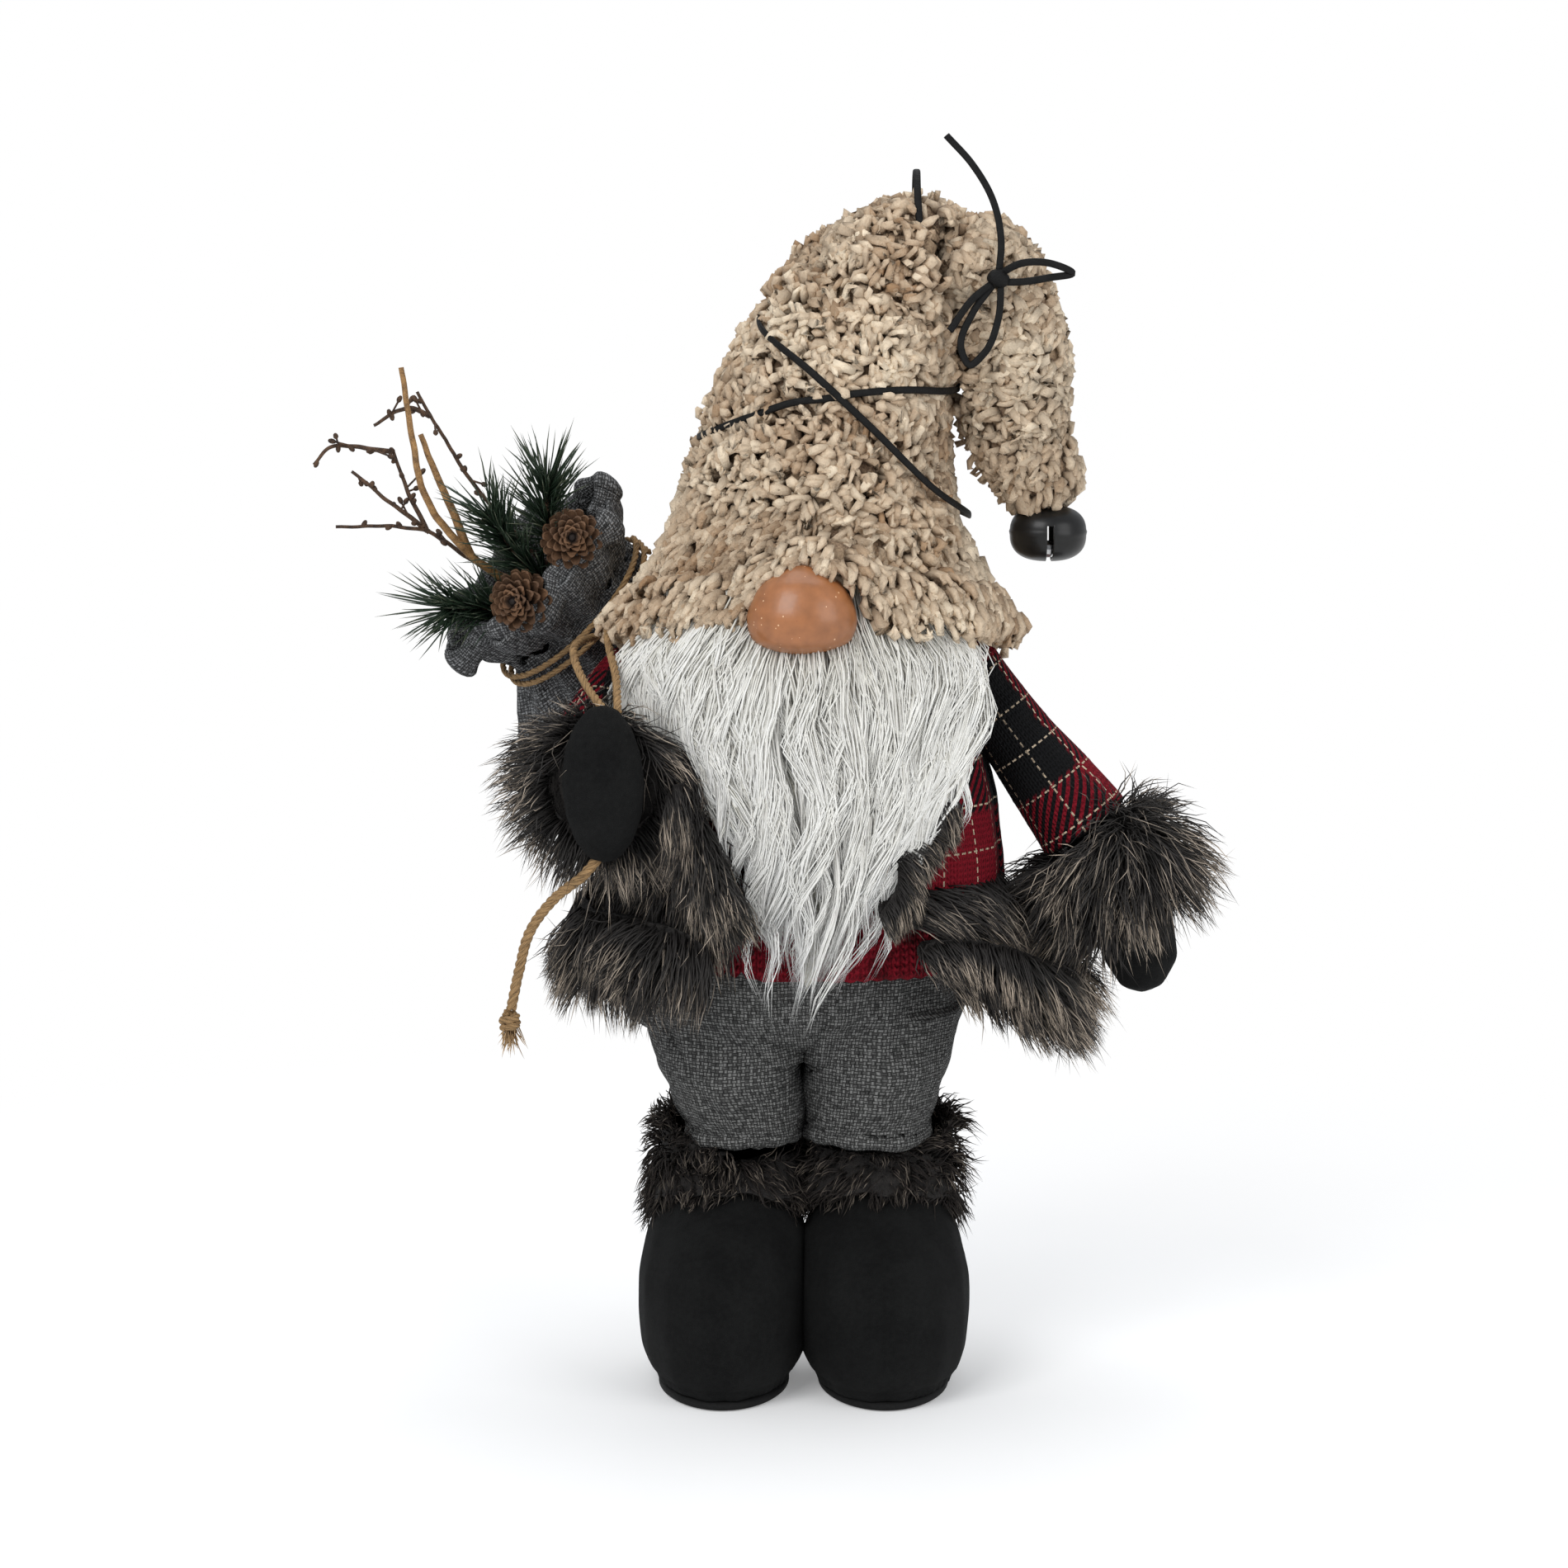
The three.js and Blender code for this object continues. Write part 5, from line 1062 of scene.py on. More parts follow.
# The line down the middle of each sleeve from the shoulder, and the creases across its inner bend.
SLEEVES = {
    "left": (local((60, 0, 261), (103, -5, 204)),
             [local((52, -14, 244), (62, -17, 248), (72, -10, 256)),
              local((62, -16, 232), (72, -19, 238), (84, -12, 245)),
              local((76, -18, 214), (86, -21, 222), (98, -14, 228))]),
    "right": (local((-58, 0, 263), (-75, -30, 232)), [local((-84, -18, 236), (-76, -24, 244), (-66, -24, 250))]),
}


def make_sleeve(side):
    """A stuffed plaid sleeve: the solid's form, plumped, with creases across its inner bend."""
    node = f"{side}_sleeve"
    finish = "plaid" if side == "right" else "dark plaid"
    sleeve = soft_copy(f"{side}_plaid_sleeve", [node], 0.0017, finish, smoothing=6)
    plumped(sleeve, 0.001)
    points = points_of(sleeve)
    line, across = SLEEVES[side]
    pushed(sleeve, 0.0006 * waves(points, 21, 80.0) - 0.0013 * creases(points, across, 0.0035))
    wrap_uv(sleeve, *line, 0.016, seam=(0, 1, 0.2), shift=(0.026, -0.007))
    dressed(sleeve, ARM_BODY[side], "plaid", node, fill=0.8)


def make_mitten(side):
    """A felt mitten: the solid's form, plumped, with a seam round its edge. The right one is slimmer."""
    node = f"{side}_mitten"
    mitten = soft_copy(f"{side}_felt_mitten", [node], 0.0014, "felt", smoothing=6)
    plumped(mitten, 0.0008)
    points = points_of(mitten)
    centre = middle(node)
    pushed(mitten, 0.0005 * waves(points, 31, 110.0) - 0.0006 * hump(points[:, 1] - centre[1], 0.0009))
    if side == "right":
        move_points(mitten, centre + (points_of(mitten) - centre) * [0.9, 1, 1])
    dressed(mitten, ARM_BODY[side], "felt", node, fill=0.8)


# Fur

# How a pile of fur lies: how far its strands lean to their clump, how far a clump reaches in metres, how much a
# strand waves, and how much the combing turns from place to place.
CLUMP = 0.85
CLUMP_REACH = 0.014
STRAND_WAVE = 0.19
TOUSLE = 0.8
STRANDS_PER_CLUMP = 40


def strand_curves(roots, ways, length, bend, steps, seed):
    """The curves of a pile of fur: each leaves its root along a way and sags towards a bend as it goes.

    Point = root + way * s + bend * s squared + sideways wave, where s runs from 0 to the strand's length.
    Ways turn slowly from place to place, and strands lean to the nearest clump, more so towards their tips.
    """
    rng = np.random.default_rng(seed)
    count = len(roots)
    s = np.linspace(0, 1, steps)[None, :, None]
    long = (length * rng.uniform(0.6, 1.1, count))[:, None, None]
    ways = ways + TOUSLE * np.stack([waves(roots, seed + k, 130.0, 2) for k in (1, 2, 3)], axis=1)
    ways = unit(ways + rng.normal(scale=0.14, size=(count, 3)))
    curves = roots[:, None] + (ways[:, None] * s + bend * s**2) * long
    wave_way = unit(np.cross(ways, rng.normal(size=(count, 3))))
    phase = rng.uniform(0, FULL_TURN, count)[:, None, None]
    curves = curves + wave_way[:, None] * np.sin(s * 4.5 + phase) * s * long * STRAND_WAVE
    leaders = roots[rng.choice(count, max(1, count // STRANDS_PER_CLUMP), replace=False)]
    which = np.empty(count, int)
    for part in np.array_split(np.arange(count), max(1, count // 500)):
        which[part] = np.linalg.norm(roots[part][:, None] - leaders[None], axis=2).argmin(axis=1)
    sums = np.zeros((len(leaders), steps, 3))
    np.add.at(sums, which, curves)
    sizes = np.bincount(which, minlength=len(leaders))[:, None, None]
    towards = (sums / np.maximum(sizes, 1))[which] - curves
    tightness = CLUMP * s**1.4 * rng.uniform(0.5, 1.1, count)[:, None, None]
    gap = np.linalg.norm(towards, axis=2, keepdims=True)
    return curves + towards * tightness * held(1.6 - gap / CLUMP_REACH), which, rng


def strand_radii(count, steps, width, rng):
    """Half widths along a strand: full at its root, swelling a little, then narrowing to its tip."""
    s = np.linspace(0, 1, steps)[None]
    return 0.5 * width * (1 - 0.8 * s**1.6) * rng.uniform(0.7, 1.2, count)[:, None]


def fur_on(name, node, comb, length, count, seed, body=FIGURE, inset=0.006, back=0.0, inner=1.0, ceiling=1.0,
           fan=0.5, **pile_settings):
    """Fur on a roll: a dark backing inside the solid, and combed strands that end just outside the solid."""
    backing = soft_copy(name + "_backing", [node], 0.0022, "fur backing", smoothing=6)
    pushed(backing, -inset)
    points = points_of(backing)
    points[:, 2] = np.minimum(points[:, 2], ceiling + 0.3 * (points[:, 2] - ceiling))
    points[:, 1] += back * held((points[:, 2] - 0.183) / 0.03)
    near = LEG_OFFSET - np.abs(points[:, 0] - FIGURE_X)
    points[:, 0] -= np.sign(points[:, 0] - FIGURE_X) * (inner - 1) * np.maximum(near, 0)
    move_points(backing, points)
    dressed(backing, body, "fur", node)
    pile = fur_pile(name + "_pile", backing, node, comb, length, count, seed, ceiling=ceiling, fan=fan, **pile_settings)
    dressed(pile, body, "fur", node)


# How far strands may pass the solids' own box, across, deep and up, in metres.
BEYOND_BOX = np.array([0.018, 0.0135, 0.012])


def fur_pile(name, base, node, comb, length, count, seed, finish="fur", blockers=(), lift=0.6, ceiling=1.0,
             fringe=0.006, fan=0.0):
    """Strands rooted on a base, each shortened to end within a fringe's width outside the node's solid."""
    steps = 5
    places, normals = scattered(base, int(count * 1.7), seed)
    free = open_sky(places, normals, blockers, 0.007) & (places[:, 2] < ceiling)
    places, normals = places[free][:count], normals[free][:count]
    ways = unit(normals * lift + comb(places) + fan * unit(places - middle(node)))
    curves, which, rng = strand_curves(places, ways, length, -0.3 * UP, steps, seed)
    edge = fringe * rng.uniform(0.2, 1.5, len(places))[:, None]
    inside = (outside_by(tree_of(node), curves) < edge).cumprod(axis=1)
    share = np.clip(inside.sum(axis=1) / (steps - 1), 0.35, 1)
    curves = places[:, None] + (curves - places[:, None]) * share[:, None, None]
    tone = rng.random(which.max() + 1)[which] * 0.4 + rng.random(len(places)) * 0.6
    low, high = np.array(cad_box)
    curves = np.clip(curves, low - BEYOND_BOX, high + BEYOND_BOX)
    radii = strand_radii(len(places), steps, sizes_now().strand_width, rng)
    return strands_piece(name, curves, radii, finish, held((tone - 0.46) * 2.8))


def outside_by(tree, curves):
    """How far each point is outside a solid, negative inside it: its offset from the nearest face, along its normal."""
    gaps = np.empty(curves.shape[:2])
    for place in np.ndindex(gaps.shape):
        near, normal, _, gap = tree.find_nearest(tuple(curves[place]))
        gaps[place] = np.copysign(gap, (curves[place] - near) @ np.array(normal))
    return gaps


def away_from(centre, down=0.3, along=None, amount=0.0, parting=None):
    """A comb that draws strands away from an upright line through a centre, down, and along a direction.

    With a parting, the strands that are further back than it along the direction lie the other way.
    """

    def comb(places):
        ways = unit((places - centre) * [1, 1, 0]) * 0.7 - UP * down
        if along is not None:
            line = unit(np.array(along))
            turned = 1 if parting is None else np.clip(((places - centre) @ line + parting) / 0.008, -1, 1)[:, None]
            ways = ways + line * amount * turned
        return ways

    return comb


def standing(node):
    """A comb for the fur round an ankle: outwards, upwards near the solid's top and downwards near its foot."""
    low, high = corners(node)

    def comb(places):
        share = (places[:, 2:] - low[2]) / (high[2] - low[2])
        return unit((places - middle(node)) * [1, 1, 0]) * 0.6 + UP * (1.9 * share - 1.0)

    return comb


def make_trim():
    """All the fur trim: on the ankles, the coat's front edges and hem, and the sleeves' ends."""
    sizes = sizes_now()
    count, long = sizes.fur_strands, sizes.fur_length
    for seed, (side, top) in enumerate((("right", 0.098), ("left", 0.1045))):
        node = f"{side}_boot_cuff"
        fur_on(node + "_fur", node, standing(node), sizes.cuff_fur_length, int(count * 0.85), 201 + seed,
               finish="cuff fur", inset=0.0045, lift=0.8, ceiling=top, fringe=0.0055, fan=0.0, inner=1.2)
    neck = FOOT + UP * 0.2
    fur_on("right_front_trim", "right_front_fur", away_from(neck, 1.3, (0.35, -0.1, -0.3), 0.5), long * 0.85,
           int(count * 0.75), 211, lift=0.5, fringe=0.004)
    fur_on("left_front_trim", "left_front_fur", away_from(neck, 1.5), long * 0.7, int(count * 0.75), 212,
           inset=0.0075, fringe=0.003, back=0.011, fan=0.8)
    fur_on("right_hem_trim", "right_hem_fur", away_from(neck, 1.5, (-0.1, -0.1, -0.4), 0.5), long, count,
           213, inset=0.009, fringe=0.007)
    fur_on("left_hem_trim", "left_hem_fur", away_from(neck, 0.9, (0.8, -0.1, -0.3), 0.6), long, int(count * 1.1),
           214, inset=0.009, fringe=0.01, fan=0.9)
    for seed, (side, top, comb) in enumerate((("right", 0.214, away_from(neck, 1.2)),
                                              ("left", 0.189, away_from(neck, 0.5, (0.8, -0.2, -0.4), 0.8)))):
        coat = bpy.data.objects[f"coat_{side}_front_knit"]
        pile = fur_pile(f"{side}_side_pile", coat, f"coat_{side}_front", comb, long * 0.85, int(count * 0.7),
                        217 + seed, ceiling=top, fringe=0.012)
        dressed(pile, FIGURE, "fur")
    for side, comb, share, seed, settings in (
        ("left", ((0.5, -0.07, -0.9), 0.9, 0.014), 1, 215, {"blockers": ["left_mitten"], "fringe": 0.012, "fan": 0.3}),
        ("right", ((-0.4, -0.4, -0.4), 0.4), 0.9, 216,
         {"blockers": ["right_sleeve", "right_mitten", "beard"], "fringe": 0.01}),
    ):
        node = f"{side}_cuff"
        fur_on(node + "_trim", node, away_from(middle(node), 0.2, *comb), long * share, int(count * 0.8), seed,
               ARM_BODY[side], lift=0.8, **settings)


# Beard and nose

# Rows down the beard in millimetres: height, middle, how far back, half width, half thickness.
BEARD_ROWS = [
    (288.3, 0, 10, 48, 5.6),
    (270.5, 0, 5, 60, 7),
    (249.8, 2, 1, 57, 7),
    (227.6, 7.5, 0, 42.5, 7),
    (199.5, 7, 2, 28, 6.6),
    (169.9, 3, 4, 17.5, 5.6),
    (134.3, -1, 7, 3.5, 3.2),
]
# How far forward the beard's front lies in metres, and how strongly it curves back across: its factor of x squared.
BEARD_FRONT = -0.061
BEARD_BOW = 5.2
# Where the locks of the beard end, in millimetres: across and up.
LOCK_ENDS = [
    (-60, 252), (-52, 240), (-45, 230), (-38, 221), (-33, 210), (-28, 202), (-23, 191), (-18, 179), (-12, 167),
    (-8, 154), (-1, 135), (2, 153), (8, 148), (14, 161), (19, 167), (25, 177), (31, 188), (36, 197), (42, 208),
    (48, 219), (54, 232), (60, 249),
]


def beard_row(height):
    """The beard at a height: its middle, how far back, half width and half thickness, drawn smoothly by height."""
    rows = np.array(BEARD_ROWS)[::-1] / 1000
    return np.moveaxis(between(rows, rows[:, 0], height)[..., 1:], -1, 0)


def beard_point(x, height, out):
    """A point on the beard's front: y = front + back + bow * x squared - thickness * out * arch of x."""
    centre, back, half, thick = beard_row(height)
    across = (x - centre) / np.maximum(half, 0.012)
    arch = np.sqrt(np.maximum(0.12, 1 - np.clip(across, -1, 1) ** 2))
    y = BEARD_FRONT + back + BEARD_BOW * (x - centre) ** 2 - thick * out * arch
    return np.stack([FIGURE_X + x, y, height], axis=-1)


# The layers of the beard: how far out each lies in half thicknesses, and its share of the strands.
BEARD_LAYERS = {"beard_under_fur": (0.3, 0.6), "beard_middle_fur": (0.8, 0.85), "beard_top_fur": (1.3, 1.0)}
# The height in metres at which the beard starts, under the brim, and the number of locks in a layer.
BEARD_TOP = 0.299
LOCKS = 120


def beard_backing():
    """The cloth that the beard's strands are sewn to: the solid's form, thinner and narrower at its lower end."""
    # Its finish is a darker cream than the strands: painted shade between the locks.
    backing = soft_copy("beard_backing", ["beard"], 0.0024, "beard backing", smoothing=8)
    pushed(backing, -0.0022)
    points = points_of(backing)
    thinner = 0.6 * held((0.2 - points[:, 2]) / 0.03)
    points[:, 0] -= thinner * (points[:, 0] - FIGURE_X - 0.003)
    points[:, 2] = np.maximum(points[:, 2], 0.158 + 0.3 * (points[:, 2] - 0.158))
    move_points(backing, points)
    dressed(backing, FIGURE, "beard", "beard", "beard_pad")


def beard_layer(name, seed, out, share):
    """One layer of the beard: strands in narrow locks that start under the brim and draw together to pointed ends.

    A lock's place across goes from its start's to its end's as it falls, plus a wave of the height, both
    across and outwards. Its strands spread about it by less and less towards its end.
    """
    rng = np.random.default_rng(seed)
    count, steps = int(sizes_now().beard_strands * share), 8
    ends = np.array(LOCK_ENDS) / 1000
    start = np.linspace(-1, 1, LOCKS) + rng.normal(scale=0.02, size=LOCKS)
    wide = start[:, None] * 0.058 - ends[None, :, 0] * rng.uniform(0.95, 1.5, LOCKS)[:, None]
    end = ends[np.abs(wide + rng.normal(scale=0.003, size=wide.shape)).argmin(axis=1)]
    end = end + np.stack([rng.normal(scale=0.0035, size=LOCKS), rng.gamma(1.2, 0.013, LOCKS)], axis=1)
    centre, _, half, _ = beard_row(end[:, 1])
    end_share = (end[:, 0] - centre) / np.maximum(half, 0.003)
    swing = rng.uniform(0.0015, 0.0055, LOCKS)
    pace = FULL_TURN / rng.uniform(0.036, 0.07, LOCKS)
    phase = rng.uniform(0, FULL_TURN, LOCKS)
    depth = rng.uniform(-0.55, 0.55, LOCKS)
    tone = rng.random(LOCKS)
    lock = rng.integers(LOCKS, size=count)
    fall, start, end_share, swing, pace, phase, depth = (
        numbers[lock][:, None] for numbers in (end[:, 1], start, end_share, swing, pace, phase, depth)
    )
    top = np.maximum(BEARD_TOP - 0.09 * rng.beta(0.9, 1.5, count)[:, None], fall + 0.02)
    finish = top + (fall - top) * (0.5 + 0.5 * rng.beta(2.3, 1.0, (count, 1)))
    s = np.linspace(0, 1, steps)[None]
    height = top + (finish - top) * s
    drawn = held((BEARD_TOP - height) / (BEARD_TOP - fall)) ** 1.3
    centre, _, half, _ = beard_row(height)
    place = start * (1 - drawn) + end_share * drawn
    loose = 1 - 0.8 * np.sqrt(drawn)
    wave = height * pace + phase + rng.normal(scale=0.25, size=(count, 1))
    rising = np.clip(s * 2.5, 0.2, 1)
    x = centre + half * place + rng.normal(scale=0.0023, size=(count, 1)) * loose + swing * np.sin(wave) * rising
    lift = out + depth + 0.2 * rng.normal(size=(count, 1)) * loose
    lift = lift + (0.5 * np.sin(np.pi * held(s * 1.1)) + 0.3 * np.cos(wave) * rising)
    curves = beard_point(x, height, lift - 0.5 * s**3)
    radii = strand_radii(count, steps, 0.0008, rng)
    shade = held(0.2 + 0.8 * tone[lock] + rng.normal(scale=0.2, size=count))
    dressed(strands_piece(name, curves, radii, "beard", shade), FIGURE, "beard", "beard")


def make_beard():
    """The long white beard: its backing, and three layers of strands from the cloth out."""
    beard_backing()
    for number, (name, (out, share)) in enumerate(BEARD_LAYERS.items()):
        beard_layer(name, 100 + number, out, share)


# The nose: heights from its middle, and width at each, as shares of its half height and half width.
NOSE_ROWS = [(-1, 0.44), (-0.84, 0.74), (-0.5, 0.95), (-0.15, 1), (0.2, 0.92), (0.55, 0.75), (0.83, 0.54), (1, 0.44)]


def make_nose():
    """A glazed clay nose: a rounded form that is wide at its middle and drawn up to a blunt point."""
    low, high = corners("nose")
    x, y, z = (high - low) / 2
    stations = [(*(middle("nose") + UP * z * rise), x * wide, y * wide) for rise, wide in NOSE_ROWS]
    dressed(lofted("clay_nose", oval_form(stations, 46, 64, level=True), "nose"), FIGURE, "nose", "nose")


# Hat

# The crown of the hat: the height of its brim, how far up its lean runs, and how far it leans by there, in metres.
BRIM_HEIGHT = 0.2763
CROWN_RISE = 0.157
CROWN_LEAN = 0.034


def axis_of(places):
    """The middle of the crown at each place's height: it leans to its left, ever more towards the top."""
    share = np.maximum(0, (places[:, 2] - BRIM_HEIGHT) / CROWN_RISE)
    x = FIGURE_X + 0.004 + CROWN_LEAN * share**2.4
    return np.stack([x, np.zeros(len(places)), places[:, 2]], axis=1)


def on_crown(tree, height, turn, out):
    """A point a distance out from the crown: a ray from its middle at that height, at a turn from +X."""
    centre = axis_of(np.array([[0, 0, height]]))[0]
    way = np.array([np.cos(np.radians(turn)), np.sin(np.radians(turn)), 0])
    hit, normal, _, _ = tree.ray_cast(tuple(centre + way * 0.12), tuple(-way))
    return np.array(hit) + unit(np.array(normal) + way) * out


# The lace round the crown: its turn in degrees, its height in millimetres, and how far it rides over itself.
LACE_WINDING = [
    (-178, 391, 0.3), (-145, 384, 0.6), (-105, 370, 1), (-72, 351, 0.5), (-43, 331, 0), (-10, 319, 0),
    (30, 319.3, 0), (75, 327.3, 0), (120, 337.3, 0), (160, 344.3, 0), (195, 347.3, 0), (230, 355.3, 0),
    (250, 360.3, 0), (262, 361.3, 0), (278, 363.3, 0), (300, 364.3, 0), (335, 363.3, 0), (375, 365.3, 0),
    (420, 373.3, 0), (465, 383.3, 0), (505, 390.3, 0), (535, 393.3, 0),
]


# The fold where the tip leaves the crown, down its front, in millimetres.
FOLD_LINE = [(41, 0, 432), (45.5, 0, 412), (49, 0, 396), (51, 0, 384)]


def off_fold(points):
    """Distance from the line of the fold as seen from the front, and more than that on the back half."""
    line = smooth(local(*FOLD_LINE), 60) * [1, 0, 1]
    return nearest(points * [1, 0, 1], line) + np.maximum(points[:, 1], 0)


def curls_on(name, base, seed, body, node, keep, grooves=None):
    """Boucle curls over a cloth: short fat hooks of yarn, bent over at random, pressed down along a groove.

    A curl stands at each random place that the keep test takes. Point = place + normal * sine of the turn +
    lean * (1 - cosine of the turn), both times the curl's length.
    """
    sizes = sizes_now()
    rng = np.random.default_rng(seed)
    area = sum(p.area for p in base.data.polygons)
    places, normals = scattered(base, int(area / sizes.tuft_spacing**2 * 1.5), seed)
    chosen = keep(places, normals)
    places, normals = places[chosen], normals[chosen]
    count, steps = len(places), 5
    side = unit(np.cross(normals, rng.normal(size=(count, 3))))
    combed = np.clip((0.38 - places[:, 2]) / 0.09, 0.15, 0.85)[:, None]
    downward = unit(-UP + normals * normals[:, 2:] + 1e-6)
    alike = unit(np.stack([waves(places, wave, 55.0) for wave in (41, 42, 43)], axis=1) + 1e-6)
    lean = unit(side * (1 - 0.7 * combed) + 0.5 * alike + downward * combed * 1.3)
    long = sizes.tuft_length * rng.uniform(0.65, 1.4, count)
    pressed = hump(nearest(places, grooves), 0.0055) if grooves is not None else np.zeros(count)
    rise = 0.8 * (1 - 0.72 * pressed)[:, None, None]
    turn = np.linspace(0, 1, steps)[None, :, None] * rng.uniform(2.4, 4.3, count)[:, None, None]
    hook = normals[:, None] * np.sin(turn) * rise * 0.62 + lean[:, None] * (1 - np.cos(turn)) * 0.6
    curves = places[:, None] + hook * long[:, None, None] * 0.62
    swell = np.sin(np.pi * held(np.linspace(0.2, 0.95, steps)))[None] ** 0.5
    radii = 0.00188 * swell * rng.uniform(0.6, 1.25, count)[:, None]
    shade = held(0.58 + 0.4 * waves(places, seed + 1, 110.0) + rng.normal(scale=0.15, size=count))
    dressed(strands_piece(name, curves, radii, "curls", shade, sides=4, uneven=rng), body, "boucle", node)


def facing_out(places, normals):
    """How far each face looks away from the middle of the crown, from -1 to 1."""
    return np.sum(unit(places - axis_of(places)) * normals, axis=1)


def beside_fold(places, _=None):
    """Which places are clear of the fold, so that no curl stands in it."""
    return off_fold(places) > 0.0036


# Folds in the crown, and dents across the tip.
CROWN_FOLDS = [local((-52, -40, 300), (-30, -56, 318), (0, -54, 322), (28, -50, 306)),
               local((-38, -36, 352), (-14, -46, 358), (10, -44, 352), (36, -34, 340)),
               local((-22, -32, 384), (2, -38, 380), (24, -32, 390), (40, -26, 404)),
               local((40, -50, 292), (54, -36, 304), (62, -20, 320)),
               local((-62, -34, 292), (-54, -40, 306), (-50, -30, 330))]
TIP_DENTS = [local((56, -22, 392), (66, -25, 386), (80, -20, 392)),
             local((60, -18, 366), (74, -23, 360), (90, -14, 366)),
             local((66, -14, 346), (80, -18, 342), (94, -10, 348))]
# The height in metres at which the crown's curls are parted into two pieces.
CURLS_PART = 0.335


def make_hat():
    """The hat: a creased cloth on the solid crown and tip, covered with curls, drawn in under its lace."""
    tree = tree_of("hat_crown")
    lace = np.array([on_crown(tree, height / 1000, turn, 0.0) for turn, height, _ in LACE_WINDING])
    grooves = smooth(lace, 320)
    # The hat cloth's dark brown, seen in the gaps between the curls, is painted shade.
    crown = soft_copy("hat_crown_cloth", ["hat_crown"], 0.002, "hat cloth", keep=0.5)
    points = points_of(crown)
    depth = 0.0042 * creases(points, CROWN_FOLDS, 0.006) + 0.002 * hump(nearest(points, grooves), 0.004)
    waist = hump(points[:, 2] - 0.325, 0.026) * np.abs(points[:, 0] - FIGURE_X - 0.006) / 0.06
    bulk = 0.0016 * waves(points, 51, 60.0) - 0.0036 - 0.0028 * waist
    depth += 0.004 * hump(off_fold(points), 0.005)
    pushed(crown, np.where(facing_out(points, normals_of(crown)) > 0, bulk - depth, 0))
    dressed(crown, FIGURE, "boucle", "hat_crown", "hat_filling")

    def outside(places, normals):
        return (facing_out(places, normals) > 0.12) | (places[:, 2] < BRIM_HEIGHT + 0.006 - 0.37 * places[:, 1])

    def upper(places, normals):
        return outside(places, normals) & (places[:, 2] > CURLS_PART) & beside_fold(places)

    def lower(places, normals):
        return outside(places, normals) & (places[:, 2] <= CURLS_PART)

    curls_on("hat_upper_curls", crown, 61, FIGURE, "hat_crown", upper, grooves)
    curls_on("hat_lower_curls", crown, 62, FIGURE, "hat_crown", lower, grooves)
    tip = soft_copy("hat_tip_cloth", ["hat_tip"], 0.002, "hat cloth")
    points = points_of(tip)
    inset = 0.0034 * np.clip((points[:, 2] - 0.336) / 0.02, -0.7, 1) + 0.003 * hump(off_fold(points), 0.008)
    pushed(tip, 0.001 * waves(points, 52, 80.0) - inset - 0.003 * creases(points, TIP_DENTS, 0.005))
    dressed(tip, HAT_TIP, "boucle", "hat_tip")
    curls_on("hat_tip_curls", tip, 63, HAT_TIP, "hat_tip", beside_fold)
    make_brim()
    make_lace(tree)


# Half the width of the brim's front, in metres.
BRIM_HALF_WIDTH = 0.0725


def make_brim():
    """The brim's front: a curtain of cloth over the top of the beard, arched where it passes over the nose.

    Its lower edge is at 286 mm, and rises to 304 mm over the nose by a bell curve of the distance from it.
    """
    turn = np.radians(np.linspace(-172, -8, 110))
    x = BRIM_HALF_WIDTH * np.cos(turn)
    edge = 0.2855 + 0.0185 * np.exp(-(((x + 0.001) / 0.0175) ** 4)) - 0.006 * (np.abs(x) / 0.072) ** 3
    edge = edge + 0.0012 * np.sin(turn * 31) + 0.001 * np.sin(turn * 13 + 1)
    top = np.maximum(edge + 0.010, 0.304 - 0.012 * (np.abs(x) / 0.072) ** 2)
    share = np.linspace(0, 1, 12)[:, None]
    out = 1.0 + 0.022 * share - 0.13 * (1 - share) * (np.abs(x) / BRIM_HALF_WIDTH) ** 4
    y = 0.0615 * np.sin(turn) * (out - 0.07 * (1 - share))
    grid = np.stack([FIGURE_X + 0.004 + x * out, y, top + (edge - top) * share], axis=-1)
    inner = grid - np.stack([np.cos(turn), np.sin(turn), 0 * turn], axis=-1) * 0.003
    ring = np.concatenate([grid, inner[::-1]], axis=0).transpose(1, 0, 2)
    brim = lofted("hat_brim_cloth", ring, "hat cloth")
    dressed(brim, FIGURE, "boucle", "hat_crown")

    def outside(places, normals):
        return (facing_out(places, normals) > 0.2) | (normals[:, 2] < -0.5)

    curls_on("hat_brim_curls", brim, 64, FIGURE, "hat_crown", outside)


def ribbon(name, route, width, facing, steps, body, *nodes):
    """A flat lace: an oval, wide across the way it faces, carried along a smooth route."""
    rows = smooth(np.concatenate([route, facing], axis=1), steps)
    along = unit(np.gradient(rows[:, :3], axis=0))
    across = unit(np.cross(along, rows[:, 3:]))
    up = unit(np.cross(across, along))
    turn = turns(10)[:, None]
    flat = np.sign(np.sin(turn)) * np.abs(np.sin(turn)) ** 0.6
    ring = np.cos(turn) * across[:, None] * width / 2 + flat * up[:, None] * width * 0.24
    dressed(lofted(name, rows[:, None, :3] + ring, "lace"), body, "lace", *nodes)


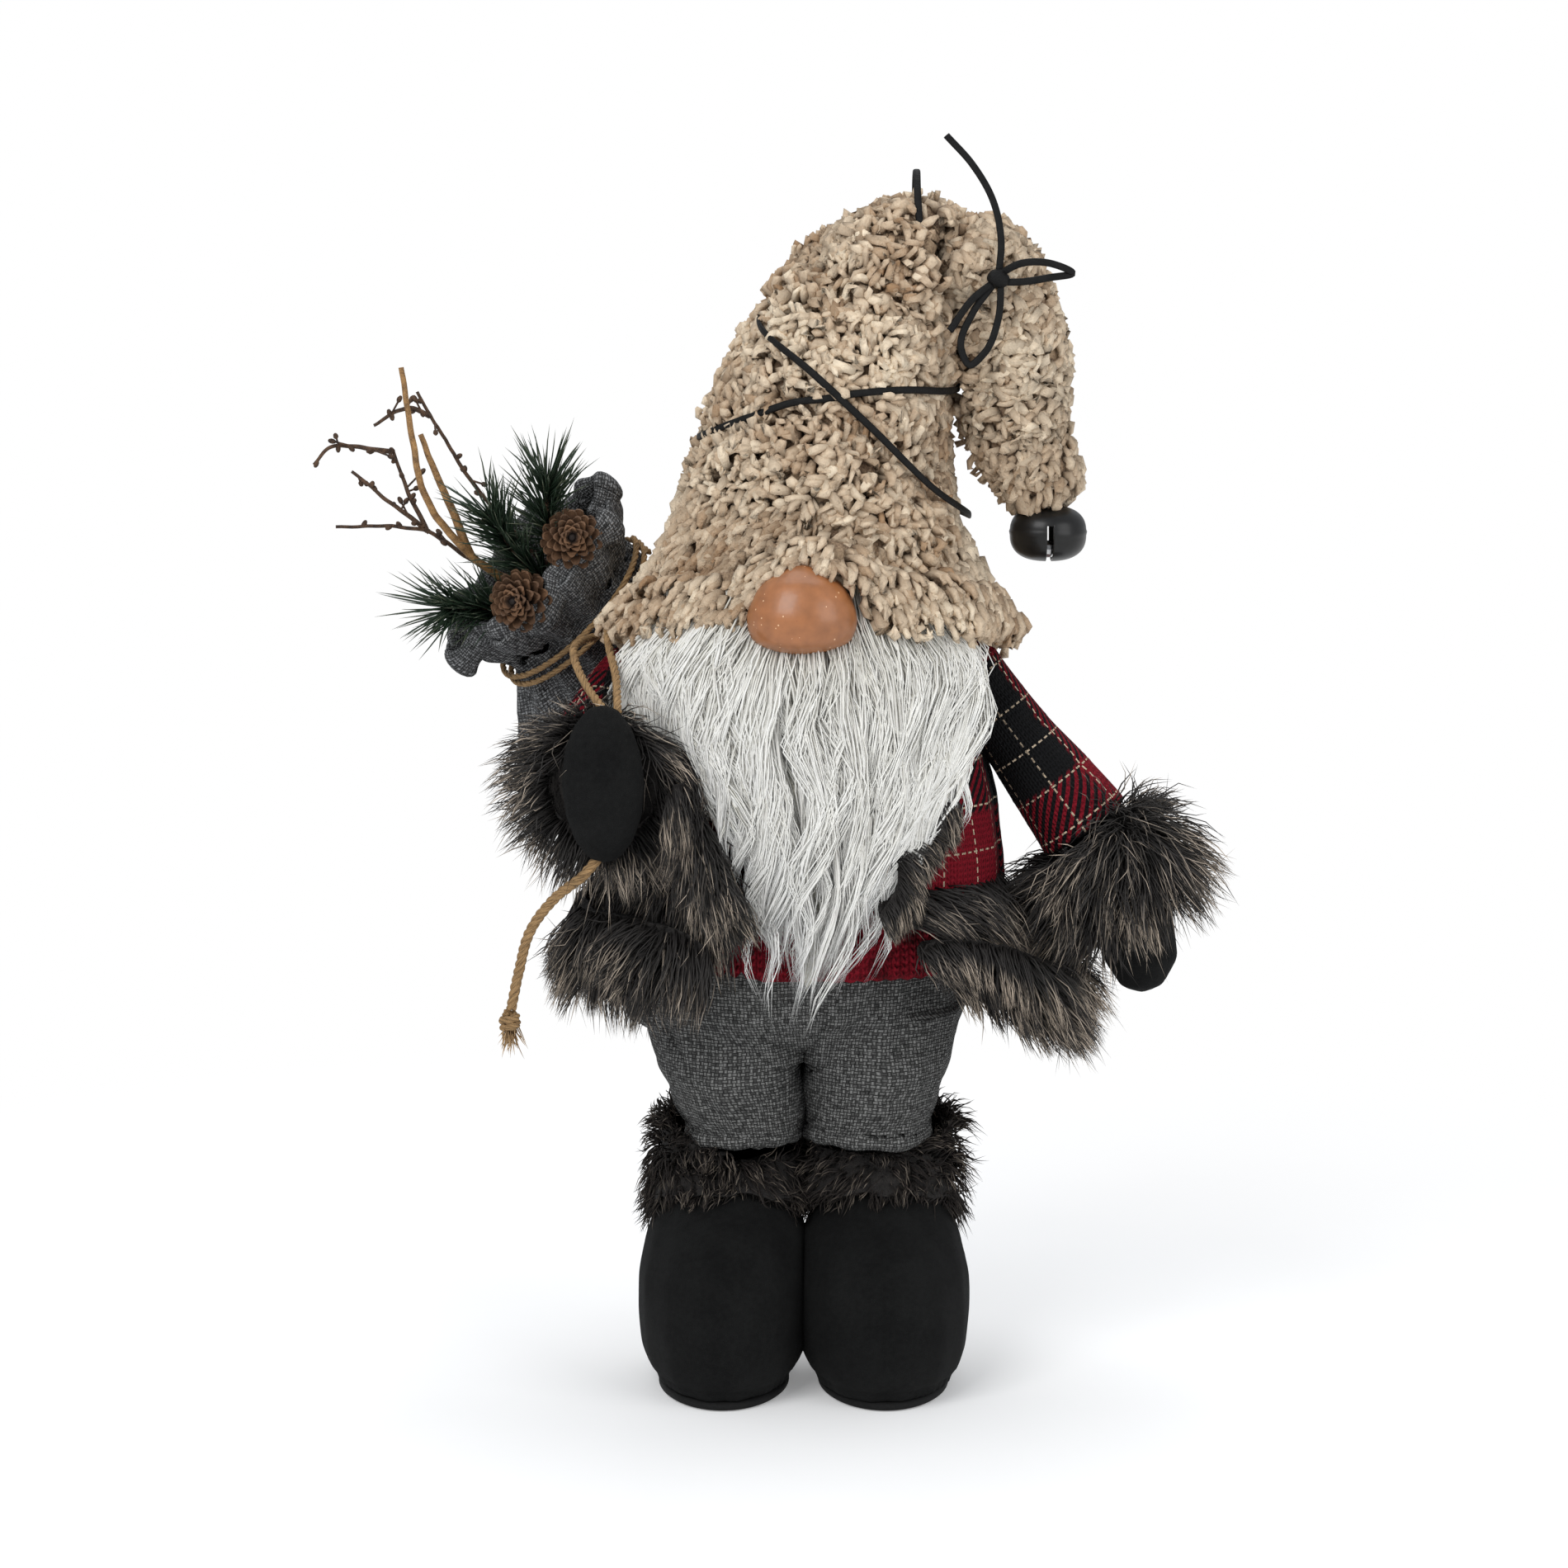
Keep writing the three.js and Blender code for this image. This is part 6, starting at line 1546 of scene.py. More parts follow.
# The laces' places in millimetres: the loop over the hat's top, from its middle, with the way that it faces; the
# bow's knot; the bow's parts from the knot; and the knot's own form, with its half width and half depth.
LOOP_TOP = (40, 0, 433.3)
LOOP = [(1, -15, -16, 0, -1, 0.2), (0, -10, 1, 0, -1, 0.6), (0, -3, 7, 0, -0.4, 1), (0, 3, 7, 0, 0.4, 1),
        (0, 10, 1, 0, 1, 0.6), (1, 15, -16, 0, 1, 0.2)]
BOW = np.array([68, -26.7, 402.8])
BOW_PARTS = {
    "bow_right_loop": [(0, 0, 1.5), (8, -3, 5.5), (18, -3, 5.5), (26, -1, 2), (18, -1, 0.5), (8, -1, -1), (0, 0, -1)],
    "bow_low_loop": [(1, 0, 0), (0, -2, -14), (-5, -3, -26), (-10, -3, -30), (-13, -2, -24), (-9, -1, -12),
                     (-1, 0, -1)],
    "bow_long_tail": [(0, 0, 0), (1, 1, 13), (-2, 6, 28), (-9, 9, 40), (-18, 12, 50)],
    "bow_short_tail": [(0, 0, 0), (-9, -2, -7), (-17, -3, -18)],
}
BOW_FACING = [0.25, -1.0, 0.15]
BOW_KNOT = [(-4, -1, 0, 1.6, 2), (-1.5, -0.6, 0.3, 3.1, 2.6), (1.5, -0.6, 0, 3.1, 2.6), (4, -1, 0.5, 1.6, 2)]


def make_lace(tree):
    """The laces: one wound round the crown, a loop over its top, and a bow on the fold."""
    width = sizes_now().lace_width
    route = np.array([on_crown(tree, height / 1000, turn, 0.001 + 0.0024 * over)
                      for turn, height, over in LACE_WINDING])
    ribbon("wound_lace", route, width, route - axis_of(route), 260, FIGURE, "hat_lace")
    loop = np.array(LOOP, float)
    ribbon("lace_loop_on_top", local(*(LOOP_TOP + loop[:, :3])), width, loop[:, 3:], 40, FIGURE, "hat_lace_strap")
    for name, offsets in BOW_PARTS.items():
        ribbon(name, local(*np.add(BOW, offsets)), width, np.tile(BOW_FACING, (len(offsets), 1)), 60, HAT_TIP,
               "lace_bow")
    rows = np.array(BOW_KNOT)
    stations = np.concatenate([local(*(BOW + rows[:, :3])), rows[:, 3:] / 1000], axis=1)
    dressed(lofted("bow_knot", oval_form(stations, 16, 20, across=(0, 0, 1)), "lace"), HAT_TIP, "lace", "lace_bow")


# The bell in metres: its half width and half height, its wall, half the size of a slot, and its eye's radius.
BELL_HALF_WIDTH = 0.0138
BELL_HALF_HEIGHT = 0.010
BELL_WALL = 0.0009
SLOT = (0.016, 0.0011, 0.0075)
EYE_RADIUS = 0.0032


def make_bell():
    """A pressed bell: a squat superellipse turned round its axis, cut by crossed slots and given a wall.

    Radius = |cos lift| ^ 0.77 * half width, and height = |sin lift| ^ 0.77 * half height. A seam runs round
    its waist.
    """
    centre = middle("bell_pea")
    centre[2] = corners("bell_shell")[0][2] + BELL_HALF_HEIGHT
    lift = np.linspace(-np.pi / 2, np.pi / 2, 56)
    radius = np.abs(np.cos(lift)) ** 0.77 * BELL_HALF_WIDTH
    rise = np.sign(lift) * np.abs(np.sin(lift)) ** 0.77 * BELL_HALF_HEIGHT
    radius = radius + 0.00035 * hump(rise - 0.0004, 0.0005)
    radius[[0, -1]] = 1e-5
    grid = centre + ring_of(turns(96), ACROSS, DEEP) * radius[:, None, None] + UP * rise[:, None, None]
    shell = lofted("bell_shell_pressed", grid, "bell")
    modified(shell, "SOLIDIFY", thickness=BELL_WALL, offset=-1.0)
    applied(shell)
    slots = bmesh.new()
    long, narrow, tall = SLOT
    for size in ((long, narrow, tall), (narrow, long, tall)):
        cube = bmesh.ops.create_cube(slots, size=2)["verts"]
        bmesh.ops.scale(slots, vec=size, verts=cube)
        bmesh.ops.translate(slots, vec=tuple(centre - UP * 0.004), verts=cube)
    cutter = built("bell_slots", slots)
    modified(shell, "BOOLEAN", object=cutter, solver="EXACT", use_self=True, operation="DIFFERENCE")
    applied(shell)
    bpy.data.objects.remove(cutter)
    dressed(shell, BELL, "bell", "bell_shell")
    eye_middle = centre + UP * (BELL_HALF_HEIGHT - BELL_WALL + EYE_RADIUS)
    eye = eye_middle + EYE_RADIUS * ring_of(np.linspace(0, FULL_TURN, 48), ACROSS, UP)
    dressed(lofted("bell_eye", cord_grid(eye, 0.0008, 10), "bell"), BELL, "bell", "bell_shell")


# Sack, twine and greenery

# The sack's neck: its middle in millimetres, and the ways out along it and across it. Then the top and the bottom
# of the mitten's grip on the twine, in millimetres, and the twine's radius in metres.
NECK = np.array([-84.0, 25.0, 281.0])
NECK_AXIS = unit(np.array([-0.62, -0.46, 0.63]))
NECK_WIDE = unit(np.array([0.713, 0, 0.7]))
NECK_DEEP = np.cross(NECK_AXIS, NECK_WIDE)
GRIP_TOP = np.array([-69.0, -63.5, 254.0])
GRIP_BOTTOM = np.array([-72.0, -64.5, 203.0])
TWINE_RADIUS = 0.0019


def neck_point(out, wide=0.0, deep=0.0):
    """A point by the sack's neck in millimetres: out along its axis, and across it both ways."""
    out, wide, deep = (np.asarray(value, float)[..., None] for value in (out, wide, deep))
    return NECK + NECK_AXIS * out + NECK_WIDE * wide + NECK_DEEP * deep


def from_neck(*offsets):
    """Points by their offsets from the middle of the neck, in millimetres."""
    return [NECK + offset for offset in offsets]


# How far out from the neck the sack's rim stands, in millimetres.
RIM_OUT = 24


def make_sack():
    """The wool sack: the solid's shell with pleats that run from its neck, and a thick ruffled rim.

    A point moves away from the neck's axis by a sine of its turn about it, less with distance from the neck.
    """
    neck = local(NECK)[0]
    sack = soft_copy("wool_sack", ["sack"], 0.00115, "sack wool", keep=0.5)
    points = points_of(sack)
    offset = points - neck
    out = offset @ NECK_AXIS
    radial = offset - out[:, None] * NECK_AXIS
    turn = np.arctan2(radial @ NECK_DEEP, radial @ NECK_WIDE)
    below = held(-out / 0.045)
    pleats = np.sin(13 * turn + 1.5 * np.sin(turn * 2)) * (0.0013 * (1 - below) + 0.0004)
    sags = 0.002 * waves(points, 71, 50.0) * below
    move_points(sack, points + unit(radial) * (pleats + sags)[:, None])
    wrap_uv(sack, neck, local(NECK + NECK_AXIS)[0], 0.034)
    dressed(sack, FIGURE, "wool", "sack", "sack_filling", fill=0.5)
    turn = np.linspace(0, FULL_TURN, 260)
    ruffle = 1 + 0.10 * np.sin(6 * turn) + 0.035 * np.sin(11 * turn + 1)
    out = RIM_OUT + 2.2 * np.sin(5 * turn + 0.6)
    route = local(*neck_point(out, 38.5 * ruffle * np.cos(turn), 22.5 * ruffle * np.sin(turn)))
    along = unit(np.gradient(route, axis=0))
    lean = unit(NECK_AXIS - along * (along @ NECK_AXIS)[:, None])
    side = np.cross(along, lean)
    outward = route - local(NECK + NECK_AXIS * RIM_OUT)[0]
    side = side * np.sign(np.sum(side * outward, axis=1, keepdims=True))
    lip = ring_of(turns(18), 0.0062 * lean[:, None], 0.0030 * side[:, None])
    thick = (1 + 0.18 * np.sin(17 * turn))[:, None, None]
    dressed(lofted("sack_rim", route[:, None] + lip * thick, "sack wool"), FIGURE, "wool", "sack")


# The plies of a twine, and the length in metres over which they make one full turn.
PLIES = 3
PITCH = 0.0085


def twisted_grids(route, radius, steps):
    """The plies of a twine: each winds round the route at about half its radius, a full turn in each pitch."""
    centre = smooth(route, steps)
    length = np.concatenate([[0], np.cumsum(np.linalg.norm(np.diff(centre, axis=0), axis=1))])
    ring = cord_grid(centre, 1.0, 4)
    lean, deep = ring[:, 0] - centre, ring[:, 1] - centre
    offsets = [ring_of(FULL_TURN * (length / PITCH + ply / PLIES), lean, deep) for ply in range(PLIES)]
    return [cord_grid(centre + offset * radius * 0.46, radius * 0.55, 8) for offset in offsets], centre


def twine(name, route, steps, *nodes, radius=TWINE_RADIUS):
    """A piece of jute twine along a route, and the points down its middle."""
    grids, centre = twisted_grids(route, radius, steps)
    return dressed(lofted(name, grids, "jute"), FIGURE, "twine", *nodes), centre


# The tail of twine from the mitten down, the middle of the knot at its end, and the strands from the sack's neck to
# the mitten, all in millimetres.
TAIL = [(0, 0, 0), (-5, 0, -6), (-15, 0, -14), (-24, 0, -26), (-28, 1, -40), (-31, 2, -54)]
KNOT = (-31.5, 2, -58.5)
STRANDS = {
    "outer_strand": ((-2, 4, -24), [(-13, 38, 18), (-7, 14, 7), (0, 0, 0)]),
    "inner_strand": ((2, 19, -21), [(-1, 42, 24), (3, 16, 9), (4, 1, 0)]),
}
# Fibres in the frayed end of the tail.
FRAYED_FIBRES = 70


def make_ropes():
    """Jute twine: turns round the sack's neck, two strands to the mitten, and a tail with a frayed knot."""
    tail, centre = twine("jute_tail", local(*np.add(GRIP_BOTTOM, TAIL)), 120, "rope_tail")
    knot_middle = local(np.add(GRIP_BOTTOM, KNOT))[0]
    turn = np.linspace(0, 2.6 * FULL_TURN, 90)
    lift = np.linspace(-1, 1, 90)[:, None]
    coil = knot_middle + ring_of(turn, ACROSS, DEEP) * 0.0026 * np.sqrt(1 - 0.7 * lift**2) + UP * lift * 0.0032
    knot, _ = twine("jute_knot", coil[::6], 110, "rope_knot", radius=TWINE_RADIUS * 0.8)
    rng = np.random.default_rng(81)
    roots = knot_middle + rng.normal(scale=0.0011, size=(FRAYED_FIBRES, 3)) - UP * 0.002
    ways = unit(rng.normal(scale=0.35, size=(FRAYED_FIBRES, 3)) - UP)
    bend = rng.normal(scale=0.12, size=(FRAYED_FIBRES, 3))
    s = np.linspace(0, 1, 6)[None, :, None]
    long = rng.uniform(0.005, 0.0095, FRAYED_FIBRES)[:, None, None]
    frayed = roots[:, None] + (ways[:, None] * s + bend[:, None] * s**2) * long
    radii = strand_radii(FRAYED_FIBRES, 6, 0.0007, rng)
    fibres = strands_piece("jute_frayed_end", frayed, radii, "jute fibre", rng.random(FRAYED_FIBRES))
    dressed(fibres, FIGURE, "twine", "rope_knot")
    for strand, (at_neck, offsets) in STRANDS.items():
        route = local(neck_point(*at_neck), *np.add(GRIP_TOP, offsets))
        twine("jute_" + strand, route, 110, "rope_" + strand, radius=TWINE_RADIUS * 0.8)
    turn = np.linspace(0, 2 * FULL_TURN, 81)
    climb = 4.6 * turn / FULL_TURN - 4.6
    tie = neck_point(climb, 34.3 * np.cos(turn), 23.3 * np.sin(turn))
    twine("jute_tie", local(*tie), 420, "sack_tie", radius=TWINE_RADIUS * 0.62)


def limb(route, start, end, steps, seed):
    """A twig's limb: a cord that narrows towards its end, with small kinks along it."""
    centre = smooth(route, steps)
    centre = centre + 0.0007 * np.stack([waves(centre, seed + i, 260.0) for i in range(3)], axis=1)
    return cord_grid(centre, np.linspace(start, end, steps), 7), centre


def ellipsoid(centre, way, side, deep, length, girth, rows, sides):
    """An ellipsoid along a way: each ring has radius girth * cos(lift) and lies length * sin(lift) along."""
    lift = np.linspace(-np.pi / 2, np.pi / 2, rows)[:, None, None]
    return centre + ring_of(turns(sides), side, deep) * (np.cos(lift) * girth + 1e-6) + way * np.sin(lift) * length


# Half the length of a bud, in metres.
BUD_SIZE = 0.0016


def bud_grids(places, ways):
    """Buds: small ellipsoids, each pointing its own way."""
    return [ellipsoid(place, way, *sideways(way, [0.3, 0.5, 0.8]), BUD_SIZE, 0.62 * BUD_SIZE, 6, 7)
            for place, way in zip(places, ways)]


# Where the greenery starts in the sack's neck, in millimetres out along it, and the routes of its limbs from there.
STEM_START = 5
STRAW = [
    [neck_point(STEM_START, -3, 6), *from_neck((-36, -22, 22), (-52, -30, 44), (-56, -32, 62), (-59.5, -34, 90))],
    from_neck((-36, -22, 22), (-45, -24, 44), (-54, -24, 66)),
]
TWIGS = {
    "twig_tall": [
        [neck_point(STEM_START, 4, 9), *from_neck((-33, -10, 43), (-42, -12, 57), (-51, -14, 72), (-56, -14, 81))],
        from_neck((-51, -14, 72), (-59, -18, 75), (-71, -20, 69)),
    ],
    "twig_low": [
        [neck_point(STEM_START, -11, 7), *from_neck((-40, -14, 22), (-52, -18, 30), (-85, -22, 32))],
        from_neck((-52, -18, 30), (-60, -16, 46), (-65, -14, 59)),
        from_neck((-65, -14, 59), (-80, -14, 61), (-87.5, -14, 60.5), (-94, -14, 54)),
        from_neck((-52, -18, 30), (-66, -22, 42), (-79, -24, 52)),
    ],
}
SPRIGS = {
    "sprig_lower": [neck_point(STEM_START, -15, -2), *from_neck((-30, -18, 2), (-44, -30, 4))],
    "sprig_middle": [neck_point(STEM_START, 1, -3), *from_neck((-20, -20, 22), (-29, -32, 38))],
    "sprig_upper": [neck_point(STEM_START, 14, -1), *from_neck((-8, -18, 32), (-8, -30, 50))],
}
# The stem of each cone, and the way that the cone points.
CONES = {
    "cone_lower": ([neck_point(STEM_START, -7, -10), *from_neck((-14, -22, 6))], (-0.35, -0.92, 0.05)),
    "cone_upper": ([neck_point(STEM_START, 9, -10), *from_neck((0, -18, 26))], (0.05, -0.97, 0.2)),
}


def make_twigs():
    """Budded twigs and a forked straw stick that stand in the sack."""
    grids = [limb(local(*route), 0.0018, 0.001, 60, 90 + i)[0] for i, route in enumerate(STRAW)]
    dressed(lofted("straw_fork", grids, "straw"), FIGURE, "straw", "straw_stick")
    rng = np.random.default_rng(95)
    for node, routes in TWIGS.items():
        grids = []
        for i, route in enumerate(routes):
            grid, centre = limb(local(*route), 0.0010, 0.0006, 50, 96 + i)
            grids.append(grid)
            picks = rng.integers(16 if i == 0 else 4, 50, 5)
            ways = unit(rng.normal(size=(5, 3)))
            grids += bud_grids(centre[picks] + ways * 0.0011, ways)
            for pick in rng.integers(18 if i == 0 else 5, 46, 3):
                way = unit(rng.normal(size=3) + [0, 0, 0.5]) * rng.uniform(0.004, 0.009)
                spur = np.linspace(centre[pick], centre[pick] + way, 5)
                grids += [cord_grid(spur, 0.0004, 5), *bud_grids([spur[-1]], [unit(way)])]
        dressed(lofted(node + "_budded", grids, "bark"), FIGURE, "twig", node)


def make_sprigs():
    """Pine sprigs: a stem in needles that point forward and out all round it."""
    needles = sizes_now().needles
    s = np.linspace(0, 1, 5)
    for i, (node, route) in enumerate(SPRIGS.items()):
        rng = np.random.default_rng(110 + i)
        centre = smooth(local(*route), 80)
        share = 0.2 + 0.8 * np.sort(rng.random(needles)) ** 0.85
        pick = (share * 79).astype(int)
        along = unit(np.gradient(centre, axis=0))[pick]
        out = ring_of(rng.uniform(0, FULL_TURN, needles), *sideways(along, [0.2, 1.0, 0.1]))
        ways = unit(out * 0.75 + along * rng.uniform(0.6, 1.9, needles)[:, None])
        long = rng.uniform(0.017, 0.029, needles)[:, None, None]
        bend = unit(rng.normal(size=(needles, 3))) * 0.12
        curves = centre[pick][:, None] + (ways[:, None] * s[:, None] + bend[:, None] * s[:, None] ** 2) * long
        radii = 0.00042 * (1 - 0.65 * s**2) * rng.uniform(0.8, 1.2, needles)[:, None]
        piece = strands_piece(node + "_needles", curves, radii, "needles", rng.random(needles) ** 2)
        dressed(piece, FIGURE, "pine", node)
        stem = lofted(node + "_stem", cord_grid(centre, np.linspace(0.0012, 0.0007, 80), 7), "bark")
        dressed(stem, FIGURE, "pine", node)


# The turn from one scale of a cone to the next, and half the length and half the width of a cone's core, in metres.
GOLDEN_ANGLE = np.pi * (3 - np.sqrt(5))
CORE = (0.0095, 0.0036)
# Points along a scale and across it.
SCALE_ROWS = 5


def scale_grid(foot, way, out, share):
    """One woody scale: a blade that widens, curls up at its tip and is thickest there, closed by its underside.

    Its reach follows a half sine of its share of the way along the cone, and it stands ever steeper.
    """
    u, v = np.meshgrid(np.linspace(0, 1, SCALE_ROWS), np.linspace(-1, 1, SCALE_ROWS), indexing="ij")
    half = (0.36 + 0.64 * np.sin(np.pi * u**0.8 * 0.62)) * np.where(u > 0.9, 0.55, 1)
    reach = 0.0106 * np.sin(np.pi * (0.12 + 0.80 * share) ** 0.8) + 0.0008
    steep = 0.35 + 0.75 * share
    blade_way = unit(out * np.cos(steep) + way * np.sin(steep))
    cross = np.cross(way, out)
    thick_way = unit(np.cross(cross, blade_way))
    start = foot + way * 0.021 * (0.04 + 0.80 * share) + out * 0.0012
    top = start + blade_way * (u * reach)[..., None] + cross * (v * half * 0.0030 * (1 - 0.45 * share))[..., None]
    top = top + thick_way * (u**2 * 0.0016 * (0.95 - share) + 0.0008 * (1 - v**2) * u)[..., None]
    under = top - thick_way * (0.0002 + 0.0007 * u)[..., None]
    return np.concatenate([top, under[:, ::-1]], axis=1)


def make_cones():
    """Pine cones: a core, and woody scales in a spiral, each a golden angle round from the one before it."""
    count = sizes_now().cone_scales
    length, girth = CORE
    for node, (route, way) in CONES.items():
        way = unit(np.array(way, float))
        foot = local(route[-1])[0]
        side, deep = sideways(way, UP)
        rng = np.random.default_rng(120)
        out = ring_of(GOLDEN_ANGLE * np.arange(count) + rng.normal(scale=0.06, size=count), side, deep)
        grids = [scale_grid(foot, way, out[n], (n + 0.5) / count) for n in range(count)]
        core = ellipsoid(foot + way * length, way, side, deep, length, girth, 12, 16)
        piece = lofted(node + "_scales", [*grids, core], "cone")
        place = np.concatenate([np.repeat(np.linspace(0, 1, SCALE_ROWS), 2 * SCALE_ROWS), [0, 1]])
        shade = np.repeat(0.35 + 0.65 * rng.random(count), len(place))
        rest = np.zeros(len(piece.data.vertices) - len(shade))
        keep_numbers(piece.data, {"along": np.concatenate([np.tile(place, count), rest]),
                                  "shade": np.concatenate([shade, rest])})
        round_off(piece.data, False)
        dressed(piece, FIGURE, "cone", node)
        stem = smooth(local(*route), 20)
        dressed(lofted(node + "_stem", cord_grid(stem, 0.0012, 8), "bark"), FIGURE, "cone", node)


def make_inside():
    """What the cloth hides: a cotton head, and finishes for the wires, the peg, the pea and the thread."""
    head = soft_copy("cotton_head", ["head"], 0.002, "cotton", smoothing=4)
    pushed(head, 0.0004 * waves(points_of(head), 131, 120.0) - 0.0005)
    dressed(head, FIGURE, "stuffing", "head", fill=0.8)
    finishes = {
        "steel": ("left_arm_wire", "right_arm_wire", "tip_wire", "hat_wire", "bell_pea"),
        "wood": ("nose_peg",),
        "lace": ("tip_thread_loop",),
    }
    for finish, nodes in finishes.items():
        for node in nodes:
            finished(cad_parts[node], finish)


# Stage

# Lamps: the place, size and power of each, and the place that they all face.
LAMPS = {
    "key light": ((-0.9, -1.5, 1.5), 1.1, 21.0),
    "fill light": ((1.5, -1.3, 0.9), 1.3, 12.0),
    "top light": ((0.1, 0.5, 1.7), 1.2, 8.0),
}
LIT_PLACE = (0.0, 0.0, 0.22)
# The camera: the place that it faces, its distance from there, its height in degrees and its focal length.
SEEN_PLACE = (FIGURE_X - 0.0072, 0, 0.220)
CAMERA_DISTANCE = 1.5
CAMERA_LIFT = 8
FOCAL_LENGTH = 94.7
# How far the floor reaches each way, in metres.
FLOOR_REACH = 6.0


def aimed(name, data, place, target):
    """An object with its data at a place, turned to face a target."""
    obj = placed(name, data)
    obj.location = place
    obj.rotation_euler = (Vector(target) - obj.location).to_track_quat("-Z", "Y").to_euler()
    return obj


def seen_by(tree, ray):
    """One for rays from the camera and rays of one more kind, and nought for others."""
    paths = tree.node("LightPath").outputs
    return tree.math("MAXIMUM", paths["Is Camera Ray"], paths[ray])


def make_surround():
    """A world that is white to the camera, and lights the figure by less and a little bluer."""
    world = bpy.data.worlds.new("studio")
    bpy.context.scene.world = world
    world.use_nodes = True
    tree = Tree(world.node_tree)
    seen = seen_by(tree, "Is Transmission Ray")
    background = world.node_tree.nodes["Background"].inputs
    tree.put(tree.mix(seen, (0.93, 0.96, 1.0), (1, 1, 1)), background["Color"])
    tree.put(tree.math("MULTIPLY_ADD", seen, 0.42, 0.58), background["Strength"])


def make_floor():
    """A pale floor that takes shadows, and that the camera sees fade into white with distance."""
    material = bpy.data.materials.new("pale floor")
    material.use_nodes = True
    nodes = material.node_tree.nodes
    tree = Tree(material.node_tree)
    shader = nodes["Principled BSDF"]
    grain = tree.noise(tree.coordinates(), 12.0)
    tree.put(tree.mix(grain, (0.84, 0.84, 0.84), (0.88, 0.88, 0.88)), shader.inputs["Base Color"])
    seen = seen_by(tree, "Is Glossy Ray")
    tree.put(0.9, shader.inputs["Roughness"])
    tree.put((1, 1, 1), shader.inputs["Emission Color"])
    tree.put(tree.math("MULTIPLY", seen, 0.2), shader.inputs["Emission Strength"])
    away = tree.node("VectorMath", {0: tree.coordinates()}, operation="LENGTH").outputs["Value"]
    fade = tree.math("MULTIPLY_ADD", away, 2.6, -0.55, clamp=True)
    white = tree.node("Emission", {"Color": (1, 1, 1), "Strength": 1.0}).outputs[0]
    blend = tree.node("MixShader", {0: tree.math("MULTIPLY", seen, fade), 1: shader.outputs[0], 2: white})
    tree.put(blend.outputs[0], nodes["Material Output"].inputs["Surface"])
    edge = np.array([[-1, -1, 0], [1, -1, 0], [1, 1, 0], [-1, 1, 0]]) * FLOOR_REACH
    new_piece("floor", edge - UP * 0.0002, [np.array([[0, 1, 2, 3]])], material)


def make_stage():
    """A pale floor, a white surround and soft studio light, and the camera level with the figure."""
    scene = bpy.context.scene
    scene.view_settings.view_transform = "Standard"
    make_surround()
    make_floor()
    for name, (place, size, power) in LAMPS.items():
        lamp = bpy.data.lights.new(name, "AREA")
        lamp.shape = "SQUARE"
        lamp.size = size
        lamp.energy = power
        aimed(name, lamp, place, LIT_PLACE)
    lens = bpy.data.cameras.new("camera")
    lens.sensor_width = 36
    lens.lens = FOCAL_LENGTH
    lift = np.radians(CAMERA_LIFT)
    place = np.add(SEEN_PLACE, np.array([0, -np.cos(lift), np.sin(lift)]) * CAMERA_DISTANCE)
    scene.camera = aimed("camera", lens, place, SEEN_PLACE)


# Operators, the panel and the whole run


class GNOME_OT_stage(bpy.types.Operator):
    """Make the floor, the light and the camera"""

    bl_idname = "gnome.stage"
    bl_label = "Stage"

    def execute(self, context):
        make_stage()
        return {"FINISHED"}


class GNOME_OT_ropes(bpy.types.Operator):
    """Make the sack's tie, its strands and the hanging tail"""

    bl_idname = "gnome.ropes"
    bl_label = "Twine"

    def execute(self, context):
        make_ropes()
        return {"FINISHED"}


class GNOME_OT_boots(bpy.types.Operator):
    """Make both felt boots and their soles"""

    bl_idname = "gnome.boots"
    bl_label = "Boots"

    def execute(self, context):
        make_boot("right")
        make_boot("left")
        return {"FINISHED"}


class GNOME_OT_trousers(bpy.types.Operator):
    """Make the tweed trousers"""

    bl_idname = "gnome.trousers"
    bl_label = "Trousers"

    def execute(self, context):
        make_trousers()
        return {"FINISHED"}


class GNOME_OT_coat(bpy.types.Operator):
    """Make the plaid coat and the knitted hem under it"""

    bl_idname = "gnome.coat"
    bl_label = "Coat"

    def execute(self, context):
        make_shirt_hem()
        make_coat()
        return {"FINISHED"}


class GNOME_OT_arms(bpy.types.Operator):
    """Make the sleeves and the mittens"""

    bl_idname = "gnome.arms"
    bl_label = "Arms"

    def execute(self, context):
        make_sleeve("right")
        make_sleeve("left")
        make_mitten("right")
        make_mitten("left")
        return {"FINISHED"}


class GNOME_OT_fur(bpy.types.Operator):
    """Make the fur on the boots, the coat and the sleeves"""

    bl_idname = "gnome.fur"
    bl_label = "Fur trim"

    def execute(self, context):
        make_trim()
        return {"FINISHED"}


class GNOME_OT_beard(bpy.types.Operator):
    """Make the long white beard"""

    bl_idname = "gnome.beard"
    bl_label = "Beard"

    def execute(self, context):
        make_beard()
        return {"FINISHED"}


class GNOME_OT_nose(bpy.types.Operator):
    """Make the clay nose"""

    bl_idname = "gnome.nose"
    bl_label = "Nose"

    def execute(self, context):
        make_nose()
        return {"FINISHED"}


class GNOME_OT_hat(bpy.types.Operator):
    """Make the boucle hat, its curls and its laces"""

    bl_idname = "gnome.hat"
    bl_label = "Hat"

    def execute(self, context):
        make_hat()
        return {"FINISHED"}


class GNOME_OT_bell(bpy.types.Operator):
    """Make the bell on the tip of the hat"""

    bl_idname = "gnome.bell"
    bl_label = "Bell"

    def execute(self, context):
        make_bell()
        return {"FINISHED"}


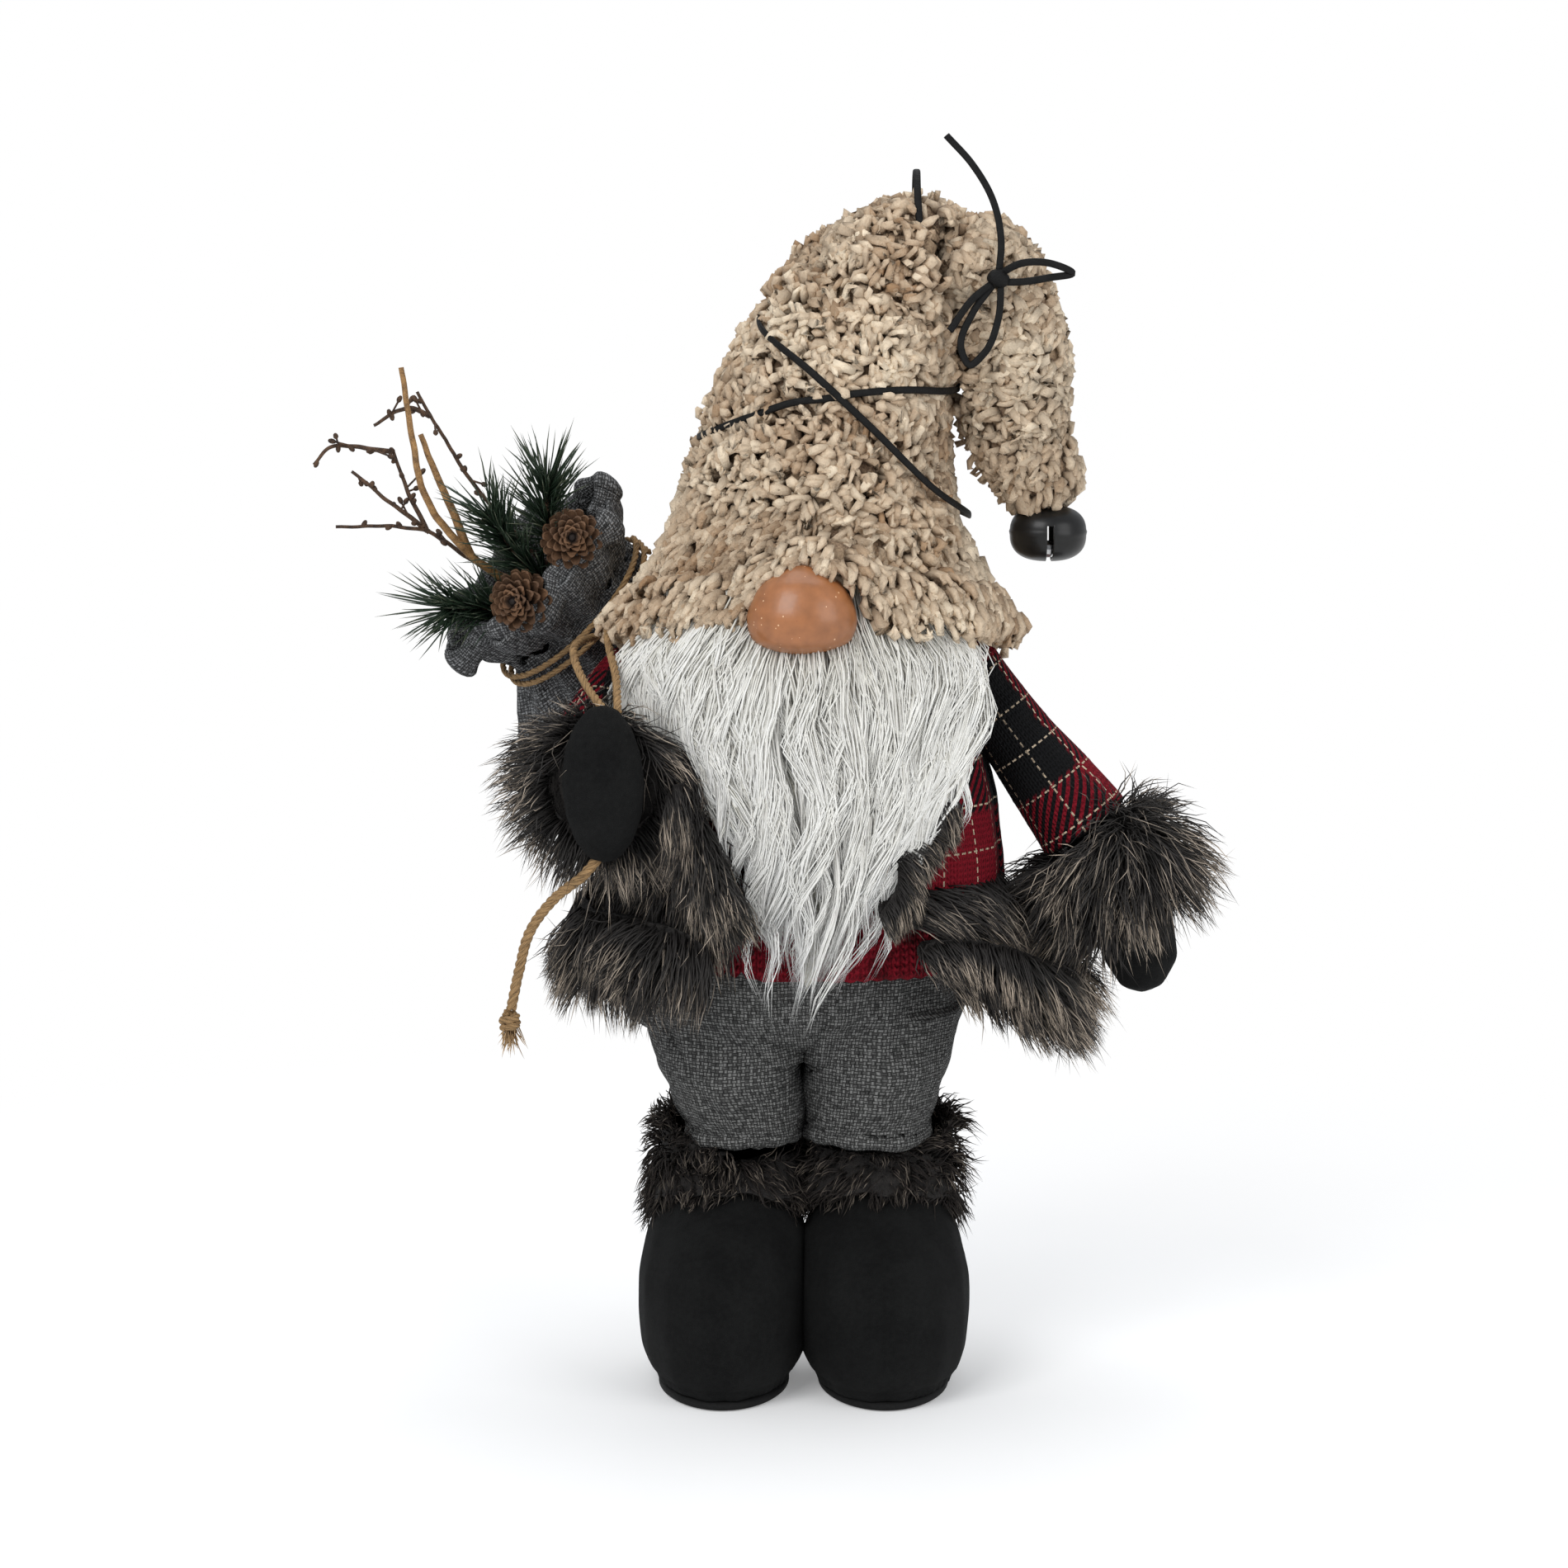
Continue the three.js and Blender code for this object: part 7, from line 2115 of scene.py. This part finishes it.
class GNOME_OT_sack(bpy.types.Operator):
    """Make the wool sack and its rim"""

    bl_idname = "gnome.sack"
    bl_label = "Sack"

    def execute(self, context):
        make_sack()
        return {"FINISHED"}


class GNOME_OT_greenery(bpy.types.Operator):
    """Make the twigs, the sprigs and the cones"""

    bl_idname = "gnome.greenery"
    bl_label = "Greenery"

    def execute(self, context):
        make_twigs()
        make_sprigs()
        make_cones()
        return {"FINISHED"}


class GNOME_OT_inside(bpy.types.Operator):
    """Make the head, and finish the wires, the peg and the pea"""

    bl_idname = "gnome.inside"
    bl_label = "Inside"

    def execute(self, context):
        make_inside()
        return {"FINISHED"}


OPERATORS = [
    GNOME_OT_stage,
    GNOME_OT_ropes,
    GNOME_OT_boots,
    GNOME_OT_trousers,
    GNOME_OT_coat,
    GNOME_OT_arms,
    GNOME_OT_fur,
    GNOME_OT_beard,
    GNOME_OT_nose,
    GNOME_OT_hat,
    GNOME_OT_bell,
    GNOME_OT_sack,
    GNOME_OT_greenery,
    GNOME_OT_inside,
]


class GNOME_PT_panel(bpy.types.Panel):
    """The gnome's sizes, colours and pieces"""

    bl_idname = "GNOME_PT_panel"
    bl_label = "Gnome"
    bl_space_type = "VIEW_3D"
    bl_region_type = "UI"
    bl_category = "Gnome"

    def draw(self, context):
        layout = self.layout
        for settings in (context.scene.gnome_sizes, context.scene.gnome_colours):
            box = layout.box()
            for key in settings.__annotations__:
                box.prop(settings, key)
        for made in OPERATORS:
            layout.operator(made.bl_idname)


CLASSES = [GnomeSizes, GnomeColours, *OPERATORS, GNOME_PT_panel]


def register():
    for made in CLASSES:
        bpy.utils.register_class(made)
    bpy.types.Scene.gnome_sizes = bpy.props.PointerProperty(type=GnomeSizes)
    bpy.types.Scene.gnome_colours = bpy.props.PointerProperty(type=GnomeColours)


def unregister():
    del bpy.types.Scene.gnome_colours
    del bpy.types.Scene.gnome_sizes
    for made in reversed(CLASSES):
        bpy.utils.unregister_class(made)


def main():
    register()
    make_materials()
    for made in OPERATORS:
        group_name, name = made.bl_idname.split(".")
        getattr(getattr(bpy.ops, group_name), name)()


if __name__ == "__main__":
    main()
